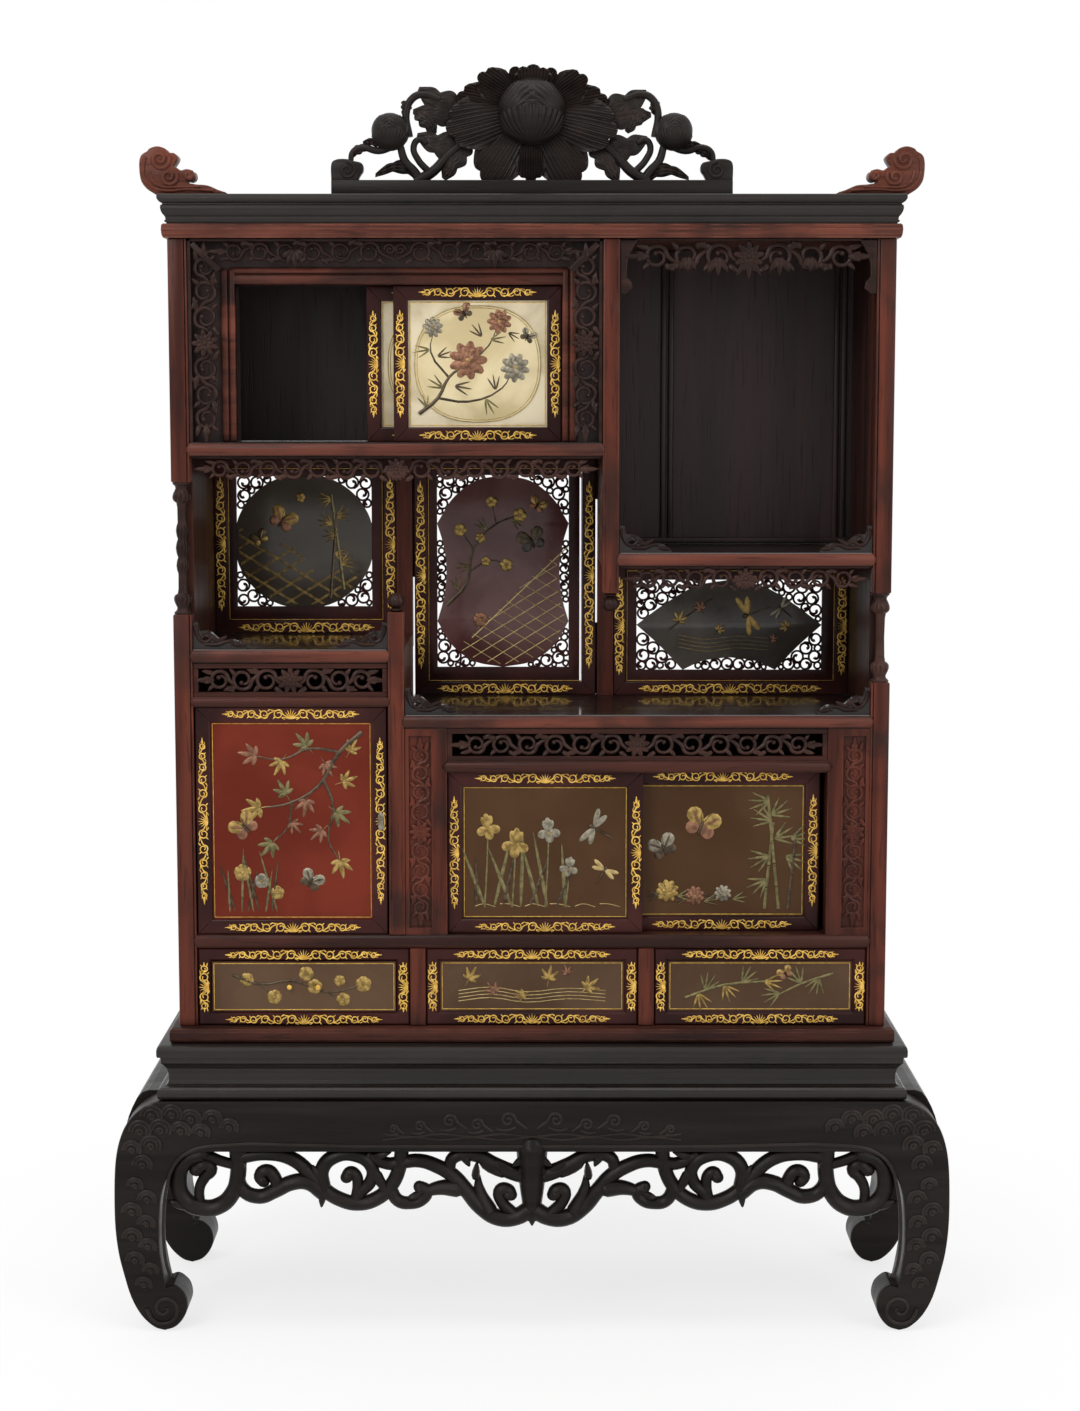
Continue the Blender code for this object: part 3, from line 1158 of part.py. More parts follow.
def build_cupboard_door():
    x, y = pivot_place()
    axis = joint_axis("cupboard_door_hinge", (x, y, MIDDLE_Z))
    z_low = MIDDLE_Z + SLIP
    z_high = LEFT_DOOR_TOP_Z - SLIP
    x_low = -INNER_X + CUPBOARD_DOOR_GAP
    x_high = LOWER_DIVISION[0] - CUPBOARD_DOOR_GAP
    front = FRONT_Y + CUPBOARD_DOOR_SETBACK
    pin = PIVOT_LENGTH - PIVOT_PLAY
    root = 0.006
    ends = ((z_low - pin, z_low + root), (z_high - root, z_high + pin))
    pins = [loft([round_section(PIVOT_RADIUS, x, y, z) for z in pair]) for pair in ends]
    build_door("cupboard_door", x_low, x_high, z_low, z_high, front, "red_lacquer", axis, pins)
    middle_x = x_high - DOOR_RAIL / 2 + 0.002
    middle_z = (z_low + z_high) / 2
    oval = []
    for y_ring, size in ((front - FIT, 1.0), (front - 0.0015, 1.0), (front - 0.0030, 0.72)):
        ring = []
        for k in range(16):
            a = 2 * math.pi * k / 16
            across = PULL_WIDTH / 2 * size * math.cos(a)
            up = PULL_HEIGHT / 2 * size * math.sin(a)
            ring.append((middle_x + across, y_ring, middle_z + up))
        oval.append(ring)
    solid_object("cupboard_door_pull", loft(oval), "dark_metal", axis)


def drawer_shape(x_low, x_high):
    """A dovetailed box behind a front with a mitred frame and a sunk field."""
    front = FRONT_Y + DRAWER_SETBACK
    z_low = PLINTH_Z
    z_high = DRAWER_TOP_Z - SLIP
    bm = bmesh.new()
    bmesh.ops.create_cube(bm, size=1.0)
    lip = 0.006
    low = (x_low + lip, front + DRAWER_FRONT - 0.002, z_low)
    high = (x_high - lip, front + DRAWER_DEPTH, z_low + DRAWER_SIDE_HEIGHT)
    for vertex in bm.verts:
        vertex.co = [a + (c + 0.5) * (b - a) for a, b, c in zip(low, high, vertex.co)]
    bm.faces.ensure_lookup_table()
    lid = max(bm.faces, key=lambda face: face.calc_center_median().z)
    bmesh.ops.inset_individual(bm, faces=[lid], thickness=DRAWER_WALL)
    sunk = bmesh.ops.extrude_discrete_faces(bm, faces=[lid])["faces"][0]
    bmesh.ops.translate(bm, verts=sunk.verts, vec=(0, 0, DRAWER_FLOOR - DRAWER_SIDE_HEIGHT))
    box = mesh_of(bm)
    back = front + DRAWER_FRONT
    rail = DOOR_RAIL
    profile = [(0.0, back), (0.0, front + FRAME_EASE), (FRAME_EASE, front)]
    profile += [(rail - 0.005, front), (rail, front + DRAWER_SUNK)]
    loops = []
    for inset, y in profile:
        corners = rectangle(x_low + inset, x_high - inset, z_low + inset, z_high - inset)
        loops.append([(x, y, z) for x, z in corners])
    return fused([loft(loops), box])


def drawer_knob(x, y, z):
    """A small turned knob, let into the drawer's field."""
    stem = [(-0.15, 0.55), (0.45, 0.50), (0.55, 0.85), (0.72, 1.0), (0.90, 0.78), (1.0, 0.30)]
    loops = []
    for share, width in stem:
        ring = round_section(KNOB_RADIUS * width, 0, 0, 0)
        loops.append([(x + px, y - KNOB_LENGTH * share, z + py) for px, py, _ in ring])
    return loft(loops)


def build_drawers():
    front = FRONT_Y + DRAWER_SETBACK
    for name, (x_low, x_high) in zip(("left", "centre", "right"), drawer_bays()):
        middle = (x_low + x_high) / 2
        axis = joint_axis(f"{name}_drawer_slide", (middle, front, PLINTH_Z))
        shape = drawer_shape(x_low + SLIP, x_high - SLIP)
        if name == "left":
            z = PLINTH_Z + DRAWER_BAY / 2
            places = (middle - KNOB_SPREAD / 2, middle + KNOB_SPREAD / 2)
            shape = fused([shape, *(drawer_knob(x, front + DRAWER_SUNK, z) for x in places)])
        solid_object(f"{name}_drawer", shape, "olive_lacquer", axis)


def build_cabinet():
    build_legs()
    build_aprons()
    build_stand_top()
    build_stand_fret()
    build_plinth()
    build_posts()
    build_sides()
    build_boards()
    build_partitions()
    build_backs()
    build_pierced_panels()
    build_friezes()
    build_pilasters()
    build_dividers()
    build_upper_doorway()
    build_case_frets()
    build_cornice()
    build_crest()
    build_finials()
    build_lower_doors()
    build_upper_doors()
    build_cupboard_door()
    build_drawers()


build_cabinet()
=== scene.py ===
"""Looks of a standing display cabinet: carved rosewood, dark lacquer, gold scrolls and raised inlay,
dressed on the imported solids. Metres, +Z up, the front faces -Y."""

import math

import bmesh
import bpy
from mathutils import Matrix, Vector


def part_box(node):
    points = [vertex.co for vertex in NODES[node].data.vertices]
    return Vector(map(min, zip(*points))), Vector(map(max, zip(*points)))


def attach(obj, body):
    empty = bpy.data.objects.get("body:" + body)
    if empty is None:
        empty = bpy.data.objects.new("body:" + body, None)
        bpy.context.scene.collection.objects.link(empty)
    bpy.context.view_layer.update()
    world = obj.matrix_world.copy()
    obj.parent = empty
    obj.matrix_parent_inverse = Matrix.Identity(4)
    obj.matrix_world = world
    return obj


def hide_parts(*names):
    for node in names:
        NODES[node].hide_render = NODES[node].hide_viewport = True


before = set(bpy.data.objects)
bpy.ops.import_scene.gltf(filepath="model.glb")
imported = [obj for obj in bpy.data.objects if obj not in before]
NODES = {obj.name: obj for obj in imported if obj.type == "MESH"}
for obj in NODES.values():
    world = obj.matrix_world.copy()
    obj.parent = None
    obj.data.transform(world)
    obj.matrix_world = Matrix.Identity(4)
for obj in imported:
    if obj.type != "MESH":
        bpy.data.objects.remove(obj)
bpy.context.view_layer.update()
CASE = "case"


def mm(sizes):
    """Lengths in metres from a table in millimetres."""
    if isinstance(sizes, (list, tuple)):
        return [mm(part) for part in sizes]
    return sizes / 1000


# Camera, floor and light

PHOTO_HEIGHT = 1411
FOCAL_PIXELS = 2500
SHIFT_PIXELS = 8
SENSOR = 24.0
CAMERA_PLACE = (0.0, -4.296, 1.530)
CAMERA_TILT = 6.49  # degrees below the horizon
FLOOR_RADIUS = 14.0
SHADOW_NEAR = 0.35
SHADOW_FAR = 1.5
WHITE = (1.0, 1.0, 1.0)


def set_camera():
    """A long lens a little above the middle, tilted down, as the photograph was taken."""
    lens = bpy.data.cameras.new("camera")
    lens.sensor_fit = "VERTICAL"
    lens.sensor_height = SENSOR
    lens.lens = SENSOR * FOCAL_PIXELS / PHOTO_HEIGHT
    lens.shift_x = SHIFT_PIXELS / PHOTO_HEIGHT
    camera = bpy.data.objects.new("camera", lens)
    camera.location = CAMERA_PLACE
    camera.rotation_euler = (math.radians(90 - CAMERA_TILT), 0.0, 0.0)
    bpy.context.collection.objects.link(camera)
    bpy.context.scene.camera = camera


def softbox(name, place, target, width, height, power):
    """A soft lamp that faces its target."""
    light = bpy.data.lights.new(name, "AREA")
    light.shape = "RECTANGLE"
    light.size = width
    light.size_y = height
    light.energy = power
    lamp = bpy.data.objects.new(name, light)
    lamp.location = place
    lamp.rotation_euler = (Vector(target) - Vector(place)).to_track_quat("-Z", "Y").to_euler()
    bpy.context.collection.objects.link(lamp)


def direct_view(tree):
    """1 for a ray from the camera, off a gloss or through glass, and 0 for any other."""
    path = add_node(tree, "ShaderNodeLightPath").outputs
    shiny = arithmetic(tree, "MAXIMUM", path["Is Glossy Ray"], path["Is Transmission Ray"])
    return arithmetic(tree, "MAXIMUM", path["Is Camera Ray"], shiny)


def set_light():
    """Two soft lamps in front and one above, in a white room that is dimmer on the camera's side."""
    scene = bpy.context.scene
    scene.view_settings.view_transform = "Standard"
    softbox("key", (-2.4, -3.4, 3.6), (0.0, 0.0, 1.5), width=2.2, height=2.2, power=91)
    softbox("fill", (2.8, -3.0, 2.3), (0.0, 0.0, 1.5), width=2.0, height=2.4, power=47)
    softbox("top", (0.0, -0.8, 4.3), (0.0, 0.0, 1.2), width=3.0, height=1.6, power=44)
    world = bpy.data.worlds.new("studio")
    scene.world = world
    world.use_nodes = True
    tree = world.node_tree
    back = tree.nodes["Background"].inputs
    split = add_node(tree, "ShaderNodeSeparateXYZ")
    feed(tree, split.inputs[0], add_node(tree, "ShaderNodeTexCoord").outputs["Generated"])
    fade = spread(tree, split.outputs["Y"], -0.75, 0.35, 0.14, 1.0, "LINEAR")
    feed(tree, back["Strength"], arithmetic(tree, "MAXIMUM", direct_view(tree), fade))
    feed(tree, back["Color"], WHITE)


def set_floor():
    """A pale floor that keeps the shadow near the cabinet and runs out into plain white."""
    bm = bmesh.new()
    bmesh.ops.create_circle(bm, cap_ends=True, radius=FLOOR_RADIUS, segments=64)
    mesh = bpy.data.meshes.new("floor")
    bm.to_mesh(mesh)
    bm.free()
    floor = bpy.data.objects.new("floor", mesh)
    bpy.context.collection.objects.link(floor)
    material = bpy.data.materials.new("pale_floor")
    material.use_nodes = True
    tree = material.node_tree
    shader = tree.nodes["Principled BSDF"]
    feed(tree, shader.inputs["Base Color"], (0.93, 0.93, 0.93))
    feed(tree, shader.inputs["Roughness"], 0.9)
    feed(tree, shader.inputs["Specular IOR Level"], 0.1)
    glow = add_node(tree, "ShaderNodeEmission")
    feed(tree, glow.inputs["Color"], WHITE)
    reach = add_node(tree, "ShaderNodeVectorMath", operation="LENGTH")
    feed(tree, reach.inputs[0], add_node(tree, "ShaderNodeTexCoord").outputs["Object"])
    fade = spread(tree, reach.outputs["Value"], SHADOW_NEAR, SHADOW_FAR, 0.70, 1.0)
    mix = add_node(tree, "ShaderNodeMixShader")
    feed(tree, mix.inputs[0], arithmetic(tree, "MULTIPLY", direct_view(tree), fade))
    feed(tree, mix.inputs[1], shader.outputs[0])
    feed(tree, mix.inputs[2], glow.outputs[0])
    feed(tree, tree.nodes["Material Output"].inputs["Surface"], mix.outputs[0])
    mesh.materials.append(material)


# Finishes


def add_node(tree, kind, **settings):
    """A new shader node with its settings."""
    made = tree.nodes.new(kind)
    for key, value in settings.items():
        setattr(made, key, value)
    return made


def feed(tree, socket, value):
    """Link a socket to another, or set its value; a colour may be given without its alpha."""
    if isinstance(value, bpy.types.NodeSocket):
        tree.links.new(value, socket)
    elif isinstance(value, tuple) and len(value) == 3 and socket.type == "RGBA":
        socket.default_value = (*value, 1.0)
    else:
        socket.default_value = value


def blend_colours(tree, share, first, second):
    """The first colour, giving way to the second as the share grows."""
    mix = add_node(tree, "ShaderNodeMix", data_type="RGBA")
    feed(tree, mix.inputs[0], share)
    feed(tree, mix.inputs[6], first)
    feed(tree, mix.inputs[7], second)
    return mix.outputs[2]


def arithmetic(tree, operation, first, second):
    """One sum of two numbers or sockets."""
    made = add_node(tree, "ShaderNodeMath", operation=operation)
    feed(tree, made.inputs[0], first)
    feed(tree, made.inputs[1], second)
    return made.outputs[0]


def scaled(tree, value, by):
    """A value times a number or another value."""
    return arithmetic(tree, "MULTIPLY", value, by)


def spread(tree, value, low, high, to_low=0.0, to_high=1.0, course="SMOOTHSTEP"):
    """A value drawn out from one range to another and held within it."""
    made = add_node(tree, "ShaderNodeMapRange", interpolation_type=course)
    for name, number in (
        ("From Min", low), ("From Max", high), ("To Min", to_low), ("To Max", to_high),
    ):
        made.inputs[name].default_value = number
    feed(tree, made.inputs["Value"], value)
    return made.outputs[0]


def cloud(tree, vector, scale, detail=3.0, distortion=0.0):
    """Soft noise, as in stains and grain."""
    made = add_node(tree, "ShaderNodeTexNoise")
    feed(tree, made.inputs["Vector"], vector)
    made.inputs["Scale"].default_value = scale
    made.inputs["Detail"].default_value = detail
    made.inputs["Distortion"].default_value = distortion
    return made.outputs[0]


def stretched(tree, vector, scale):
    """Coordinates scaled along each axis."""
    made = add_node(tree, "ShaderNodeMapping", vector_type="POINT")
    feed(tree, made.inputs["Vector"], vector)
    made.inputs["Scale"].default_value = scale
    return made.outputs[0]


PORE = (0.012, 0.006, 0.005)
STAIN = (0.018, 0.0105, 0.0095)
# Colour for the hollows of wood: dust, and painted shade.
DUST_AND_SHADE = (0.006, 0.0035, 0.0035)
TARNISH = (0.05, 0.025, 0.012)
# Width of the rounded edges that are lightened, for wear and as painted highlight.
EDGE_WEAR_AND_HIGHLIGHT_RADIUS = 0.0035
HOLLOW_REACH = 0.018


def new_group(name, inputs, outputs):
    """An empty node group with its named sockets."""
    group = bpy.data.node_groups.new(name, "ShaderNodeTree")
    for label, kind in inputs:
        group.interface.new_socket(label, in_out="INPUT", socket_type=kind)
    for label, kind in outputs:
        group.interface.new_socket(label, in_out="OUTPUT", socket_type=kind)
    source = group.nodes.new("NodeGroupInput").outputs
    target = group.nodes.new("NodeGroupOutput").inputs
    return group, source, target


def make_grain_group():
    """Streaks, pores and slow colour drift of a dense hardwood, along the first vector's stretch."""
    group, source, target = new_group(
        "wood_grain",
        [("Vector", "NodeSocketVector"), ("Dark", "NodeSocketColor"), ("Light", "NodeSocketColor")],
        [("Color", "NodeSocketColor"), ("Roughness", "NodeSocketFloat"), ("Height", "NodeSocketFloat")],
    )
    vector = source["Vector"]
    streak = cloud(group, vector, scale=34.0, detail=6.0, distortion=0.6)
    band = cloud(group, vector, scale=9.0, detail=2.0, distortion=1.4)
    pore = cloud(group, vector, scale=210.0, detail=2.0)
    share = arithmetic(group, "ADD", scaled(group, streak, 0.6), scaled(group, band, 0.4))
    colour = blend_colours(group, spread(group, share, 0.38, 0.64), source["Dark"], source["Light"])
    pit = spread(group, pore, 0.60, 0.68)
    colour = blend_colours(group, scaled(group, pit, 0.45), colour, PORE)
    feed(group, target["Color"], colour)
    feed(group, target["Roughness"], spread(group, streak, 0.3, 0.7, 0.30, 0.42))
    feed(group, target["Height"], arithmetic(group, "SUBTRACT", share, scaled(group, pit, 0.6)))
    return group


def make_edge_and_hollow_masks():
    """Masks of rounded edges, for wear and painted highlight, and of hollows, for dust with painted shade
    in wood and for tarnish on metal.
    """
    group, source, target = new_group(
        "edge_and_hollow_masks",
        [("Vector", "NodeSocketVector")],
        [("Edge", "NodeSocketFloat"), ("Hollow", "NodeSocketFloat")],
    )
    # Edges where the surface rounds over, patchy: the mask for wear and painted highlight.
    rounded = add_node(group, "ShaderNodeBevel", samples=4)
    rounded.inputs["Radius"].default_value = EDGE_WEAR_AND_HIGHLIGHT_RADIUS
    surface = add_node(group, "ShaderNodeNewGeometry")
    turn = add_node(group, "ShaderNodeVectorMath", operation="DOT_PRODUCT")
    feed(group, turn.inputs[0], rounded.outputs[0])
    feed(group, turn.inputs[1], surface.outputs["Normal"])
    patch = cloud(group, source["Vector"], scale=26.0, detail=4.0)
    bent = spread(group, arithmetic(group, "SUBTRACT", 1.0, turn.outputs["Value"]), 0.02, 0.22)
    feed(group, target["Edge"], scaled(group, bent, spread(group, patch, 0.36, 0.62)))
    # Hollows found by occlusion, where shade falls: painted shade with dust in wood, tarnish on metal.
    shade = add_node(group, "ShaderNodeAmbientOcclusion", samples=4)
    shade.inputs["Distance"].default_value = HOLLOW_REACH
    feed(group, target["Hollow"], arithmetic(group, "SUBTRACT", 1.0, shade.outputs["AO"]))
    return group


GRAIN = make_grain_group()
EDGE_AND_HOLLOW_MASKS = make_edge_and_hollow_masks()


def new_finish(name, metallic=0.0, gloss=0.5, coat=0.0):
    """A material with its plain values set, and the coordinates of its pattern."""
    material = bpy.data.materials.new(name)
    material.use_nodes = True
    tree = material.node_tree
    shader = tree.nodes["Principled BSDF"]
    shader.inputs["Metallic"].default_value = metallic
    shader.inputs["Specular IOR Level"].default_value = gloss
    shader.inputs["Coat Weight"].default_value = coat
    shader.inputs["Coat Roughness"].default_value = 0.07
    place = add_node(tree, "ShaderNodeTexCoord").outputs["Object"]
    return material, tree, shader, place


def raise_grain(tree, shader, height, distance):
    """A fine unevenness of the surface."""
    bump = add_node(tree, "ShaderNodeBump")
    bump.inputs["Strength"].default_value = 0.5
    bump.inputs["Distance"].default_value = distance
    feed(tree, bump.inputs["Height"], height)
    feed(tree, shader.inputs["Normal"], bump.outputs[0])


def group_node(tree, group, **values):
    """The outputs of a shared effect, placed with its own values."""
    made = add_node(tree, "ShaderNodeGroup", node_tree=group)
    for key, value in values.items():
        feed(tree, made.inputs[key], value)
    return made.outputs


def wood(name, dark, light, edge_wear_and_highlight, stretch, gloss=0.12, edge_wear_and_highlight_share=0.7, clouds=0.0, coat=0.0):
    """A polished wood with its grain along one axis, edges lightened for wear and as painted highlight,
    hollows darkened with dust and painted shade, and darker stains.
    """
    material, tree, shader, place = new_finish(name, gloss=gloss, coat=coat)
    grain = group_node(tree, GRAIN, Vector=stretched(tree, place, stretch), Dark=dark, Light=light)
    edge_and_hollow_masks = group_node(tree, EDGE_AND_HOLLOW_MASKS, Vector=place)
    colour = grain["Color"]
    if clouds:
        stain = spread(tree, cloud(tree, place, 5.5, 3.0, 0.8), 0.50, 0.68, 0.0, clouds)
        colour = blend_colours(tree, stain, colour, STAIN)
    # Lighter edges: wear, and painted highlight.
    colour = blend_colours(tree, scaled(tree, edge_and_hollow_masks["Edge"], edge_wear_and_highlight_share), colour, edge_wear_and_highlight)
    # Darker hollows: dust, and painted shade.
    colour = blend_colours(tree, scaled(tree, edge_and_hollow_masks["Hollow"], 0.75), colour, DUST_AND_SHADE)
    feed(tree, shader.inputs["Base Color"], colour)
    feed(tree, shader.inputs["Roughness"], grain["Roughness"])
    raise_grain(tree, shader, grain["Height"], 0.0005)
    return material


def lacquer(name, deep, bright, roughness=0.16, scale=5.0, gloss=0.10):
    """A lacquer that shows rubbing: slow clouding of its colour, with fine wear in its gloss."""
    material, tree, shader, place = new_finish(name, gloss=gloss)
    drift = cloud(tree, place, scale, 4.0, 0.5)
    fine = cloud(tree, place, 160.0, 3.0)
    colour = blend_colours(tree, spread(tree, drift, 0.34, 0.68), deep, bright)
    feed(tree, shader.inputs["Base Color"], colour)
    feed(tree, shader.inputs["Roughness"], spread(tree, fine, 0.3, 0.75, roughness, roughness + 0.12))
    raise_grain(tree, shader, drift, 0.0004)
    return material


def leaf_metal(name, deep, bright, roughness=0.34, metallic=0.85):
    """Raised gilding or inlaid metal, its colour drifting at random between two tones and dull with tarnish
    in its hollows.
    """
    material, tree, shader, place = new_finish(name, metallic=metallic)
    drift = cloud(tree, place, 120.0, 4.0)
    edge_and_hollow_masks = group_node(tree, EDGE_AND_HOLLOW_MASKS, Vector=place)
    colour = blend_colours(tree, spread(tree, drift, 0.3, 0.7), deep, bright)
    colour = blend_colours(tree, scaled(tree, edge_and_hollow_masks["Hollow"], 0.6), colour, TARNISH)
    feed(tree, shader.inputs["Base Color"], colour)
    dull = spread(tree, drift, 0.2, 0.8, roughness - 0.06, roughness + 0.16)
    feed(tree, shader.inputs["Roughness"], dull)
    raise_grain(tree, shader, drift, 0.0003)
    return material


ALONG_X = (0.06, 1.0, 1.0)
ALONG_Z = (1.0, 1.0, 0.06)

# Each wood gives its dark streaks, its light streaks and the colour of its edges, lighter for wear and as
# painted highlight.
ROSEWOOD = ((0.040, 0.0110, 0.0075), (0.128, 0.0320, 0.0185), (0.20, 0.064, 0.037))
BRIGHT_ROSEWOOD = ((0.058, 0.0190, 0.0135), (0.175, 0.0520, 0.0330), (0.25, 0.092, 0.057))
# A darker copy of the rosewood, painted shade, for the lower rails, the plinth, the friezes and the inner
# sides of the bays.
SHADED_ROSEWOOD = ((0.024, 0.0095, 0.0075), (0.070, 0.0220, 0.0150), (0.13, 0.046, 0.029))
EBONY = ((0.0082, 0.0064, 0.0055), (0.0180, 0.0138, 0.0120), (0.045, 0.026, 0.019))
# Ebony made lighter for the raised relief lines: painted highlight.
LIT_EBONY = ((0.015, 0.0118, 0.0100), (0.031, 0.0245, 0.0210), (0.055, 0.038, 0.030))
BACK_BOARD = ((0.031, 0.0200, 0.0190), (0.048, 0.0300, 0.0285), (0.06, 0.034, 0.029))
SHELF_BOARD = ((0.010, 0.006, 0.005), (0.024, 0.012, 0.009), (0.06, 0.03, 0.02))
VINE = ((0.024, 0.0112, 0.0090), (0.062, 0.0275, 0.0210), (0.105, 0.047, 0.034))
# A darker copy of the carved vine: painted shade.
SHADED_VINE = ((0.014, 0.0070, 0.0057), (0.038, 0.0176, 0.0135), (0.07, 0.033, 0.024))
RED_WOOD = ((0.060, 0.017, 0.011), (0.165, 0.048, 0.028), (0.25, 0.085, 0.05))

FINISH = {
    "post": wood("rosewood_upright", *ROSEWOOD, ALONG_Z, clouds=0.70),
    "rail": wood("rosewood_rail", *BRIGHT_ROSEWOOD, ALONG_X, clouds=0.55),
    "board": wood("dark_board", *BACK_BOARD, ALONG_Z, gloss=0.18),
    "shelf": wood("shelf_top", *SHELF_BOARD, ALONG_X, coat=0.55),
    "black": wood("ebonised", *EBONY, ALONG_X, edge_wear_and_highlight_share=0.4),
    "moulding": wood("ebonised_moulding", *EBONY, ALONG_X, gloss=0.28, edge_wear_and_highlight_share=0.4, coat=0.08),
    "dusky": wood("shaded_rosewood", *SHADED_ROSEWOOD, ALONG_X),
    "flank": wood("shaded_rosewood_side", *SHADED_ROSEWOOD, ALONG_Z),
    "relief": wood("lit_relief", *LIT_EBONY, ALONG_X),
    "carving": wood("carved_vine", *VINE, ALONG_X),
    "shaded": wood("shaded_vine", *SHADED_VINE, ALONG_X),
    "finial": wood("red_finial", *RED_WOOD, ALONG_X),
    "lacquer": lacquer("dark_lacquer", (0.022, 0.0076, 0.0069), (0.058, 0.0172, 0.0150)),
    "red": lacquer("red_lacquer", (0.125, 0.0165, 0.0075), (0.185, 0.0280, 0.0140)),
    "brown": lacquer("brown_lacquer", (0.074, 0.040, 0.021), (0.118, 0.068, 0.039)),
    "hazel": lacquer("hazel_lacquer", (0.062, 0.028, 0.0110), (0.088, 0.043, 0.0192)),
    "olive": lacquer("olive_lacquer", (0.042, 0.031, 0.021), (0.076, 0.059, 0.043), scale=8.0, gloss=0.40),
    "umber": lacquer("umber_lacquer", (0.046, 0.036, 0.028), (0.112, 0.092, 0.074), scale=8.0, gloss=0.50),
    "plum": lacquer("plum_lacquer", (0.084, 0.024, 0.022), (0.155, 0.070, 0.064), scale=8.0, gloss=0.40),
    "ivory": lacquer("ivory_ground", (0.54, 0.45, 0.28), (0.78, 0.68, 0.48), 0.3, 14.0),
    "field": lacquer("green_gold_ground", (0.62, 0.50, 0.275), (0.82, 0.69, 0.43), 0.3, 11.0),
    "gold": leaf_metal("gold_scroll", (0.54, 0.300, 0.042), (0.88, 0.57, 0.125), 0.40, 0.55),
    "pale_gold": leaf_metal("pale_gold", (0.32, 0.225, 0.080), (0.54, 0.41, 0.180), 0.42, 0.6),
    "old_gold": leaf_metal("old_gold", (0.17, 0.105, 0.026), (0.43, 0.29, 0.088), 0.40, 0.65),
    "copper": leaf_metal("copper_inlay", (0.125, 0.055, 0.031), (0.29, 0.138, 0.080), 0.40, 0.65),
    "bronze": leaf_metal("bronze_inlay", (0.034, 0.024, 0.015), (0.105, 0.074, 0.043), 0.38, 0.7),
    "green_gold": leaf_metal("green_gold", (0.085, 0.072, 0.028), (0.215, 0.180, 0.075), 0.42, 0.6),
    "silver": leaf_metal("silver_inlay", (0.13, 0.115, 0.082), (0.31, 0.275, 0.205), 0.40, 0.7),
    "iron": leaf_metal("dark_pull", (0.022, 0.019, 0.017), (0.065, 0.058, 0.051)),
}

NODE_FINISHES = {
    "board": ("lower_back", "upper_back", "upper_doorway"),
    "shelf": ("left_shelf", "centre_shelf", "niche_floor", "upper_floor"),
    "dusky": ("middle_board",),
    "flank": ("left_side", "right_side"),
    "black": ("stand_left_apron", "stand_right_apron", "stand_front_apron", "stand_back_apron"),
    "lacquer": ("left_drawer", "centre_drawer", "right_drawer"),
    "red": ("cupboard_door_panel",),
    "silver": ("cupboard_door_pull",),
    "ivory": ("upper_front_door_panel", "upper_rear_door_panel"),
    "hazel": ("lower_left_door_panel", "lower_right_door_panel"),
}


def paint_nodes():
    """Give each solid its finish; partitions, pilasters and dividers have the upright wood."""
    chosen = {node: finish for finish, nodes in NODE_FINISHES.items() for node in nodes}
    for name, solid in NODES.items():
        solid.data.materials.clear()
        solid.data.materials.append(FINISH[chosen.get(name, "post")])


# Making pieces


TOUCH = 1e-6


def show(name, bm, finish, body=CASE, replaced=(), sharp=38.0):
    """Turn a bmesh into a piece with its finish, riding on a body."""
    bmesh.ops.recalc_face_normals(bm, faces=bm.faces)
    mesh = bpy.data.meshes.new(name)
    bm.to_mesh(mesh)
    bm.free()
    mesh.shade_smooth()
    mesh.set_sharp_from_angle(angle=math.radians(sharp))
    mesh.materials.clear()
    mesh.materials.append(FINISH[finish])
    piece = bpy.data.objects.new(name, mesh)
    bpy.context.collection.objects.link(piece)
    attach(piece, body)
    if replaced:
        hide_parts(*replaced)
    return piece


def from_curve(curve):
    """A bmesh of a curve's finished surface."""
    carrier = bpy.data.objects.new("carrier", curve)
    mesh = bpy.data.meshes.new_from_object(carrier)
    bm = bmesh.new()
    bm.from_mesh(mesh)
    bpy.data.objects.remove(carrier)
    bpy.data.meshes.remove(mesh)
    bpy.data.curves.remove(curve)
    return bm


def add_shape(bm, other, matrix=None):
    """Put one bmesh into another and let go of it."""
    if matrix:
        other.transform(matrix)
    mesh = bpy.data.meshes.new("shape")
    other.to_mesh(mesh)
    other.free()
    bm.from_mesh(mesh)
    bpy.data.meshes.remove(mesh)


def stems(lines, flat=1.0, smooth=2, steps=4):
    """Round stems drawn in the XZ plane: each line holds points of x, z and radius."""
    curve = bpy.data.curves.new("stems", "CURVE")
    curve.dimensions = "3D"
    curve.bevel_depth = 1.0
    curve.bevel_resolution = smooth
    curve.resolution_u = steps
    curve.use_fill_caps = True
    for line in lines:
        spline = curve.splines.new("BEZIER")
        spline.bezier_points.add(len(line) - 1)
        for point, (x, z, radius) in zip(spline.bezier_points, line):
            point.co = (x, 0.0, z)
            point.handle_left_type = "AUTO"
            point.handle_right_type = "AUTO"
            point.radius = radius
    bm = from_curve(curve)
    bmesh.ops.scale(bm, vec=(1.0, flat, 1.0), verts=bm.verts)
    return bm


def tapered(points, first, last, rise=0.0):
    """Points of a stem whose radius runs evenly from its first to its last, lifted by a rise."""
    count = max(1, len(points) - 1)
    return [(x, rise + z, first + (last - first) * k / count) for k, (x, z) in enumerate(points)]


def middle_of(node):
    """The middle of a solid's box."""
    low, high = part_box(node)
    return tuple((low[k] + high[k]) / 2 for k in range(3))


def rectangle(x_low, x_high, z_low, z_high):
    """Corners of a rectangle in X and Z."""
    return [(x_low, z_low), (x_high, z_low), (x_high, z_high), (x_low, z_high)]


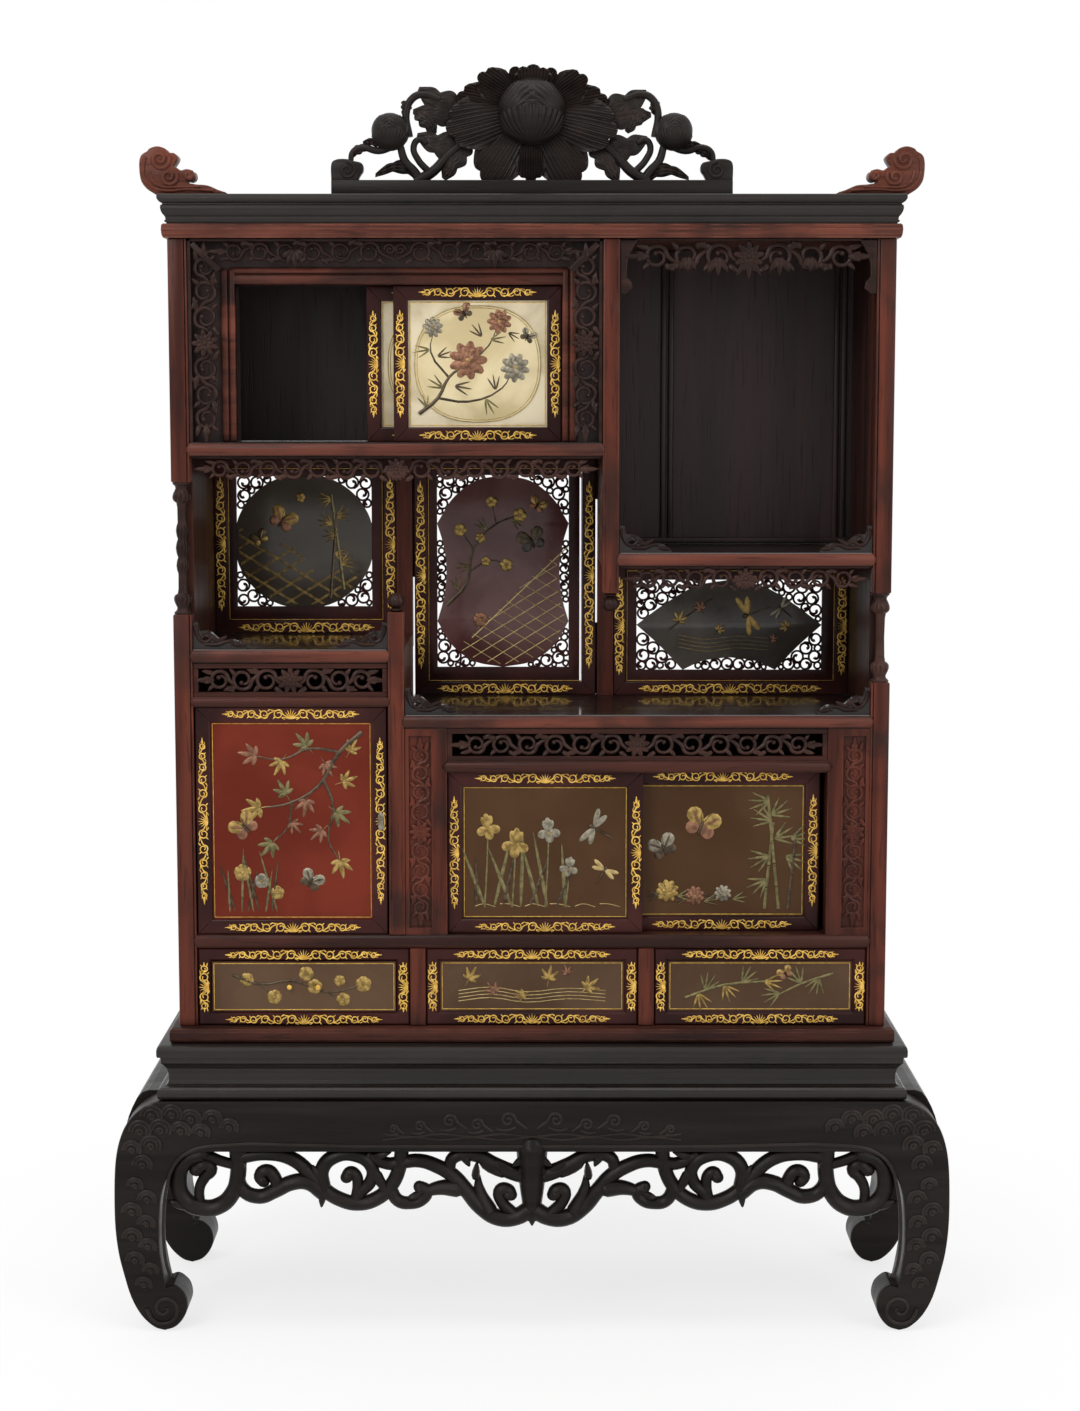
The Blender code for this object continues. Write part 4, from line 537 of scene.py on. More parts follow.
def cut_board(rim, thickness, edge, holes=()):
    """A board sawn to an outline in X and Z, with holes and rounded edges, its middle on Y = 0."""
    curve = bpy.data.curves.new("board", "CURVE")
    curve.dimensions = "2D"
    curve.fill_mode = "BOTH"
    curve.extrude = thickness / 2 - edge
    curve.bevel_depth = edge
    curve.bevel_resolution = 1
    curve.offset = -edge
    curve.resolution_u = 2
    for outline in (rim, *holes):
        spline = curve.splines.new("BEZIER")
        spline.bezier_points.add(len(outline) - 1)
        spline.use_cyclic_u = True
        for point, (x, z) in zip(spline.bezier_points, outline):
            point.co = (x, z, 0.0)
            point.handle_left_type = "VECTOR"
            point.handle_right_type = "VECTOR"
    bm = from_curve(curve)
    bmesh.ops.rotate(bm, matrix=Matrix.Rotation(math.pi / 2, 3, "X"), verts=bm.verts)
    bmesh.ops.remove_doubles(bm, verts=bm.verts, dist=TOUCH)
    return bm


def drop(bm, x, z, y, length, width, thick, turn=0.0, taper=0.5, lean=0.0):
    """A swelling leaf or petal from its base at x, z: long along the turn, pointed by its taper."""
    shape = bmesh.new()
    bmesh.ops.create_uvsphere(shape, u_segments=8, v_segments=6, radius=0.5)
    c = math.cos(turn)
    s = math.sin(turn)
    for vertex in shape.verts:
        along = vertex.co.z + 0.5
        across = vertex.co.x * width * (1.0 - taper * along)
        out = vertex.co.y * thick - lean * along
        run = along * length
        vertex.co = (x + run * c - across * s, y + out, z + run * s + across * c)
    add_shape(bm, shape)


def dome(bm, x, z, y, radius, thick):
    """A flat round boss."""
    drop(bm, x - radius, z, y, 2 * radius, 2 * radius, thick, 0.0, 0.0)


def bar(bm, low, high, round_edge=0.001, segments=2):
    """A straight strip or board between two corners with eased edges."""
    shape = bmesh.new()
    bmesh.ops.create_cube(shape, size=1.0)
    low = Vector(low)
    size = Vector(high) - low
    for vertex in shape.verts:
        vertex.co = [low[k] + (vertex.co[k] + 0.5) * size[k] for k in range(3)]
    bmesh.ops.bevel(
        shape, geom=shape.edges[:], offset=round_edge, segments=segments, profile=0.5, affect="EDGES",
        material=-1,
    )
    add_shape(bm, shape)


# Running scrolls, used for gilding and for carving


def running_scroll(length, height, stem, count=None, shrink=0.5):
    """A wave that runs out from the middle on both sides and dies away, with a curl in each hollow:
    its lines, its leaves and the eyes of its curls."""
    half = length / 2
    x = height * 0.42
    count = count or max(2, round((half - x) / (1.2 * height)))
    weights = [1.0 - (1.0 - shrink) * i / count for i in range(count + 1)]
    weights[-1] *= 0.55
    unit = (half - x) / sum(weights)
    lines = []
    leaves = []
    for i, weight in enumerate(weights[:-1]):
        pitch = unit * weight
        h = height * (1.0 - (1.0 - shrink) * (i / count) ** 1.3)
        up = 1.0 if i % 2 else -1.0
        middle = x + pitch * 0.52
        wide = min(0.42 * h, 0.40 * pitch)
        line = [(x - pitch * 0.26, up * 0.34 * h, stem * 0.7)]
        for k in range(10):
            travel = k / 9
            angle = math.pi + up * travel * math.radians(480)
            reach = 1.0 - 0.66 * max(0.0, travel - 0.42) / 0.58
            swell = stem * (1.15 - 0.45 * travel)
            reach_x = middle + wide * reach * math.cos(angle)
            line.append((reach_x, 0.41 * h * reach * math.sin(angle), swell))
        lines.append(line)
        onward = -up * math.radians(14)
        backward = math.pi - up * math.radians(34)
        rising = up * math.radians(48)
        leaves.append((middle + wide * 0.66, -up * 0.30 * h, 0.50 * h, 0.21 * h, onward))
        leaves.append((middle - wide * 0.70, up * 0.30 * h, 0.40 * h, 0.19 * h, backward))
        leaves.append((middle + wide * 0.76, up * 0.22 * h, 0.34 * h, 0.17 * h, rising))
        x += pitch
    leaves.append((x - unit * 0.2, 0.0, half - x + unit * 0.2, height * 0.22, 0.0))
    for side in (1, -1):
        leaves.append((x - unit * 0.1, 0.0, (half - x) * 0.62, height * 0.16, side * 0.42))
    lines += [[(-px, pz, width) for px, pz, width in line] for line in list(lines)]
    leaves += [(-lx, lz, long, wide, math.pi - turn) for lx, lz, long, wide, turn in list(leaves)]
    eyes = [line[-1] for line in lines]
    return lines, leaves, eyes


def palmette(height):
    """Leaves of the fan in the middle of a gilded scroll, with a wing on each side."""
    fan = []
    for k in range(9):
        turn = math.radians(90 + (k - 4) * 19)
        fan.append((0.0, -height * 0.46, height * (0.90 - 0.04 * abs(k - 4)), height * 0.15, turn))
    for side in (1, -1):
        fan.append((0.0, -height * 0.38, height * 0.80, height * 0.22, math.radians(90 - side * 84)))
    return fan


def gilded_scroll(length, height):
    """A raised gold scroll lying in the XZ plane, its middle at the origin."""
    lines, leaves, eyes = running_scroll(length, height, height * 0.067)
    bm = stems(lines, 0.45, 1, 3)
    for x, z, long, wide, turn in leaves + palmette(height):
        drop(bm, x, z, 0.0, long * 1.1, wide * 1.12, height * 0.11, turn, 0.6)
    for x, z, _ in eyes:
        dome(bm, x, z, 0.0, height * 0.078, height * 0.12)
    return bm


def carved_vine(length, height, thick, count=None, flower=True):
    """A carved running vine with leaves and round eyes, and a flower or two volutes in its middle."""
    lines, leaves, eyes = running_scroll(length, height, height * 0.088, count, 0.82)
    if not flower:
        for side in (1, -1):
            start = 0.0 if side > 0 else math.pi
            curl = spiral(
                side * height * 0.23, height * 0.10, height * 0.25, 1.5, start, height * 0.085, side
            )
            lines.append(curl)
    bm = stems(lines, thick / (height * 0.2), 2, 3)
    for k, (x, z, long, wide, turn) in enumerate(leaves):
        lift = thick * (0.18 + 0.16 * (k % 2))
        drop(bm, x, z, -lift, long * 1.2, wide * 1.6, thick * 0.7, turn, 0.55, thick * 0.15)
    for x, z, _ in eyes:
        dome(bm, x, z, -thick * 0.3, height * 0.10, thick * 0.75)
    if flower:
        petals = 9
        for k in range(petals):
            turn = k * math.tau / petals + math.pi / 2
            outer = (height * 0.56, height * 0.30, thick * 0.6)
            drop(bm, 0.0, 0.0, -thick * 0.3, *outer, turn, 0.2, thick * 0.25)
            inner = (height * 0.34, height * 0.20, thick * 0.5)
            drop(bm, 0.0, 0.0, -thick * 0.5, *inner, turn + 0.35, 0.1, thick * 0.2)
        dome(bm, 0.0, 0.0, -thick * 0.75, height * 0.11, thick * 0.5)
    return bm


UPRIGHT = Matrix.Rotation(-math.pi / 2, 4, "Y")


def place_at(x, y, z, upright=False):
    """A move to a place, after a turn from lying to upright where asked."""
    move = Matrix.Translation((x, y, z))
    return move @ UPRIGHT if upright else move


# Doors and drawers

RAIL = 0.024
FRAME_FLAT = 0.011  # from the outside of a frame to the middle of its gilded scroll


def gild_frame(name, body, box, y, sides="LRTB", share=0.84, height=0.0172, upright_share=None):
    """Gold scrolls along the rails of a frame whose outside box and front are given."""
    x_low, x_high, z_low, z_high = box
    middle_x = (x_low + x_high) / 2
    middle_z = (z_low + z_high) / 2
    bm = bmesh.new()
    across = (x_high - x_low - 2 * RAIL) * share
    along = (z_high - z_low - 2 * RAIL) * (upright_share or share)
    for side in sides:
        if side in "TB":
            z = z_high - FRAME_FLAT if side == "T" else z_low + FRAME_FLAT
            add_shape(bm, gilded_scroll(across, height), place_at(middle_x, y, z))
        else:
            x = x_low + FRAME_FLAT if side == "L" else x_high - FRAME_FLAT
            add_shape(bm, gilded_scroll(along, height), place_at(x, y, middle_z, True))
    show(name, bm, "gold", body)


GOLD_LINE = 0.0006


def gold_line(name, body, box, y):
    """A fine gold line round a field."""
    x_low, x_high, z_low, z_high = box
    bm = bmesh.new()
    r = GOLD_LINE
    for z in (z_low, z_high):
        bar(bm, (x_low, y - r, z - r), (x_high, y + r, z + r), r * 0.5, 1)
    for x in (x_low, x_high):
        bar(bm, (x - r, y - r, z_low), (x + r, y + r, z_high), r * 0.5, 1)
    show(name, bm, "gold", body)


def mitred_frame(box, width, y_low, y_high, round_edge=0.0032):
    """A frame of four pieces with eased long edges that meet in mitres."""
    outer = rectangle(*box)
    inner = rectangle(*inset(box, width))
    bm = bmesh.new()
    for k in range(4):
        n = (k + 1) % 4
        piece = bmesh.new()
        ends = (outer[k], outer[n], inner[n], inner[k])
        face = piece.faces.new([piece.verts.new((x, y_low, z)) for x, z in ends])
        pulled = bmesh.ops.extrude_face_region(piece, geom=[face], use_keep_orig=True)["geom"]
        verts = [g for g in pulled if isinstance(g, bmesh.types.BMVert)]
        bmesh.ops.translate(piece, vec=(0, y_high - y_low, 0), verts=verts)
        bmesh.ops.recalc_face_normals(piece, faces=piece.faces[:])
        long_way = 0 if k % 2 == 0 else 2
        for straight, offset, segments in ((False, 0.0009, 1), (True, round_edge, 3)):
            chosen = []
            for edge in piece.edges:
                a, b = (vertex.co for vertex in edge.verts)
                in_front = max(a.y, b.y) < y_low + TOUCH
                level = abs(a[2 - long_way] - b[2 - long_way]) < TOUCH
                if in_front and level == straight:
                    chosen.append(edge)
            bmesh.ops.bevel(
                piece, geom=chosen, offset=offset, segments=segments, profile=0.5, affect="EDGES",
                material=-1,
            )
        add_shape(bm, piece)
    return bm


def front_box(node):
    """A solid's box as seen from the front."""
    low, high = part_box(node)
    return low.x, high.x, low.z, high.z


def inset(box, by):
    """A box drawn in on all four sides."""
    return box[0] + by, box[1] - by, box[2] + by, box[3] - by


DOORS = ("upper_front_door", "upper_rear_door", "lower_left_door", "lower_right_door", "cupboard_door")
PIVOT_X = -0.5555
PIVOT_Y = -0.161
PIN_RADIUS = 0.0025
PIN_LAP = 0.002


def dress_doors():
    """Mitred frames, their gilding and a gold line round each panel; the cupboard door has its pins."""
    for name in DOORS:
        low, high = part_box(name + "_frame")
        box = front_box(name + "_frame")
        if name == "cupboard_door":
            box = (box[0], box[1], *inset(front_box("cupboard_door_panel"), -RAIL)[2:])
        frame_work = mitred_frame(box, RAIL, low.y, high.y)
        if name == "cupboard_door":
            for z_low, z_high in ((low.z, box[2] + PIN_LAP), (box[3] - PIN_LAP, high.z)):
                pin = [(z_low, PIN_RADIUS, 0.0), (z_high, PIN_RADIUS, 0.0)]
                turned(frame_work, PIVOT_X, PIVOT_Y, pin, 4)
        show(name + "_mitred_frame", frame_work, "lacquer", name, (name + "_frame",))
        gild_frame(name + "_gilding", name, box, low.y)
        panel_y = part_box(name + "_panel")[0].y
        gold_line(name + "_line", name, inset(box, RAIL + 0.0035), panel_y)


DRAWER_SUNK = 0.006
FIELD_RAISED = 0.0006


def dress_drawers():
    """A gilded border and a lacquered field on each drawer front."""
    for name in ("left_drawer", "centre_drawer", "right_drawer"):
        box = front_box(name)
        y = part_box(name)[0].y
        gild_frame(name + "_gilding", name, box, y, share=0.85, upright_share=1.0)
        field = inset(box, RAIL)
        bm = bmesh.new()
        face = y + DRAWER_SUNK - FIELD_RAISED
        back = y + DRAWER_SUNK + 0.001
        bar(bm, (field[0], face, field[2]), (field[1], back, field[3]), 0.0003, 1)
        show(name + "_field", bm, "brown", name)
        gold_line(name + "_line", name, inset(field, 0.003), face)


# Carved posts and mouldings


def flow(points, steps=4):
    """Points along a smooth line through the given ones, in any number of dimensions."""
    line = [Vector(p) for p in points]
    ends = [2 * line[0] - line[1], *line, 2 * line[-1] - line[-2]]
    found = []
    for a, b, c, d in zip(ends, ends[1:], ends[2:], ends[3:]):
        for k in range(steps):
            t = k / steps
            bend = 2 * a - 5 * b + 4 * c - d
            twist = 3 * b - a - 3 * c + d
            curve = 2 * b + (c - a) * t + bend * t * t + twist * t**3
            found.append(tuple(curve / 2))
    return [*found, tuple(line[-1])]


def moulded(levels, half_x, half_y):
    """A board whose four edges follow a moulding: each level gives its height and its overhang."""
    bm = bmesh.new()
    z, out = levels[0]
    bmesh.ops.create_grid(bm, x_segments=1, y_segments=1, size=1.0)
    bmesh.ops.scale(bm, vec=(half_x + out, half_y + out, 1.0), verts=bm.verts)
    bmesh.ops.translate(bm, vec=(0, 0, z), verts=bm.verts)
    face = bm.faces[:]
    reach = out
    for next_z, next_out in levels[1:]:
        raised = bmesh.ops.extrude_face_region(bm, geom=face, use_keep_orig=len(bm.faces) == 1)["geom"]
        verts = [g for g in raised if isinstance(g, bmesh.types.BMVert)]
        face = [g for g in raised if isinstance(g, bmesh.types.BMFace)]
        stretch = ((half_x + next_out) / (half_x + reach), (half_y + next_out) / (half_y + reach), 1.0)
        bmesh.ops.scale(bm, vec=stretch, verts=verts)
        bmesh.ops.translate(bm, vec=(0, 0, next_z - z), verts=verts)
        z, reach = next_z, next_out
    return bm


def half_round(bm, x_low, x_high, z_low, z_high, y, bulge, point=0.009):
    """A half-round strip on the front of a rail, with pointed ends that mitre into the posts."""
    made = bmesh.ops.create_cone(
        bm, segments=20, radius1=0.5, radius2=0.5, depth=1.0, cap_ends=True,
    )["verts"]
    rings = {-1: [v for v in made if v.co.z < 0], 1: [v for v in made if v.co.z > 0]}
    middle = (z_low + z_high) / 2
    for side, ring in rings.items():
        x = x_low if side < 0 else x_high
        for vertex in ring:
            vertex.co = (x, y + vertex.co.y * 2 * bulge, middle + vertex.co.x * (z_high - z_low))
    caps = [f for f in bm.faces if len(f.verts) == 20]
    for cap in caps:
        x = cap.calc_center_median().x
        side = -1 if abs(x - x_low) < abs(x - x_high) else 1
        tip = bmesh.ops.poke(bm, faces=[cap])["verts"]
        bmesh.ops.translate(bm, vec=(side * point, 0, 0), verts=tip)


def rail_fronts():
    """Half-round noses on the boards and rails of the case."""
    bm = bmesh.new()
    for node in ("left_shelf", "centre_shelf", "niche_floor", "upper_floor"):
        low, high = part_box(node)
        half_round(bm, low.x, high.x, low.z + 0.0015, low.z + 0.0215, low.y + 0.0008, 0.0045)
    show("rail_fronts", bm, "rail")
    bm = bmesh.new()
    for node, height in (("middle_board", 0.022), ("left_frieze", 0.016), ("centre_frieze", 0.018)):
        low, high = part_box(node)
        half_round(bm, low.x, high.x, low.z + 0.001, low.z + height, low.y + 0.0008, 0.0040)
    show("lower_rail_fronts", bm, "dusky")


def turned(bm, x, y, levels, ribs=10):
    """A turned stretch with closed ends: each level gives its height, radius and depth of gadroons."""
    shape = bmesh.new()
    count = ribs * 4
    steps = len(levels) - 1
    bmesh.ops.create_grid(shape, x_segments=count, y_segments=steps, size=0.5)
    for vertex in shape.verts:
        angle = (vertex.co.x + 0.5) * math.tau
        z, radius, depth = levels[round((vertex.co.y + 0.5) * steps)]
        reach = radius * (1.0 - depth * (1.0 - abs(math.cos(angle * ribs / 2)) ** 0.6))
        vertex.co = (x + reach * math.cos(angle), y + reach * math.sin(angle), z)
    bmesh.ops.remove_doubles(shape, verts=shape.verts, dist=TOUCH)
    bmesh.ops.holes_fill(shape, edges=shape.edges[:], sides=0)
    add_shape(bm, shape)


def melon(bm, x, y, z, radius, height, ribs=9, depth=0.14):
    """A carved ball with gadroons, ribs that run from pole to pole."""
    made = bmesh.ops.create_uvsphere(bm, u_segments=ribs * 6, v_segments=14, radius=1.0)["verts"]
    for vertex in made:
        angle = math.atan2(vertex.co.y, vertex.co.x)
        rib = 1.0 - depth + depth * abs(math.cos(angle * ribs / 2)) ** 0.6
        vertex.co = (
            x + vertex.co.x * radius * rib, y + vertex.co.y * radius * rib,
            z + vertex.co.z * height / 2,
        )


def ring_bead(bm, x, y, z, radius, height):
    """A smooth flattened bead."""
    made = bmesh.ops.create_uvsphere(bm, u_segments=24, v_segments=8, radius=1.0)["verts"]
    for vertex in made:
        vertex.co = (x + vertex.co.x * radius, y + vertex.co.y * radius, z + vertex.co.z * height / 2)


CUP = [
    (0.0, 0.0150, 0.0), (0.0030, 0.0152, 0.0), (0.0050, 0.0128, 0.0), (0.0075, 0.0108, 0.0),
    (0.0105, 0.0104, 0.0), (0.0135, 0.0118, 0.08), (0.0180, 0.0140, 0.14), (0.0225, 0.0155, 0.16),
    (0.0265, 0.0157, 0.16), (0.0300, 0.0146, 0.14), (0.0325, 0.0120, 0.08), (0.0340, 0.0094, 0.0),
]
KNOTS = [
    (-0.042, 0.0078, 0.05), (-0.036, 0.0098, 0.14), (-0.029, 0.0108, 0.20), (-0.021, 0.0097, 0.14),
    (-0.015, 0.0078, 0.05), (-0.009, 0.0100, 0.14), (0.0, 0.0114, 0.20), (0.009, 0.0100, 0.14),
    (0.015, 0.0078, 0.05), (0.021, 0.0097, 0.14), (0.029, 0.0108, 0.20), (0.036, 0.0098, 0.14),
    (0.042, 0.0078, 0.05),
]


NECK_RISE = 0.042
NECK = (0.0080, 0.10)
WAIST = (0.0072, 0.12)
LONG_SPINDLE = 0.18


def baluster(bm, x, y, low, high):
    """A gadrooned cup at each end and a fluted column between, knotted in its middle where it is long."""
    middle = (low + high) / 2
    levels = [(low + rise, radius, depth) for rise, radius, depth in CUP]
    levels.append((low + NECK_RISE, *NECK))
    if high - low > LONG_SPINDLE:
        levels += [(middle + rise, radius, depth) for rise, radius, depth in KNOTS]
    else:
        levels.append((middle, *WAIST))
    levels.append((high - NECK_RISE, *NECK))
    levels += [(high - rise, radius, depth) for rise, radius, depth in reversed(CUP)]
    turned(bm, x, y, levels)


GROOVE = 0.0035
POST_EASE = 0.0022
POST_HALF = 0.0137
BALL_ROOM = 0.031
SPINDLES = {"left_post": (1, 1.2118, 1.4300), "right_post": (-1, 1.0985, 1.2470)}


def square_post(bm, x_low, x_high, low_y, high_y, z_low, z_high, bead_side):
    """A square stretch of a post with a bead run along its inner front edge."""
    if bead_side:
        edge = x_high if bead_side > 0 else x_low
        inner = edge - bead_side * GROOVE
        xs = sorted((x_low if bead_side > 0 else x_high, inner - bead_side * 0.0012))
        bar(bm, (xs[0], low_y, z_low), (xs[1], high_y, z_high), POST_EASE)
        strip = sorted((inner, edge))
        bar(bm, (strip[0], low_y + 0.0012, z_low), (strip[1], high_y, z_high), 0.0014)
        fill = sorted((inner - bead_side * 0.002, edge - bead_side * 0.0005))
        bar(bm, (fill[0], low_y + 0.004, z_low), (fill[1], high_y, z_high), 0.0004, 1)
    else:
        bar(bm, (x_low, low_y, z_low), (x_high, high_y, z_high), POST_EASE)


def carved_posts():
    """Front posts with balusters, and the two centre posts with a ball and a pendant."""
    for node, (bead_side, low_z, high_z) in SPINDLES.items():
        low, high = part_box(node)
        bm = bmesh.new()
        square_post(bm, low.x, high.x, low.y, high.y, low.z, low_z, bead_side)
        square_post(bm, low.x, high.x, low.y, high.y, high_z, high.z, bead_side)
        show("carved_" + node, bm, "post", replaced=(node,))
        bm = bmesh.new()
        baluster(bm, *middle_of(node)[:2], low_z, high_z)
        show(node + "_baluster", bm, "shaded" if node == "left_post" else "carving")
    for node, upward in (("centre_lower_post", True), ("centre_upper_post", False)):
        low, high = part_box(node)
        x, y, _ = middle_of(node)
        bm = bmesh.new()
        ends = (low.z, high.z - BALL_ROOM) if upward else (low.z + BALL_ROOM, high.z)
        bar(bm, (x - POST_HALF, low.y, ends[0]), (x + POST_HALF, high.y, ends[1]), POST_EASE)
        for side in (-1, 1):
            strip = sorted((x + side * (POST_HALF - 0.0045), x + side * (POST_HALF - 0.0035)))
            bar(bm, (strip[0], low.y - 0.0012, ends[0]), (strip[1], high.y, ends[1]), 0.0004, 1)
        show("carved_" + node, bm, "post", replaced=(node,))
        bm = bmesh.new()
        tip = 1 if upward else -1
        base = ends[1] if upward else ends[0]
        ring_bead(bm, x, y, base + tip * 0.003, radius=0.0105, height=0.008)
        melon(bm, x, y, base + tip * 0.018, radius=0.0150, height=0.026)
        show(node + "_ball", bm, "carving")


# Each moulding is run from the foot up: the rise and the overhang past its solid's edge.
STAND_TOP_RUN = mm([
    (0, -6), (2, -1.8), (6.5, 0), (12.5, 0), (18, -1.5), (21, -5), (22.5, -12), (25, -16.5), (31, -18),
    (41, -17.8), (51, -15.5), (58, -11), (62.5, -6.5), (64, -6.5), (70.5, -6.2), (72, -5.5), (73.5, -1),
    (77, 0), (86, 0), (91, -1.5), (93.4, -6),
])
PLINTH_RUN = mm([(0, -3), (2.5, -0.6), (6, 0), (18, 0), (22.5, -1.2), (25.7, -5.5)])
FASCIA_RUN = mm([(0, -9), (1.5, -7.8), (6, -6.2), (14, -5.5), (20.5, -6.2), (22.8, -8.5)])
CORNICE_RUN = mm([
    (22.6, -14), (25.5, -13.5), (25.8, -11), (28.5, -10.5), (29, -12.5), (34, -11.8), (37.5, -8.8),
    (42, -6.2), (47, -5), (51.5, -5.2), (53.5, -7.8), (55.5, -8.2), (56.5, -5), (59, -2.2), (62.5, 0),
    (68.5, 0), (69.7, -1),
])
MOULDINGS = (
    ("stand_top_moulding", "stand_top", STAND_TOP_RUN, "moulding", ("stand_top",)),
    ("plinth_moulding", "plinth", PLINTH_RUN, "dusky", ("plinth",)),
    ("cornice_fascia", "cornice", FASCIA_RUN, "rail", ()),
    ("cornice_moulding", "cornice", CORNICE_RUN, "moulding", ("cornice",)),
)


def mouldings():
    """Smoothly run mouldings for the stand's top, the plinth and the cornice."""
    for name, node, run, finish, replaced in MOULDINGS:
        low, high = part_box(node)
        levels = [(low.z + rise, out) for rise, out in run]
        show(name, moulded(levels, high.x, high.y), finish, replaced=replaced)


# Fret work of the case


def strip_frame(bm, box, y_low, y_high, width):
    """Four narrow strips round an opening."""
    x_low, x_high, z_low, z_high = box
    bar(bm, (x_low, y_low, z_high - width), (x_high, y_high, z_high), 0.0008, 1)
    bar(bm, (x_low, y_low, z_low), (x_high, y_high, z_low + width), 0.0008, 1)
    bar(bm, (x_low, y_low, z_low + width), (x_low + width, y_high, z_high - width), 0.0008, 1)
    bar(bm, (x_high - width, y_low, z_low + width), (x_high, y_high, z_high - width), 0.0008, 1)


BRACKET = mm([
    (0, 0), (30, 0), (16.5, -22), (11, -40), (10, -62), (18, -70), (20, -80), (10, -89), (0, -89),
])
BRACKET_HEIGHT = 0.089
FRET_THICK = 0.012
UPPER_FRET_SIDE = 0.052
UPPER_FRET_TOP = 0.037
NICHE_VINE = 0.046
VALANCE_VINE = 0.036


def tail_bracket(bm, x, sign, top, drop_to, y, thick):
    """A flat end bracket of a fret: a straight outer edge and an inner edge that curls in at its foot."""
    scale = (top - drop_to) / BRACKET_HEIGHT
    outline = [(x + sign * u, top + v * scale) for u, v in BRACKET]
    board = cut_board(outline, thick, 0.0012)
    add_shape(bm, board, Matrix.Translation((0, y, 0)))


def diagonal_rib(bm, x, z, sign, y, length=0.062, width=0.010):
    """A straight rib across the corner of a fret."""
    turn = math.radians(-45) * sign
    rib = bmesh.new()
    bar(rib, (-length / 2, -0.004, -width / 2), (length / 2, 0.004, width / 2), 0.0012)
    add_shape(bm, rib, Matrix.Translation((x, y, z)) @ Matrix.Rotation(-turn, 4, "Y"))


def upper_fret():
    """Vines over and beside the upper doors, with ribs in the corners and two hanging leaf fans."""
    low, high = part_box("upper_fret")
    middle, y, middle_z = middle_of("upper_fret")
    bm = bmesh.new()
    bar(bm, (low.x, low.y, high.z - 0.005), (high.x, high.y, high.z), 0.0008, 1)
    for x in (low.x, high.x - 0.006):
        bar(bm, (x, low.y, low.z), (x + 0.006, high.y, high.z), 0.0008, 1)
    span = high.x - low.x - 2 * UPPER_FRET_SIDE + 0.03
    vine = carved_vine(span, UPPER_FRET_TOP, FRET_THICK, flower=False)
    add_shape(bm, vine, place_at(middle, y, high.z - UPPER_FRET_TOP / 2 - 0.003))
    rise = high.z - low.z - 0.012
    for x in (low.x + UPPER_FRET_SIDE / 2 + 0.002, high.x - UPPER_FRET_SIDE / 2 - 0.002):
        vine = carved_vine(rise, UPPER_FRET_SIDE * 0.80, FRET_THICK, 3)
        add_shape(bm, vine, place_at(x, y, middle_z - 0.004, True))
    for x, sign in ((low.x + 0.030, 1), (high.x - 0.030, -1)):
        diagonal_rib(bm, x, high.z - 0.030, sign, y - 0.003)
    for share in (-0.27, 0.27):
        x = middle + share * span
        for k in range(5):
            turn = math.radians(-90 + (k - 2) * 30)
            long = 0.030 - 0.003 * abs(k - 2)
            drop(bm, x, high.z - 0.018, y - 0.003, long, 0.015, 0.008, turn, 0.4, 0.003)
    show("carved_upper_fret", bm, "shaded", replaced=("upper_fret",))


def niche_fret():
    """A vine under the cornice with hanging leaves and a bracket at each end."""
    low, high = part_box("niche_fret")
    middle, y, _ = middle_of("niche_fret")
    bm = bmesh.new()
    bar(bm, (low.x, low.y, high.z - 0.004), (high.x, high.y, high.z), 0.0008, 1)
    span = high.x - low.x - 0.026
    add_shape(bm, carved_vine(span, NICHE_VINE, FRET_THICK), place_at(middle, y, high.z - 0.029))
    for x, long in ((-0.10, 0.024), (-0.05, 0.030), (0.0, 0.036), (0.05, 0.030), (0.10, 0.024)):
        for degrees in (-56, -90, -124):
            turn = math.radians(degrees)
            drop(bm, middle + x, high.z - 0.030, y - 0.003, long, 0.015, 0.008, turn, 0.4, 0.003)
    for x, sign in ((low.x, 1), (high.x, -1)):
        tail_bracket(bm, x, sign, high.z, low.z, y, FRET_THICK)
    show("carved_niche_fret", bm, "shaded", replaced=("niche_fret",))


def valances():
    """Short vines under the shelves of the side bays, with a leaf fan in the middle."""
    for node in ("left_valance", "right_valance"):
        low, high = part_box(node)
        middle, y, _ = middle_of(node)
        bm = bmesh.new()
        bar(bm, (low.x, low.y, high.z - 0.003), (high.x, high.y, high.z), 0.0006, 1)
        vine = carved_vine(high.x - low.x - 0.02, VALANCE_VINE, FRET_THICK)
        add_shape(bm, vine, place_at(middle, y, high.z - 0.020))
        for k in range(5):
            turn = math.radians(-90 + (k - 2) * 32)
            drop(bm, middle, high.z - 0.014, y - 0.004, 0.026, 0.014, 0.008, turn, 0.35, 0.003)
        show("carved_" + node, bm, "carving", replaced=(node,))


def carved_friezes():
    """Openwork over the doors: a framed vine above its rail."""
    for node, rail in (("left_frieze", 0.017), ("centre_frieze", 0.019)):
        low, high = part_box(node)
        bm = bmesh.new()
        bar(bm, (low.x, low.y, low.z), (high.x, high.y, low.z + rail), 0.0012)
        box = (low.x, high.x, low.z + rail - 0.0005, high.z)
        strip_frame(bm, box, low.y + 0.003, low.y + 0.016, 0.0085)
        show("framed_" + node, bm, "dusky", replaced=(node,))
        inner = inset(box, 0.008)
        middle = ((inner[0] + inner[1]) / 2, low.y + 0.010, (inner[2] + inner[3]) / 2)
        vine = carved_vine(inner[1] - inner[0], inner[3] - inner[2], 0.010)
        vine.transform(place_at(*middle))
        show("carved_" + node, vine, "carving")


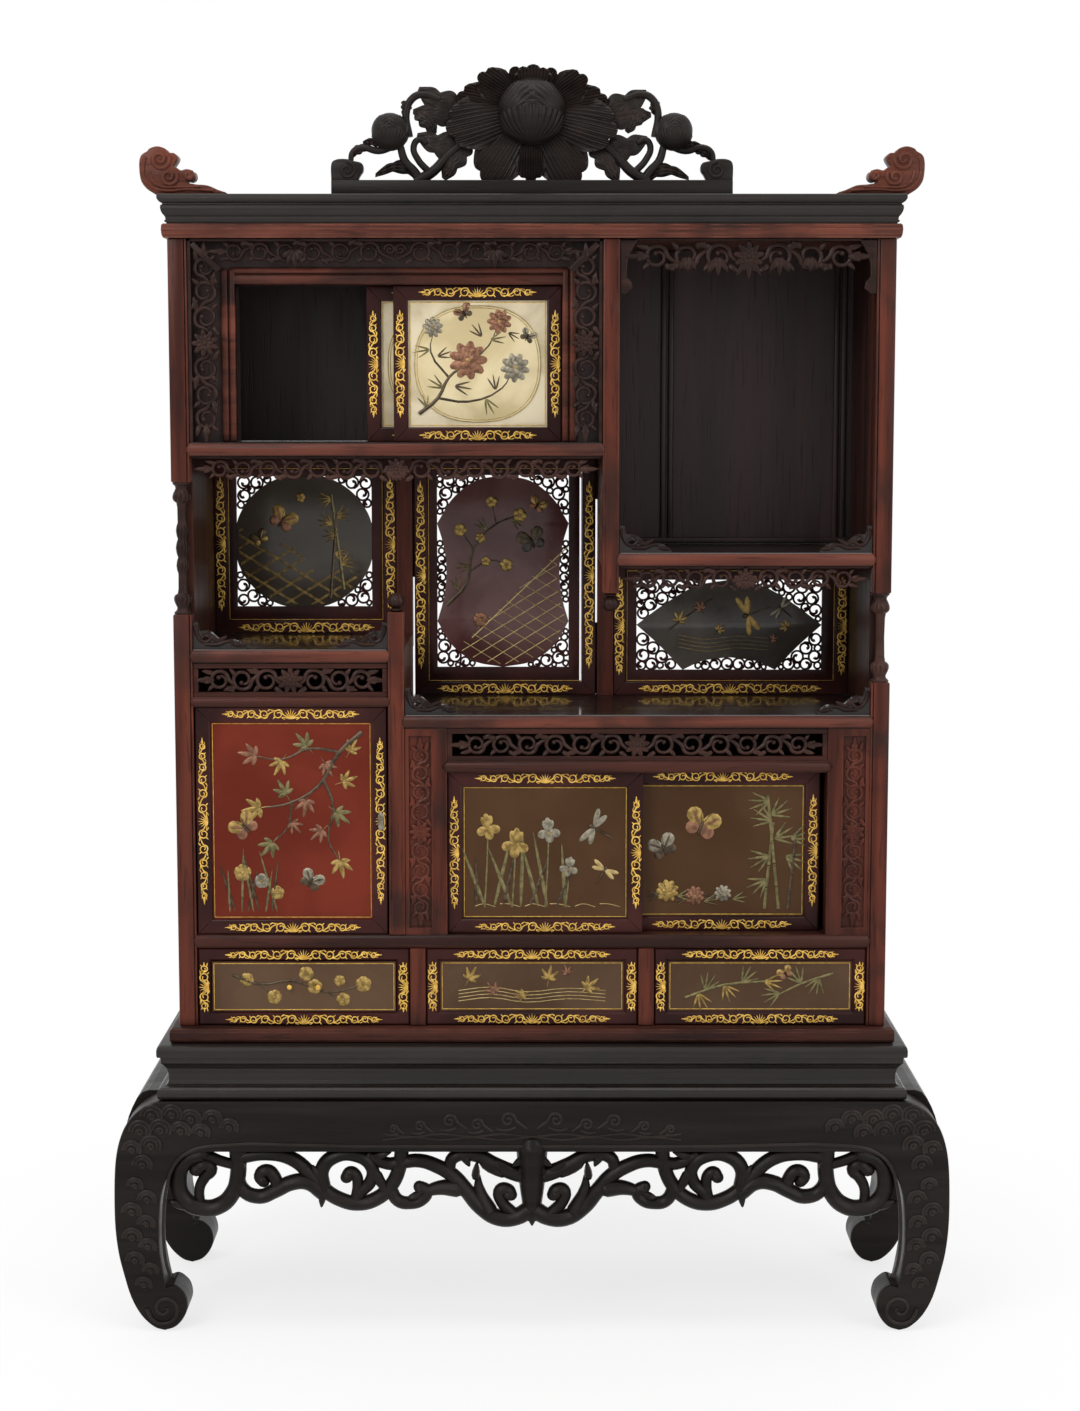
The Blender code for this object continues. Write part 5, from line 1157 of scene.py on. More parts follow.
def pilaster_vines():
    """Low-relief vines in the sunk fields of the pilasters."""
    for node, sign in (("left_pilaster", 1), ("right_pilaster", -1)):
        low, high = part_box(node)
        edge = low.x if sign > 0 else high.x
        vine = carved_vine(high.z - low.z - 0.034, 0.034, 0.007)
        vine.transform(place_at(edge + sign * 0.025, low.y + 0.0045, (low.z + high.z) / 2, True))
        show(node + "_vine", vine, "post")


SHELF_THICK = 0.023
SPANDREL_Y = -0.1605
SPANDREL_STEMS = mm((
    (
        (6, 40, 2.6), (8, 22, 3.4), (18, 12, 3.6), (28, 16, 3), (27, 26, 2.6), (18, 27, 2.2),
        (17, 20, 2.6),
    ),
    ((20, 8, 3), (42, 8, 4), (58, 13, 3), (66, 10, 2.4), (62, 6, 2.2)),
))
SPANDREL_LEAVES = ((0.004, 0.040, -84), (0.028, 0.022, -35), (0.040, 0.012, 30), (0.066, 0.008, -8))


def spandrel_scrolls():
    """Carved leaves and curls on the corner pieces of the shelves."""
    bm = bmesh.new()
    for node in ("left_shelf", "centre_shelf", "niche_floor"):
        low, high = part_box(node)
        z = low.z + SHELF_THICK
        for x, sign in ((low.x, 1), (high.x, -1)):
            lines = [[(x + sign * u, z + v, r) for u, v, r in stem] for stem in SPANDREL_STEMS]
            add_shape(bm, stems(lines, 1.0, 2, 3), Matrix.Translation((0, SPANDREL_Y, 0)))
            for u, v, turn in SPANDREL_LEAVES:
                angle = math.radians(turn) if sign > 0 else math.pi - math.radians(turn)
                drop(bm, x + sign * u, z + v, SPANDREL_Y, 0.020, 0.010, 0.006, angle, 0.45)
    show("spandrel_scrolls", bm, "shaded")


# Pierced panels at the back of the open bays


def gap_to(outline, x, z):
    """Distance from a point to a closed outline, negative inside it."""
    here = Vector((x, z))
    nearest = 1.0
    inside = False
    for a, b in zip(outline, outline[1:] + outline[:1]):
        start = Vector(a)
        run = Vector(b) - start
        share = max(0.0, min(1.0, (here - start).dot(run) / max(run.length_squared, 1e-12)))
        nearest = min(nearest, (start + run * share - here).length)
        if (a[1] > z) != (b[1] > z) and x < a[0] + (z - a[1]) / (b[1] - a[1]) * (b[0] - a[0]):
            inside = not inside
    return -nearest if inside else nearest


def mirrored_outline(half):
    """A closed outline from its right half, given from the top to the bottom."""
    return half + [(-x, z) for x, z in reversed(half[1:-1])]


def round_medallion():
    """A round, cut straight where it would pass its frame."""
    ring = []
    for k in range(72):
        turn = math.tau * k / 72
        ring.append([max(-1.0, min(1.0, 1.04 * way)) for way in (math.cos(turn), math.sin(turn))])
    return ring


def lobed_medallion():
    """A tall plate with a waist."""
    upper = flow([(0.0, 1.0), (0.42, 0.94), (0.76, 0.76), (1.0, 0.50)], 8)
    waist = flow([(1.0, 0.50), (0.90, 0.26), (0.86, 0.0), (0.90, -0.27), (1.0, -0.52)], 6)
    lower = flow([(1.0, -0.52), (0.78, -0.77), (0.44, -0.94), (0.0, -1.0)], 8)
    return mirrored_outline(upper[:-1] + waist[:-1] + lower)


def fan_medallion():
    """A wide plate in the form of a fan."""
    top = flow([(0.0, 1.0), (0.36, 0.86), (0.70, 0.46), (1.0, 0.0)], 8)
    side = flow([(1.0, 0.0), (0.74, -0.48), (0.50, -1.0)], 6)
    foot = flow([(0.50, -1.0), (0.28, -0.80), (0.0, -0.72)], 6)
    return mirrored_outline(top[:-1] + side[:-1] + foot)


WEB = 0.0021
LARGEST_CURL = 0.0105
SMALLEST_CURL = 0.0040
NET_STEP = 0.0026


def corner_curls(half_x, half_z, medallion):
    """Touching rounds packed into the corners between a medallion and its frame, the largest first."""
    free = {}
    count_x = int(half_x / NET_STEP)
    count_z = int(half_z / NET_STEP)
    for i in range(-count_x, count_x + 1):
        for j in range(-count_z, count_z + 1):
            x = i * NET_STEP
            z = j * NET_STEP
            edge = min(half_x - abs(x), half_z - abs(z))
            if edge > SMALLEST_CURL:
                room = min(edge, gap_to(medallion, x, z))
                if room > SMALLEST_CURL:
                    free[(x, z)] = min(room, LARGEST_CURL)
    curls = []
    while free:
        (x, z), radius = max(free.items(), key=lambda item: (item[1], item[0][0] * 0.37 + item[0][1]))
        curls.append((x, z, radius))
        left = {}
        for (px, pz), room in free.items():
            room = min(room, math.hypot(px - x, pz - z) - radius)
            if room > SMALLEST_CURL:
                left[(px, pz)] = room
        free = left
    return curls


def pierced_net(curls):
    """Thin curled webs: each round is a stem that winds in to a small eye, and touches the next."""
    lines = []
    for k, (x, z, radius) in enumerate(curls):
        start = k * 2.3 + x * 30
        way = 1 if k % 2 else -1
        line = []
        turns = 1.46 if radius > 0.006 else 1.0
        steps = max(7, round(turns * 8))
        for j in range(steps + 1):
            share = j / steps
            wound = max(0.0, share * turns - 0.92)
            reach = radius * (1.0 - 1.6 * wound)
            angle = start + way * share * turns * math.tau
            swell = WEB * (1.0 + 0.9 * wound)
            line.append((x + reach * math.cos(angle), z + reach * math.sin(angle), swell))
        lines.append(line)
    return stems(lines, 1.1, 1, 2)


PANEL_FRAME = 0.024
PANEL_SUNK = 0.005
PANEL_LAP = 0.010
PANELS = {
    "left": (round_medallion, "olive", (-0.5237, -0.2843, 1.2025, 1.4330)),
    "centre": (lobed_medallion, "plum", (-0.1683, 0.0651, 1.0941, 1.4350)),
    "right": (fan_medallion, "umber", (0.1862, 0.5160, 1.0890, 1.2497)),
}
LIGHT_SLIT = 0.004


def pierced_panels():
    """Each panel: a frame, a board pierced at its corners, a lacquered medallion and gold work."""
    for side, (make_outline, finish, opening) in PANELS.items():
        node = side + "_pierced_panel"
        low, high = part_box(node)
        middle = ((opening[0] + opening[1]) / 2, (opening[2] + opening[3]) / 2)
        half_x = (opening[1] - opening[0]) / 2
        half_z = (opening[3] - opening[2]) / 2
        medallion = [(x * half_x, z * half_z) for x, z in make_outline()]
        slit = PANEL_FRAME + LIGHT_SLIT if side == "centre" else PANEL_LAP
        rim_box = (low.x + PANEL_LAP, high.x - slit, low.z + PANEL_LAP, high.z - PANEL_LAP)
        rim = [(x - middle[0], z - middle[1]) for x, z in rectangle(*rim_box)]
        face = low.y + PANEL_SUNK
        board = cut_board(rim, 0.008, 0.0005, [rectangle(-half_x, half_x, -half_z, half_z)])
        add_shape(board, pierced_net(corner_curls(half_x, half_z, medallion)))
        board.transform(place_at(middle[0], face + 0.004, middle[1]))
        show(side + "_pierced_board", board, "lacquer", replaced=(node,))
        plate = cut_board(medallion, 0.006, 0.0006)
        plate.transform(place_at(middle[0], face + 0.002, middle[1]))
        show(side + "_medallion", plate, finish)
        box = (low.x, high.x, low.z, high.z)
        ring = mitred_frame(box, PANEL_FRAME, low.y, high.y)
        if side == "centre":
            strips = ((low.x, 1.254, high.z), (high.x, low.z, 1.173), (high.x, 1.392, high.z))
            for x, z_low, z_high in strips:
                bar(ring, (x - 0.009, high.y - 0.004, z_low), (x + 0.009, high.y, z_high), 0.0008)
        show(side + "_panel_frame", ring, "lacquer")
        gild_frame(side + "_panel_gilding", CASE, box, low.y, "LRB", 0.88, 0.0185)
        gold_line(side + "_panel_line", CASE, inset(box, PANEL_FRAME + 0.001), face - 0.0002)


# Carving of the stand

STAND_HALF = 0.704
STAND_TOP = 0.397
APRON_LOW = 0.310
LEG_THICK = 0.074
LEG_MIDDLE = 0.173
STAND_FACE = -0.2103


LEG_OUTER = mm([
    (76, 397), (56, 389), (36, 374), (20, 352), (9, 322), (3, 285), (0.8, 232), (1.4, 180), (6, 136),
    (14, 100), (26, 58), (43, 26), (64, 6), (82, 0),
])
LEG_FOOT = mm([(82, 0), (100, 6), (114, 21), (121.5, 41), (118, 61), (108, 73), (97.5, 78.5), (86.5, 75.5)])
LEG_INNER = mm([
    (86.5, 75.5), (82.5, 94), (78.5, 118), (75.5, 145), (76.5, 203), (82, 243), (96, 276), (118, 300),
    (146, 310),
])


def leg_outline():
    """The bulging knee, the leg and the scroll foot, from the outside in to the apron."""
    line = flow(LEG_OUTER, 4)[:-1] + flow(LEG_FOOT, 4)[:-1] + flow(LEG_INNER, 4)
    return [(inset_by - STAND_HALF, max(0.0, min(z, STAND_TOP))) for inset_by, z in line]


def spiral(x, z, radius, turns, start, thick, turn_way=1):
    """A line that winds in to a round eye."""
    line = []
    steps = max(6, round(turns * 8))
    for k in range(steps + 1):
        share = k / steps
        angle = start + turn_way * share * turns * math.tau
        reach = radius * (1.0 - 0.86 * share)
        swell = thick * (1.0 - 0.25 * share)
        line.append((x + reach * math.cos(angle), z + reach * math.sin(angle), swell))
    return line


FRET_Y = -0.194
FRET_SWELL = 2.05
FRET_STEMS = mm([
    (
        [
            (-557, -6), (-584, -18), (-596, -48), (-586, -86), (-557, -101), (-528, -97), (-506, -76),
            (-496, -44), (-497, 4),
        ],
        7.5, 6.8,
    ),
    ([(-560, -96), (-561, -66), (-551, -46), (-541, -34), (-552, -25), (-566, -34)], 4, 6.2),
    ([(-580, -17), (-553, -10), (-526, -19), (-499, -27)], 5, 4.2),
    (
        [
            (-486, -4), (-495, -40), (-488, -69), (-460, -81), (-434, -71), (-405, -57), (-378, -56),
            (-352, -74),
        ],
        5.5, 7,
    ),
    ([(-429, -70), (-434, -48), (-447, -36), (-459, -44), (-453, -55)], 5.5, 5.2),
    (
        [
            (-492, -12), (-447, -6), (-406, -15), (-373, -42), (-349, -70), (-324, -86), (-295, -93),
            (-263, -85), (-238, -62), (-224, -32), (-219, 4),
        ],
        6, 6.2,
    ),
    (
        [
            (-352, -70), (-354, -34), (-334, -12), (-297, -9), (-270, -30), (-272, -54), (-290, -74),
            (-298, -90),
        ],
        6.6, 5,
    ),
    ([(-298, -84), (-294, -60), (-297, -44), (-307, -39), (-313, -48)], 4.5, 5.2),
    (
        [
            (-274, -10), (-243, -24), (-222, -22), (-190, -19), (-161, -28), (-133, -45), (-111, -70),
            (-87, -99), (-56, -118), (-26, -116), (-2, -102),
        ],
        5, 7.4,
    ),
    ([(-240, -64), (-226, -88), (-206, -92), (-186, -86), (-178, -72), (-190, -64)], 5.5, 5.2),
    ([(-184, -74), (-156, -66), (-126, -66)], 4.2, 7.8),
    ([(-140, -36), (-133, -14), (-96, -9), (-62, -26), (-30, -40), (-4, -46)], 5, 7),
    ([(-74, -106), (-89, -70), (-91, -46)], 7.8, 2.2),
    ([(-30, -112), (-52, -88), (-54, -70), (-40, -70), (-36, -78)], 5, 5.5),
])
FRET_LEAVES = [
    (-0.352, -0.058, 0.030, 0.014, 118), (-0.352, -0.062, 0.028, 0.013, -95),
    (-0.268, -0.030, 0.044, 0.016, -62), (-0.272, -0.014, 0.030, 0.013, 20),
    (-0.184, -0.074, 0.022, 0.012, 196), (-0.222, -0.010, 0.020, 0.012, -75),
    (-0.088, -0.014, 0.040, 0.018, -38), (-0.070, -0.020, 0.038, 0.018, -20),
    (-0.096, -0.052, 0.026, 0.012, 84), (-0.118, -0.002, 0.022, 0.014, -62),
    (-0.497, -0.006, 0.024, 0.013, -64), (-0.578, -0.098, 0.030, 0.015, 162),
]


FRET_EYES = mm(((563, -33), (455, -52), (311, -46), (188, -68), (40, -76)))
FRET_CENTRE = mm([(0, 4, 13), (0, -50, 11), (0, -112, 7)])
FRET_FAN = ((-90, 0.034), (-58, 0.044), (-122, 0.044), (-32, 0.040), (-148, 0.040))
KNEE_CLOUDS = mm((
    (508, 352, 15), (536, 366, 16), (556, 343, 15), (572, 366, 17), (604, 374, 17), (638, 372, 18),
    (590, 346, 16), (624, 348, 18), (658, 346, 18), (640, 321, 17), (672, 314, 15), (655, 288, 16),
    (668, 252, 13), (648, 228, 15), (674, 206, 16), (650, 186, 14), (674, 162, 16), (648, 146, 14),
    (670, 122, 15), (644, 104, 13), (656, 80, 13),
))
WAVES = mm(((40, 366, 21), (92, 358, 17), (138, 364, 19), (188, 355, 15), (232, 350, 12)))
EDGE_BEAD = mm((
    (0, 320.5), (300, 320.5), (545, 320.5), (578, 310), (602, 287), (615, 246), (620, 204),
    (620.5, 150), (616.5, 116), (610, 94),
))


def carved_cloud(x, z, radius, way):
    """Lines of one cloud in low relief: two arched edges and a curl under them."""
    lines = []
    for share, thick in ((1.0, 0.0030), (0.68, 0.0024)):
        line = []
        for k in range(7):
            angle = math.radians(205 - 34 * k)
            run = x + way * radius * share * math.cos(angle)
            line.append((run, z + radius * share * math.sin(angle), thick))
        lines.append(line)
    start = 0.0 if way > 0 else math.pi
    lines.append(spiral(x, z - radius * 0.1, radius * 0.36, 1.25, start, 0.0024, way))
    return lines


def carved_wave(x, z, size, way):
    """Lines of one breaking wave in low relief."""
    back = [
        (x - way * size * 1.5, z - size * 0.7, 0.0018), (x - way * size * 0.7, z - size * 0.1, 0.0029),
    ]
    head = spiral(x, z, size * 0.62, 1.4, math.pi if way > 0 else 0.0, 0.0029, -way)
    foam = [
        (x + way * size * 0.9, z - size * 0.75, 0.0016),
        (x + way * size * 0.2, z - size * 0.85, 0.0026),
    ]
    foam += [(x - way * size * 0.6, z - size * 0.62, 0.0020)]
    return [back + head, foam]


def stand_relief():
    """Clouds on the knees, waves on the apron, curls on the feet and the bead of the edge."""
    lines = []
    for sign in (-1, 1):
        for x, z, radius in KNEE_CLOUDS:
            lines += carved_cloud(sign * x, z, radius, sign)
        start = 0.0 if sign > 0 else math.pi
        lines.append(spiral(sign * 0.6215, 0.0385, 0.030, 1.55, start, 0.0036, -sign))
        lines.append([(sign * x, z, 0.0032) for x, z in EDGE_BEAD])
        for x, z, size in WAVES:
            lines += carved_wave(sign * x, z, size, sign)
    for k, z in enumerate((0.3395, 0.334)):
        lines.append([(-0.25 + 0.05 * j, z + 0.0025 * (-1) ** (j + k), 0.0020) for j in range(11)])
    carved = stems(lines, 0.8, 1, 3)
    carved.transform(place_at(0, STAND_FACE - 0.0006, 0))
    # The relief lines are lighter than the ebony round them: painted highlight.
    show("stand_relief", carved, "relief")


def carved_legs():
    """The four legs with their scroll feet, the cheeks between them and the front in one sweep."""
    half = leg_outline()
    knee = [*half, (half[-1][0], STAND_TOP)]
    legs = {"left": knee, "right": [(-x, z) for x, z in knee]}
    for side, outline in legs.items():
        for end, y in (("front", -LEG_MIDDLE), ("back", LEG_MIDDLE)):
            leg = cut_board(outline, LEG_THICK, 0.0035)
            leg.transform(place_at(0, y, 0))
            node = f"stand_leg_{end}_{side}"
            show(node.replace("stand", "carved"), leg, "black", replaced=(node,), sharp=20)
    knee_side = [point for point in half if point[1] > APRON_LOW and point[0] < -0.62]
    for side, sign in (("left", 1), ("right", -1)):
        rim = [(sign * x, z) for x, z in knee_side]
        rim += [(sign * -0.640, APRON_LOW + 0.002), (sign * -0.622, STAND_TOP)]
        cheek = cut_board(rim, 2 * LEG_MIDDLE - LEG_THICK + 0.006, 0.002)
        show(side + "_cheek", cheek, "black", sharp=20)
    face = cut_board(half + [(-x, z) for x, z in reversed(half)], 0.012, 0.0035)
    face.transform(place_at(0, STAND_FACE + 0.0057, 0))
    show("stand_face", face, "black")


def stand_fret():
    """The openwork under the front apron: stems, their ends and eyes, leaves and a middle drop."""
    lines = [tapered(points, first, last, APRON_LOW) for points, first, last in FRET_STEMS]
    leaves = FRET_LEAVES + [(-x, z, long, wide, 180 - turn) for x, z, long, wide, turn in FRET_LEAVES]
    lines += [[(-x, z, radius) for x, z, radius in line] for line in list(lines)]
    lines.append([(x, APRON_LOW + z, radius) for x, z, radius in FRET_CENTRE])
    lines = [[(x, z, radius * FRET_SWELL) for x, z, radius in line] for line in lines]
    fret = stems(lines, 1.1, 3, 5)
    fret.transform(place_at(0, FRET_Y, 0))
    for line in lines:
        for x, z, radius in (line[0], line[-1]):
            dome(fret, x, z, FRET_Y, radius, radius * 2.2)
    for sign in (-1, 1):
        for x, z in FRET_EYES:
            dome(fret, sign * x, APRON_LOW + z, FRET_Y - 0.002, 0.0105, 0.024)
    for x, z, long, wide, degrees in leaves:
        turn = math.radians(degrees)
        drop(fret, x, APRON_LOW + z, FRET_Y - 0.005, long * 1.3, wide * 1.6, 0.016, turn, 0.6, 0.003)
    for degrees, long in FRET_FAN:
        turn = math.radians(degrees)
        drop(fret, 0.0, APRON_LOW - 0.004, FRET_Y - 0.009, long, 0.022, 0.012, turn, 0.5, 0.003)
    down = math.radians(-90)
    drop(fret, 0.0, APRON_LOW - 0.104, FRET_Y - 0.002, 0.028, 0.024, 0.018, down, 0.7)
    show("carved_stand_fret", fret, "black", replaced=("stand_fret",))


# Crest

CREST_FRONT = -0.158
BAR_TOP = 1.920
BUD_Z = 2.031
BUD_RADIUS = 0.053
CREST_MIDDLE = -0.143


def petal(bm, x, z, y, reach, width, turn, rise, curl, lobes=3, ribs=11, thick=0.004):
    """A broad ribbed petal: a sheet that fans out from its base to a lobed end."""
    sheet = bmesh.new()
    bmesh.ops.create_grid(sheet, x_segments=44, y_segments=10, size=0.5)
    for vertex in sheet.verts:
        u = 2 * vertex.co.x
        v = vertex.co.y + 0.5
        lobe = 0.24 * u * u + 0.085 * (1.0 - abs(math.cos(lobes * math.pi * u / 2)) ** 0.55)
        run = reach * v * (1.0 - lobe * v * v)
        across = u * width / 2 * (0.26 + 0.74 * math.sin(min(1.0, v * 0.72) * math.pi / 1.44))
        groove = 0.0016 * math.cos(ribs * math.pi * u) * (0.4 + 0.6 * v)
        out = rise * v + curl * v * v + 0.011 * (1 - u * u) * math.sin(v * math.pi) + groove
        vertex.co = (run, -out, across)
    bmesh.ops.solidify(sheet, geom=sheet.faces[:], thickness=thick)
    add_shape(bm, sheet, Matrix.Translation((x, y, z)) @ Matrix.Rotation(-turn, 4, "Y"))


def notched_leaf(bm, base, tip, width, bend, y, thick=0.005):
    """A carved leaf from its base to its point: notched edges, a sunk midrib and a bend sideways."""
    run = Vector((tip[0] - base[0], tip[1] - base[1]))
    sheet = bmesh.new()
    bmesh.ops.create_grid(sheet, x_segments=14, y_segments=30, size=0.5)
    for vertex in sheet.verts:
        u = 2 * vertex.co.x
        v = vertex.co.y + 0.5
        notch = 0.60 + 0.40 * abs(math.sin(3.0 * math.pi * v ** 0.9))
        half = 0.08 + 0.92 * math.sin(math.pi * v ** 0.75) ** 0.8 * notch
        across = u * width / 2 * half + bend * math.sin(math.pi * v)
        midrib = 0.0022 * math.exp(-(u / 0.16) ** 2)
        vein = 0.0005 * math.cos(10 * math.pi * (v + 0.25 * abs(u)))
        out = 0.007 * (1.0 - 0.6 * u * u) * math.sin(math.pi * v) - midrib + vein
        vertex.co = (run.length * v, -out, across)
    bmesh.ops.solidify(sheet, geom=sheet.faces[:], thickness=thick)
    turn = math.atan2(run.y, run.x)
    add_shape(bm, sheet, Matrix.Translation((base[0], y, base[1])) @ Matrix.Rotation(-turn, 4, "Y"))


def bud(bm, x, y, z, radius):
    """A closed flower bud: a finely ribbed ball wrapped in four overlapping outer petals."""
    melon(bm, x, y, z, radius * 0.94, 1.88 * radius, 16, 0.04)
    for tilt, roll, size in (
        (0.15, 0.0, 1.0), (0.55, 1.9, 1.04), (0.55, -1.9, 1.04), (0.35, math.pi, 1.08),
    ):
        shell = bmesh.new()
        melon(shell, 0.0, 0.0, 0.0, radius * size, 2 * radius * size, 26, 0.05)
        geom = shell.verts[:] + shell.edges[:] + shell.faces[:]
        plane = (0, 0, 0.30 * radius)
        bmesh.ops.bisect_plane(shell, geom=geom, plane_co=plane, plane_no=(0, 0, -1), clear_outer=True)
        bmesh.ops.holes_fill(shell, edges=shell.edges[:], sides=0)
        turn = Matrix.Rotation(roll, 4, "Y") @ Matrix.Rotation(tilt, 4, "X")
        add_shape(bm, shell, Matrix.Translation((x, y, z)) @ turn)


CREST_STEMS = mm([
    ([(-296, 30), (-292, 46), (-278, 53), (-250, 48), (-226, 56)], 4.5, 6.5),
    ([(-215, 56), (-207, 31), (-192, 14), (-180, -4)], 6.2, 9),
    ([(-190, -2), (-160, 16), (-138, 40), (-112, 62)], 9.5, 6.6),
    ([(-168, 14), (-186, 34), (-193, 54), (-184, 66), (-172, 60)], 6, 5),
    ([(-200, 70), (-205, 108), (-196, 130), (-180, 138), (-150, 130)], 6.6, 6),
])
CREST_LEAVES = mm([
    ((-98, 106), (-186, 144), 46, 6), ((-104, 104), (-194, 108), 36, 2),
    ((-186, 112), (-156, 76), 26, 4), ((-100, 52), (-188, 70), 44, 8), ((-100, 60), (-142, 1), 36, -4),
    ((-180, 2), (-256, 6), 18, -16), ((-268, 52), (-296, 36), 12, -3), ((-236, 56), (-276, 58), 12, -3),
    ((-204, 128), (-206, 104), 14, 3),
])
PETALS = [
    (-90, 0.116, 0.050, -0.142, 0.004), (-124, 0.138, 0.082, -0.140, 0.006),
    (-56, 0.138, 0.082, -0.140, 0.006), (193, 0.143, 0.084, -0.145, 0.007),
    (-13, 0.143, 0.084, -0.145, 0.007), (170, 0.124, 0.056, -0.139, 0.008),
    (10, 0.124, 0.056, -0.139, 0.008), (148, 0.104, 0.056, -0.143, 0.007),
    (32, 0.104, 0.056, -0.143, 0.007), (116, 0.076, 0.050, -0.138, 0.008),
    (64, 0.076, 0.050, -0.138, 0.008), (90, 0.073, 0.062, -0.143, 0.008),
    (-157, 0.118, 0.060, -0.138, 0.006), (-23, 0.118, 0.060, -0.138, 0.006),
]


BAR_END = mm([(0, -2), (0, 25), (8, 33), (24, 34), (36, 31), (50, 27), (52, 16), (47, 8), (42, -2)])


def carved_crest():
    """The peony with its bar, stems, leaves and buds."""
    low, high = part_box("crest")
    bm = bmesh.new()
    bar(bm, (low.x, CREST_FRONT, low.z), (high.x, CREST_FRONT + 0.030, BAR_TOP), 0.0012)
    lines = [tapered(points, first, last, BAR_TOP) for points, first, last in CREST_STEMS]
    lines += [[(-x, z, radius) for x, z, radius in line] for line in list(lines)]
    add_shape(bm, stems(lines, 1.25, 3, 5), place_at(0, CREST_MIDDLE, 0))
    for base, tip, width, bend in CREST_LEAVES:
        for sign in (1, -1):
            ends = [(sign * x, BAR_TOP + z) for x, z in (base, tip)]
            notched_leaf(bm, *ends, width, sign * bend, -0.142)
    for sign in (-1, 1):
        edge = sign * high.x
        end = cut_board([(edge - sign * x, BAR_TOP + z) for x, z in flow(BAR_END, 4)], 0.026, 0.003)
        add_shape(bm, end, place_at(0, CREST_MIDDLE, 0))
        coil = spiral(edge - sign * 0.026, BAR_TOP + 0.015, 0.014, 1.6, math.radians(90), 0.0026, sign)
        add_shape(bm, stems([coil], 0.8, 2, 3), place_at(0, -0.156, 0))
        bud(bm, sign * 0.231, -0.146, BAR_TOP + 0.079, 0.0295)
    for turn, reach, width, y, rise in PETALS:
        petal(bm, 0.0, BUD_Z, y, reach, width, math.radians(turn), rise, 0.006)
    bud(bm, 0.0, -0.150, BUD_Z, BUD_RADIUS)
    show("carved_crest", bm, "black", replaced=("crest",), sharp=50)


FINIAL_HEAD = mm([
    (-104, 0), (-111, 3), (-97, 8), (-80, 15), (-62, 16.5), (-49, 19), (-47, 22.5), (-53, 21.5),
    (-59, 25), (-60.5, 32), (-55, 39), (-46, 41), (-37.5, 39), (-31, 43), (-25.5, 46), (-30, 53),
    (-32.5, 60), (-27, 66.5), (-18.5, 67.5), (-12, 74), (1, 77.5), (13, 74), (17.2, 69.5), (26, 64),
    (30, 54), (30, 36), (27, 21), (18, 9), (4, 0),
])
FINIAL_CURLS = ((-0.004, 0.056, 0.0165, 160), (-0.018, 0.028, 0.0145, 150), (-0.050, 0.031, 0.007, 120))
FINIAL_FOLDS = mm((
    ((20, 60), (23.5, 44), (21, 26), (10, 12.5), (-12, 6), (-45, 8), (-90, 6)),
    ((13, 38), (8.5, 22), (-6, 12.5), (-30, 11.5), (-68, 12.5)),
))
FINIAL_EDGE = 0.608
FINIAL_FOOT = 1.896
FINIAL_MIDDLE = -0.144
FINIAL_THICK = 0.040


def cloud_finials():
    """Carved clouds at the ends of the cornice, with curls and folds on both faces."""
    for side, sign in (("left", -1), ("right", 1)):
        outline = [
            (sign * (FINIAL_EDGE + x), FINIAL_FOOT + max(z, 0.0))
            for x, z in flow(FINIAL_HEAD, 3)
        ]
        bm = cut_board(outline, FINIAL_THICK, 0.0032)
        bm.transform(place_at(0, FINIAL_MIDDLE, 0))
        lines = []
        for x, z, radius, start in FINIAL_CURLS:
            turn = math.radians(start) if sign > 0 else math.pi - math.radians(start)
            curl = (sign * (FINIAL_EDGE + x), FINIAL_FOOT + z, radius)
            lines.append(spiral(*curl, 1.5, turn, 0.0036, sign))
        for fold in FINIAL_FOLDS:
            lines.append([(sign * (FINIAL_EDGE + x), FINIAL_FOOT + z, 0.0028) for x, z in fold])
        for face in (FINIAL_MIDDLE - FINIAL_THICK / 2, FINIAL_MIDDLE + FINIAL_THICK / 2):
            add_shape(bm, stems(lines, 1.0, 2, 3), place_at(0, face, 0))
        show("carved_finial_" + side, bm, "finial", replaced=("cloud_finial_" + side,))


# Raised inlay of the panels


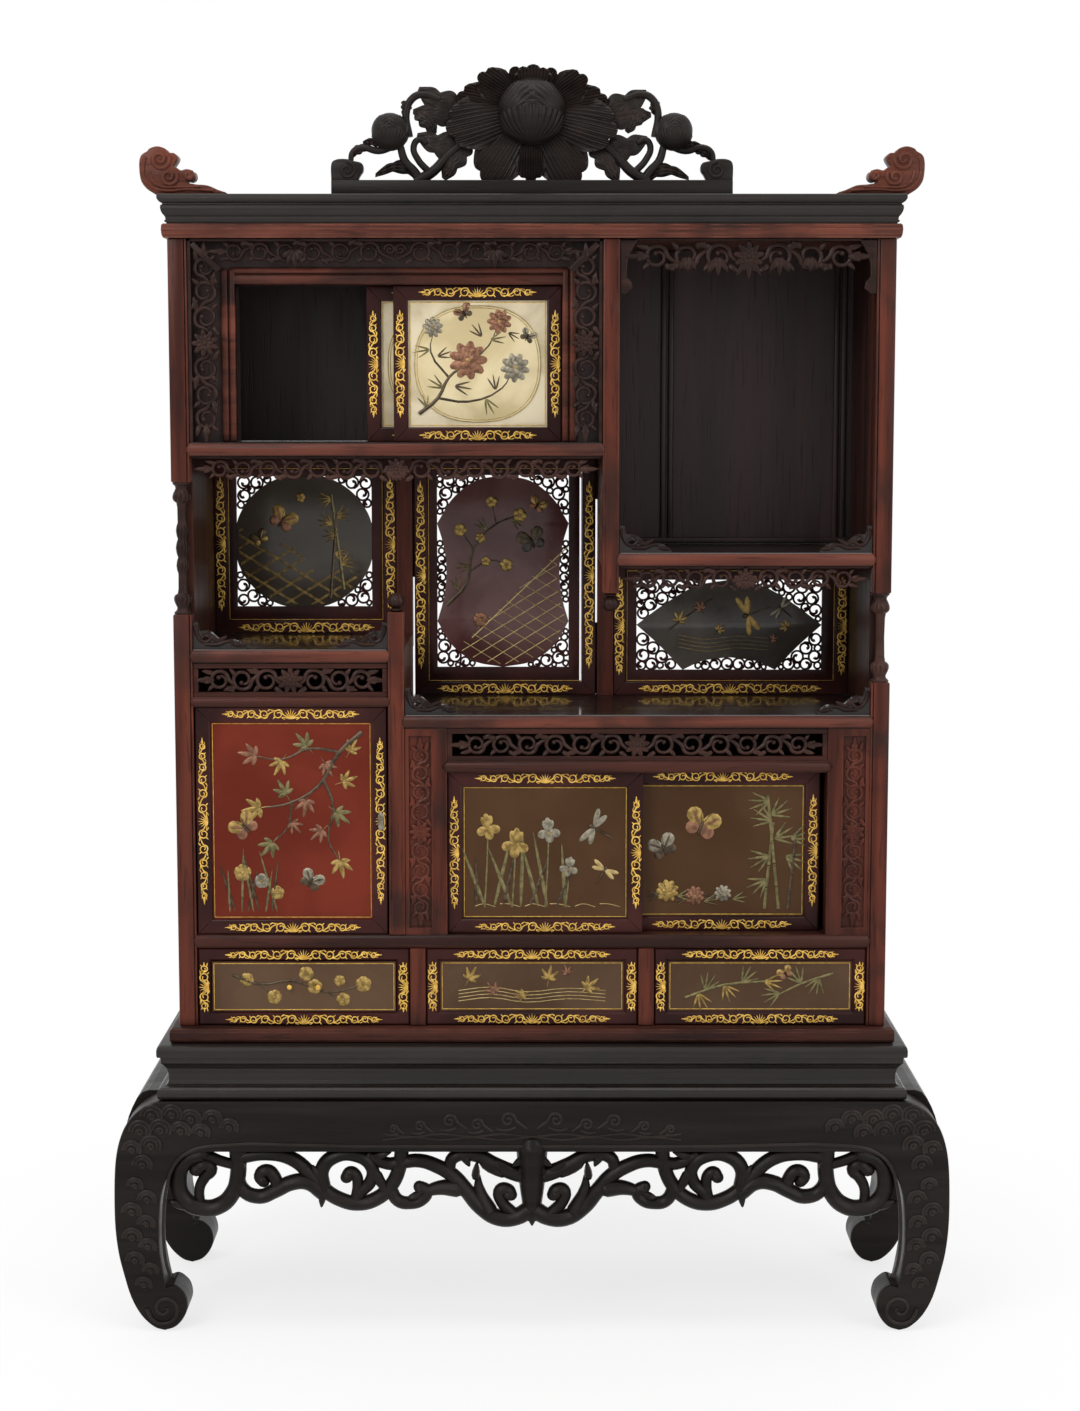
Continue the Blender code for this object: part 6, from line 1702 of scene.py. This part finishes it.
class Inlay:
    """Raised inlay on one flat panel: a mesh for each metal, placed from the middle of the panel."""

    def __init__(self, name, body, middle_x, middle_z, y):
        self.name = name
        self.body = body
        self.middle = (middle_x, middle_z)
        self.y = y
        self.metals = {}
        self.lines = {}

    def leaf(self, metal, x, z, length, width, turn, taper=0.5, thick=0.0034, lift=0.0):
        """One leaf, petal or wing, its turn in degrees."""
        mesh = self.metals.setdefault(metal, bmesh.new())
        place = (self.middle[0] + x, self.middle[1] + z, self.y - lift)
        drop(mesh, *place, length, width, thick, math.radians(turn), taper)

    def twig(self, metal, points, first, last):
        """A stem or a line that runs from its first radius to its last."""
        self.lines.setdefault(metal, []).append(tapered(points, first, last))

    def blossom(self, metal, x, z, size, petals=5, turn=0.0, heart="old_gold"):
        """An open flower with a round heart."""
        for k in range(petals):
            self.leaf(metal, x, z, size * 0.5, size * 0.42, turn + 360 * k / petals, -0.45)
        self.leaf(heart, x - size * 0.1, z, size * 0.2, size * 0.2, 0, 0.0, 0.003, 0.0016)

    def peony(self, metal, x, z, size, heart="old_gold", turn=0.0):
        """A full flower in three layers of broad petals."""
        layers = ((9, 0.50, 0.25, 0.0), (7, 0.37, 0.22, 0.0014), (5, 0.24, 0.17, 0.0028))
        for petals, reach, wide, lift in layers:
            for k in range(petals):
                way = turn + 360 * k / petals + reach * 120
                self.leaf(metal, x, z, size * reach, size * wide, way, -0.2, 0.004, lift)
        self.leaf(heart, x - size * 0.07, z, size * 0.14, size * 0.14, 0, 0.0, 0.004, 0.003)

    def iris(self, metal, x, z, size, turn=90):
        """A flower from the side: three upright petals and three that hang."""
        for by, reach in ((-22, 0.46), (22, 0.46), (0, 0.54)):
            self.leaf(metal, x, z, size * reach, size * 0.22, turn + by, -0.2, 0.003, 0.0008)
        for by in (112, -112, 180):
            self.leaf(metal, x, z, size * 0.46, size * 0.26, turn + by, -0.5, 0.003, 0.0004)
        self.leaf("old_gold", x, z, size * 0.20, size * 0.08, turn + 180, 0.3, 0.003, 0.002)

    def dragonfly(self, metal, edge, x, z, size, turn):
        """Two pairs of narrow wings, a long tail and a round head."""
        for side in (1, -1):
            self.leaf(metal, x, z, size * 0.54, size * 0.13, turn + side * 74, -0.35, 0.002)
            self.leaf(metal, x, z, size * 0.48, size * 0.13, turn + side * 106, -0.35, 0.002)
        self.leaf(edge, x, z, size * 0.62, size * 0.07, turn + 180, 0.4, 0.003, 0.001)
        self.leaf(edge, x, z, size * 0.16, size * 0.11, turn, 0.0, 0.004, 0.001)

    def butterfly(self, metal, edge, x, z, size, turn):
        """Two pairs of broad wings with a bar of another metal, feelers and a body."""
        for side in (1, -1):
            self.leaf(metal, x, z, size * 0.60, size * 0.30, turn + side * 46, -0.8)
            self.leaf(edge, x, z, size * 0.42, size * 0.26, turn + side * 112, -0.6)
            self.leaf(edge, x, z, size * 0.52, size * 0.07, turn + side * 46, -0.3, 0.003, 0.0014)
            self.leaf("bronze", x, z, size * 0.44, size * 0.02, turn + side * 16, 0.2, 0.002, 0.001)
        back = math.radians(turn)
        tail_x = x - size * 0.24 * math.cos(back)
        tail_z = z - size * 0.24 * math.sin(back)
        self.leaf("bronze", tail_x, tail_z, size * 0.44, size * 0.08, turn, 0.2, 0.005, 0.001)

    def maple(self, metal, x, z, size, turn):
        """A leaf of five points on its stalk."""
        for k, share in ((-2, 0.55), (-1, 0.85), (0, 1.0), (1, 0.85), (2, 0.55)):
            self.leaf(metal, x, z, size * 0.62 * share, size * 0.20, turn + k * 42, 0.35)
        self.leaf(metal, x, z, size * 0.36, size * 0.04, turn + 180, 0.2, 0.002)

    def bamboo(self, metal, x, z, height, lean, joints=5):
        """A jointed cane."""
        for k in range(joints):
            low = k / joints
            top = (k + 0.94) / joints
            ends = [(x + lean * share, z + height * share) for share in (low, top)]
            self.twig(metal, ends, 0.0030, 0.0027)

    def spray(self, metal, x, z, size, turn, count=5):
        """A fan of slender leaves."""
        for k in range(count):
            spread_by = (k - (count - 1) / 2) * 24
            long = size * (1.0 - 0.10 * abs(spread_by) / 24)
            self.leaf(metal, x, z, long, size * 0.17, turn + spread_by, 0.55)

    def lattice(self, metal, inside, pitch, reach, double=0.0):
        """Gold diamonds drawn only where they lie inside a field."""
        for way in (1, -1):
            for k in range(-12, 13):
                for shift in ((-double, double) if double else (0.0,)):
                    run = []
                    for j in range(161):
                        x = reach * (j / 80 - 1)
                        z = way * x * 0.62 + k * pitch + shift
                        if inside(x, z):
                            run.append((x, z))
                        else:
                            if len(run) > 1:
                                self.twig(metal, [run[0], run[-1]], 0.0009, 0.0009)
                            run = []

    def settle(self):
        """Make one piece of each metal."""
        for metal, lines in self.lines.items():
            mesh = self.metals.setdefault(metal, bmesh.new())
            add_shape(mesh, stems(lines, 0.8, 1, 3), place_at(self.middle[0], self.y, self.middle[1]))
        for metal, mesh in self.metals.items():
            show(f"{self.name}_{metal}", mesh, metal, self.body)


def plum_branch(work, trunk, twigs, blossoms, wood_metal, flower_metal, thick=0.0032):
    """A trunk with twigs and open blossoms."""
    work.twig(wood_metal, trunk, thick, thick * 0.4)
    for twig in twigs:
        work.twig(wood_metal, twig, thick * 0.5, thick * 0.22)
    for k, (x, z, size) in enumerate(blossoms):
        work.blossom(flower_metal, x, z, size, 5, k * 31)


def peony_panel(work):
    """Two peonies and two smaller flowers on one bough, with butterflies."""
    work.twig(
        "bronze", [(-0.098, -0.082), (-0.066, -0.056), (-0.048, -0.022), (-0.022, -0.002)], 0.0038,
        0.0022,
    )
    work.twig(
        "bronze", [(-0.066, -0.056), (-0.016, -0.062), (0.040, -0.040), (0.058, -0.012)], 0.0026,
        0.0014,
    )
    work.twig("bronze", [(-0.048, -0.022), (-0.078, 0.020), (-0.072, 0.056)], 0.0024, 0.0012)
    work.twig("bronze", [(-0.022, -0.002), (0.018, 0.030), (0.034, 0.066)], 0.0024, 0.0012)
    for metal, x, z, size in (
        ("copper", -0.016, 0.006, 0.068), ("silver", 0.062, -0.006, 0.052),
        ("copper", 0.036, 0.070, 0.044), ("silver", -0.074, 0.060, 0.036),
    ):
        work.peony(metal, x, z, size, turn=size * 900)
    for metal, x, z, size, turn in (
        ("green_gold", -0.056, -0.040, 0.034, 150), ("bronze", -0.040, -0.036, 0.034, -10),
        ("green_gold", 0.012, -0.056, 0.034, -60), ("bronze", 0.030, -0.044, 0.030, 100),
        ("green_gold", 0.020, 0.040, 0.030, 10), ("bronze", 0.008, 0.044, 0.030, 130),
        ("green_gold", -0.078, 0.024, 0.030, 190), ("bronze", -0.068, 0.012, 0.028, 20),
        ("green_gold", -0.084, -0.072, 0.026, 110), ("bronze", 0.050, 0.052, 0.024, -30),
    ):
        work.spray(metal, x, z, size, turn, 3)
    work.butterfly("copper", "bronze", -0.022, 0.082, 0.034, 120)
    work.butterfly("silver", "bronze", 0.082, 0.044, 0.030, 60)


def plum_panel(work):
    """A short branch of plum blossom."""
    trunk = [(0.10, -0.07), (0.06, -0.03), (0.03, 0.02), (-0.03, 0.05)]
    blossoms = [(-0.03, 0.05, 0.026), (0.08, 0.04, 0.024), (0.03, 0.02, 0.02)]
    plum_branch(work, trunk, [[(0.05, -0.01), (0.08, 0.04)]], blossoms, "bronze", "copper")


def iris_panel(work):
    """Irises and reeds at a water's edge, with dragonflies."""
    for k in range(11):
        x = -0.116 + 0.015 * k
        lean = 22 * math.sin(k * 1.9)
        metal = "green_gold" if k % 3 else "bronze"
        work.leaf(metal, x, -0.094, 0.088 + 0.022 * (k % 3), 0.0085, 90 + lean, 0.45, 0.003)
    for x, z, size, lean in (
        (-0.096, 0.042, 0.046, 100), (-0.050, 0.014, 0.052, 84), (0.006, 0.036, 0.044, 96),
        (0.040, -0.026, 0.036, 80),
    ):
        work.twig(
            "green_gold", [(x - 0.006, -0.094), (x - 0.002, (z - 0.094) / 2), (x, z)], 0.0018, 0.0014,
        )
        work.iris("silver" if size < 0.045 else "old_gold", x, z, size, lean)
    for k in range(6):
        x = -0.118 + 0.042 * k
        ripple = [(x, -0.092 + 0.004 * (k % 2)), (x + 0.014, -0.088), (x + 0.034, -0.093)]
        work.twig("pale_gold", ripple, 0.0008, 0.0005)
    work.dragonfly("silver", "bronze", 0.082, 0.042, 0.062, 150)
    work.dragonfly("pale_gold", "bronze", 0.100, -0.030, 0.046, 60)


def bamboo_panel(work):
    """Bamboo on the right, butterflies, and a row of small peonies at the foot."""
    work.bamboo("green_gold", 0.096, -0.100, 0.196, -0.020)
    work.bamboo("green_gold", 0.072, -0.100, 0.150, 0.014, 4)
    work.bamboo("bronze", 0.112, -0.100, 0.120, 0.012, 4)
    for x, z, turn in (
        (0.080, 0.084, 190), (0.084, 0.050, 160), (0.088, 0.020, 20), (0.080, -0.010, 200),
        (0.108, -0.010, -30), (0.082, 0.060, 30), (0.076, -0.050, 215), (0.116, 0.020, 10),
    ):
        work.spray("green_gold", x, z, 0.040, turn, 4)
    work.butterfly("old_gold", "copper", -0.036, 0.040, 0.062, 70)
    work.butterfly("silver", "bronze", -0.098, 0.002, 0.050, 115)
    for metal, x, z, size in (
        ("old_gold", -0.092, -0.070, 0.040), ("copper", -0.046, -0.078, 0.034),
        ("silver", 0.002, -0.074, 0.030),
    ):
        work.peony(metal, x, z, size)
        work.spray("green_gold", x + 0.016, z - 0.010, 0.026, 10, 3)
        work.spray("bronze", x - 0.014, z - 0.006, 0.022, 190, 3)


def maple_bough(work):
    """A bough that hangs from one corner, with turning leaves, butterflies and grasses under it."""
    work.twig(
        "bronze", [(0.118, 0.150), (0.080, 0.116), (0.046, 0.060), (-0.004, 0.030), (-0.050, 0.022)],
        0.0042, 0.0014,
    )
    work.twig(
        "bronze", [(0.080, 0.116), (0.030, 0.122), (-0.014, 0.104), (-0.058, 0.108)], 0.0026, 0.0011,
    )
    work.twig(
        "bronze", [(0.052, 0.072), (0.070, 0.020), (0.060, -0.030), (0.078, -0.066)], 0.0028, 0.0011,
    )
    work.twig("bronze", [(0.000, 0.032), (-0.008, -0.012), (-0.032, -0.036)], 0.0020, 0.0010)
    spots = (
        (-0.060, 0.110, 0.050, 170), (-0.016, 0.100, 0.044, 240), (0.026, 0.126, 0.046, 130),
        (0.056, 0.096, 0.040, 300), (-0.054, 0.022, 0.052, 190), (-0.010, 0.046, 0.044, 120),
        (0.024, 0.034, 0.046, 260), (0.086, 0.066, 0.042, 20), (0.074, 0.014, 0.048, 320),
        (0.050, -0.016, 0.042, 220), (0.080, -0.068, 0.050, 280), (-0.034, -0.038, 0.048, 230),
        (0.000, -0.004, 0.036, 310), (0.098, 0.118, 0.038, 60),
    )
    for k, (x, z, size, turn) in enumerate(spots):
        work.maple(("copper", "old_gold", "green_gold")[k % 3], x, z, size, turn)
    for k in range(9):
        metal = "bronze" if k % 2 else "green_gold"
        lean = 92 + 16 * math.sin(k * 1.7)
        work.leaf(metal, -0.106 + 0.010 * k, -0.156, 0.074 + 0.018 * (k % 3), 0.006, lean, 0.5, 0.003)
    for metal, x, z, size in (
        ("old_gold", -0.084, -0.088, 0.030), ("silver", -0.052, -0.102, 0.026),
        ("old_gold", -0.026, -0.122, 0.024),
    ):
        work.blossom(metal, x, z, size, 5, 18)
    work.butterfly("old_gold", "copper", -0.078, -0.012, 0.050, 130)
    work.butterfly("silver", "bronze", 0.030, -0.104, 0.042, 60)


def plum_sprig(work):
    """A lying branch of plum blossom."""
    trunk = [(-0.120, 0.020), (-0.074, 0.004), (-0.020, 0.010), (0.040, -0.010), (0.100, 0.004)]
    twigs = [
        [(-0.074, 0.004), (-0.050, -0.020)],
        [(0.040, -0.010), (0.066, -0.026)],
        [(-0.020, 0.010), (0.004, 0.026)],
    ]
    blossoms = [
        (-0.050, -0.018, 0.026), (0.066, -0.022, 0.024), (0.004, 0.022, 0.026), (0.100, 0.004, 0.028),
        (-0.096, 0.012, 0.024), (0.018, 0.000, 0.026), (0.060, 0.010, 0.020),
    ]
    plum_branch(work, trunk, twigs, blossoms, "bronze", "old_gold", 0.0028)


def maple_stream(work):
    """Leaves that drift on a stream."""
    for x, z, size, turn in (
        (-0.106, 0.012, 0.040, 60), (-0.062, -0.010, 0.034, 130), (0.028, 0.012, 0.040, 80),
        (0.092, -0.004, 0.042, 40), (-0.014, -0.014, 0.030, 200), (0.060, 0.022, 0.026, 110),
    ):
        work.maple("copper" if turn % 20 else "old_gold", x, z, size, turn)
    for k in range(4):
        z = -0.026 + 0.006 * k
        ripple = [(-0.124, z), (-0.070, z + 0.006), (-0.010, z - 0.002), (0.060, z + 0.004), (0.124, z)]
        work.twig("pale_gold", ripple, 0.0008, 0.0006)


def bamboo_spray(work):
    """Two crossing sprays of bamboo and a butterfly."""
    work.twig("green_gold", [(-0.126, -0.020), (-0.060, 0.002), (0.010, 0.008)], 0.0028, 0.0020)
    work.twig("green_gold", [(0.124, 0.022), (0.070, 0.004), (0.030, -0.016)], 0.0024, 0.0016)
    for x, z, turn in (
        (-0.092, -0.008, 70), (-0.060, 0.002, -60), (-0.030, 0.006, 50), (0.008, 0.008, -10),
        (0.100, 0.014, 250), (0.070, 0.004, 120), (0.034, -0.012, 200), (-0.104, -0.012, -70),
    ):
        work.spray("green_gold" if turn > 0 else "old_gold", x, z, 0.034, turn, 4)
    work.butterfly("old_gold", "copper", 0.044, 0.020, 0.028, 120)


def bamboo_medallion(work, outline):
    """Bamboo behind a lattice in the lower left, with butterflies."""

    def lower_left(x, z):
        return z < -0.030 - 0.45 * x - 0.016 * math.sin(x * 60) and gap_to(outline, x, z) < -0.002

    work.lattice("old_gold", lower_left, 0.030, 0.12, 0.0014)
    work.bamboo("green_gold", 0.070, -0.085, 0.170, -0.022)
    work.bamboo("bronze", 0.046, -0.100, 0.150, 0.012, 4)
    for x, z, turn in (
        (0.050, 0.076, 190), (0.056, 0.044, 20), (0.060, 0.010, 170), (0.054, -0.020, -20),
        (0.050, 0.030, 150), (0.064, -0.040, 20),
    ):
        work.spray("old_gold", x, z, 0.030, turn, 4)
    work.butterfly("old_gold", "copper", -0.040, 0.036, 0.052, 60)
    work.butterfly("bronze", "old_gold", -0.078, 0.004, 0.034, 120)
    work.blossom("old_gold", -0.006, 0.078, 0.018)


def flower_medallion(work, outline):
    """Plum blossom over a lattice in the lower right."""

    def lower_right(x, z):
        return z < -0.010 + 0.95 * (x - 0.05) and gap_to(outline, x, z) < -0.002

    work.lattice("pale_gold", lower_right, 0.024, 0.13)
    work.twig("pale_gold", [(-0.055, -0.118), (0.115, 0.044)], 0.0012, 0.0012)
    trunk = [(-0.100, -0.060), (-0.064, -0.020), (-0.052, 0.040), (-0.012, 0.084), (0.030, 0.100)]
    twigs = [
        [(-0.060, 0.000), (-0.020, 0.020), (0.006, 0.012)],
        [(-0.052, 0.040), (-0.076, 0.074)],
        [(-0.012, 0.084), (-0.020, 0.124)],
    ]
    blossoms = [
        (0.030, 0.100, 0.026), (0.006, 0.012, 0.024), (-0.076, 0.074, 0.024), (-0.020, 0.124, 0.022),
        (-0.040, 0.060, 0.020), (-0.030, 0.018, 0.018),
    ]
    plum_branch(work, trunk, twigs, blossoms, "bronze", "old_gold", 0.0036)
    for x, z, turn in (
        (-0.058, 0.010, 190), (-0.030, 0.074, 130), (0.014, 0.092, -30), (-0.080, -0.034, 100),
    ):
        work.spray("green_gold", x, z, 0.026, turn, 3)
    work.butterfly("bronze", "iron", 0.052, 0.052, 0.052, 110)
    work.butterfly("old_gold", "copper", 0.060, 0.116, 0.034, 60)
    work.blossom("copper", -0.040, -0.086, 0.028, 6)


def maple_medallion(work, _):
    """Leaves and dragonflies over a stream."""
    for k in range(4):
        z = -0.030 - 0.007 * k
        ripple = [(-0.090, z + 0.012), (-0.040, z + 0.004), (0.010, z + 0.010), (0.070, z + 0.006)]
        work.twig("pale_gold", ripple, 0.0007, 0.0005)
    for metal, x, z, size, turn in (
        ("old_gold", -0.090, 0.006, 0.036, 70), ("copper", -0.050, 0.028, 0.030, 120),
        ("old_gold", -0.020, -0.010, 0.026, 40), ("old_gold", 0.104, -0.004, 0.030, 150),
        ("copper", 0.076, -0.026, 0.024, 20),
    ):
        work.maple(metal, x, z, size, turn)
    work.twig("bronze", [(-0.110, -0.010), (-0.070, 0.020), (-0.030, 0.048)], 0.0022, 0.0010)
    work.dragonfly("old_gold", "bronze", 0.034, 0.018, 0.070, 200)
    work.dragonfly("silver", "bronze", 0.092, 0.030, 0.044, 140)


DOOR_MOTIFS = {
    "upper_front_door": ("ivory_inlay", peony_panel),
    "upper_rear_door": ("rear_inlay", plum_panel),
    "cupboard_door": ("red_inlay", maple_bough),
    "lower_left_door": ("iris_inlay", iris_panel),
    "lower_right_door": ("bamboo_inlay", bamboo_panel),
}
DRAWER_MOTIFS = {"left_drawer": plum_sprig, "centre_drawer": maple_stream, "right_drawer": bamboo_spray}
MEDALLION_MOTIFS = {"left": bamboo_medallion, "centre": flower_medallion, "right": maple_medallion}


def inlays():
    """Raised work on the doors, the drawers and the medallions."""
    for door, (name, draw) in DOOR_MOTIFS.items():
        x, _, z = middle_of(door + "_panel")
        work = Inlay(name, door, x, z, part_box(door + "_panel")[0].y)
        draw(work)
        work.settle()
    for drawer, draw in DRAWER_MOTIFS.items():
        x, _, z = middle_of(drawer)
        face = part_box(drawer)[0].y + DRAWER_SUNK - FIELD_RAISED
        work = Inlay(drawer + "_inlay", drawer, x, z, face)
        draw(work)
        work.settle()
    for side, (make_outline, _, opening) in PANELS.items():
        half_x = (opening[1] - opening[0]) / 2
        half_z = (opening[3] - opening[2]) / 2
        outline = [(x * half_x * 0.985, z * half_z * 0.985) for x, z in make_outline()]
        x = (opening[0] + opening[1]) / 2
        z = (opening[2] + opening[3]) / 2
        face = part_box(side + "_pierced_panel")[0].y + PANEL_SUNK - 0.001
        work = Inlay(side + "_panel_inlay", CASE, x, z, face)
        MEDALLION_MOTIFS[side](work, outline)
        work.settle()


def ivory_fields():
    """A rounded cream field on each pale panel, with a raised double line round it."""
    for door in ("upper_front_door", "upper_rear_door"):
        low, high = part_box(door + "_panel")
        middle_x, _, middle_z = middle_of(door + "_panel")
        half_x = (high.x - low.x) / 2 - 0.011
        half_z = (high.z - low.z) / 2 - 0.009
        ring = []
        for k in range(96):
            turn = math.tau * k / 96
            c = math.cos(turn)
            s = math.sin(turn)
            x = math.copysign(abs(c) ** 0.84, c) * half_x
            ring.append((x, math.copysign(abs(s) ** 0.84, s) * half_z))
        field = cut_board(ring, 0.0016, 0.0005)
        field.transform(place_at(middle_x, low.y, middle_z))
        show(door + "_field", field, "field", door)
        line = [(x, z, 0.0009) for x, z in ring + ring[:1]]
        inner = [(x * 0.965, z * 0.965, 0.0007) for x, z, _ in line]
        lines = stems([line, inner], 1.0, 1, 2)
        lines.transform(place_at(middle_x, low.y - 0.0008, middle_z))
        show(door + "_field_line", lines, "pale_gold", door)


# Doorway, niche and knobs

DOORWAY_LEFT = -0.489
DOORWAY_RIGHT = 0.050
DOORWAY_FLOOR = 1.4955
DOORWAY_HEAD = 1.7533
STILES = ((-0.024, -0.012), (-0.011, 0.0))
NICHE_LEFT = 0.146
NICHE_RIGHT = 0.561
NICHE_FLOOR = 1.3145
NICHE_HEAD = 1.826
KNOB_HEIGHT = 0.517 + 0.1335 / 2
KNOB_SPREAD = 0.024
KNOB = mm([(0, 2.4), (4, 2.2), (6, 4), (8.5, 4.6), (10.5, 3.6), (11.8, 0)])


def doorway_mouldings():
    """Moulded stiles and head round the upper sliding doors, and the frame of the back of the niche."""
    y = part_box("upper_doorway")[0].y
    bm = bmesh.new()
    stiles = [(DOORWAY_LEFT + near, DOORWAY_LEFT + far) for near, far in STILES]
    stiles += [(DOORWAY_RIGHT - far, DOORWAY_RIGHT - near) for near, far in reversed(STILES)]
    for x_low, x_high in stiles:
        bar(bm, (x_low, y - 0.007, DOORWAY_FLOOR), (x_high, y + 0.012, DOORWAY_HEAD + 0.026), 0.0038, 3)
    for low, high in ((0.0, 0.017), (0.018, 0.028)):
        corner = (DOORWAY_LEFT - 0.010, y - 0.006, DOORWAY_HEAD + low)
        bar(bm, corner, (DOORWAY_RIGHT + 0.010, y + 0.012, DOORWAY_HEAD + high), 0.0045, 3)
    show("doorway_moulding", bm, "rail")
    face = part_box("upper_back")[0].y
    bm = bmesh.new()
    for x in (0.226, 0.530):
        for shift in (0.0, 0.013):
            corner = (x + shift, face - 0.005, NICHE_FLOOR)
            bar(bm, corner, (x + shift + 0.010, face + 0.004, NICHE_HEAD), 0.003, 3)
    corner = (NICHE_LEFT, face - 0.006, NICHE_FLOOR)
    bar(bm, corner, (NICHE_RIGHT, face + 0.004, 1.326), 0.003, 3)
    show("niche_back_frame", bm, "board")


def drawer_knobs():
    """Two small turned knobs on the left drawer."""
    low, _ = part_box("left_drawer")
    middle = middle_of("left_drawer")[0]
    bm = bmesh.new()
    for side in (-1, 1):
        knob = bmesh.new()
        verts = [knob.verts.new((radius, 0.0, rise)) for rise, radius in KNOB]
        edges = [knob.edges.new(pair) for pair in zip(verts, verts[1:])]
        around = {"cent": (0, 0, 0), "axis": (0, 0, 1), "angle": math.tau}
        bmesh.ops.spin(knob, geom=verts + edges, **around, steps=20, use_merge=True)
        bmesh.ops.remove_doubles(knob, verts=knob.verts, dist=TOUCH)
        bmesh.ops.holes_fill(knob, edges=knob.edges[:], sides=0)
        place = Matrix.Translation((middle + side * KNOB_SPREAD, low.y + 0.0063, KNOB_HEIGHT))
        add_shape(bm, knob, place @ Matrix.Rotation(math.pi / 2, 4, "X"))
    show("drawer_knobs", bm, "gold", "left_drawer")


set_camera()
set_light()
set_floor()
paint_nodes()
mouldings()
rail_fronts()
carved_posts()
upper_fret()
niche_fret()
valances()
carved_friezes()
pilaster_vines()
spandrel_scrolls()
pierced_panels()
carved_legs()
stand_fret()
stand_relief()
carved_crest()
cloud_finials()
dress_doors()
doorway_mouldings()
dress_drawers()
drawer_knobs()
inlays()
ivory_fields()
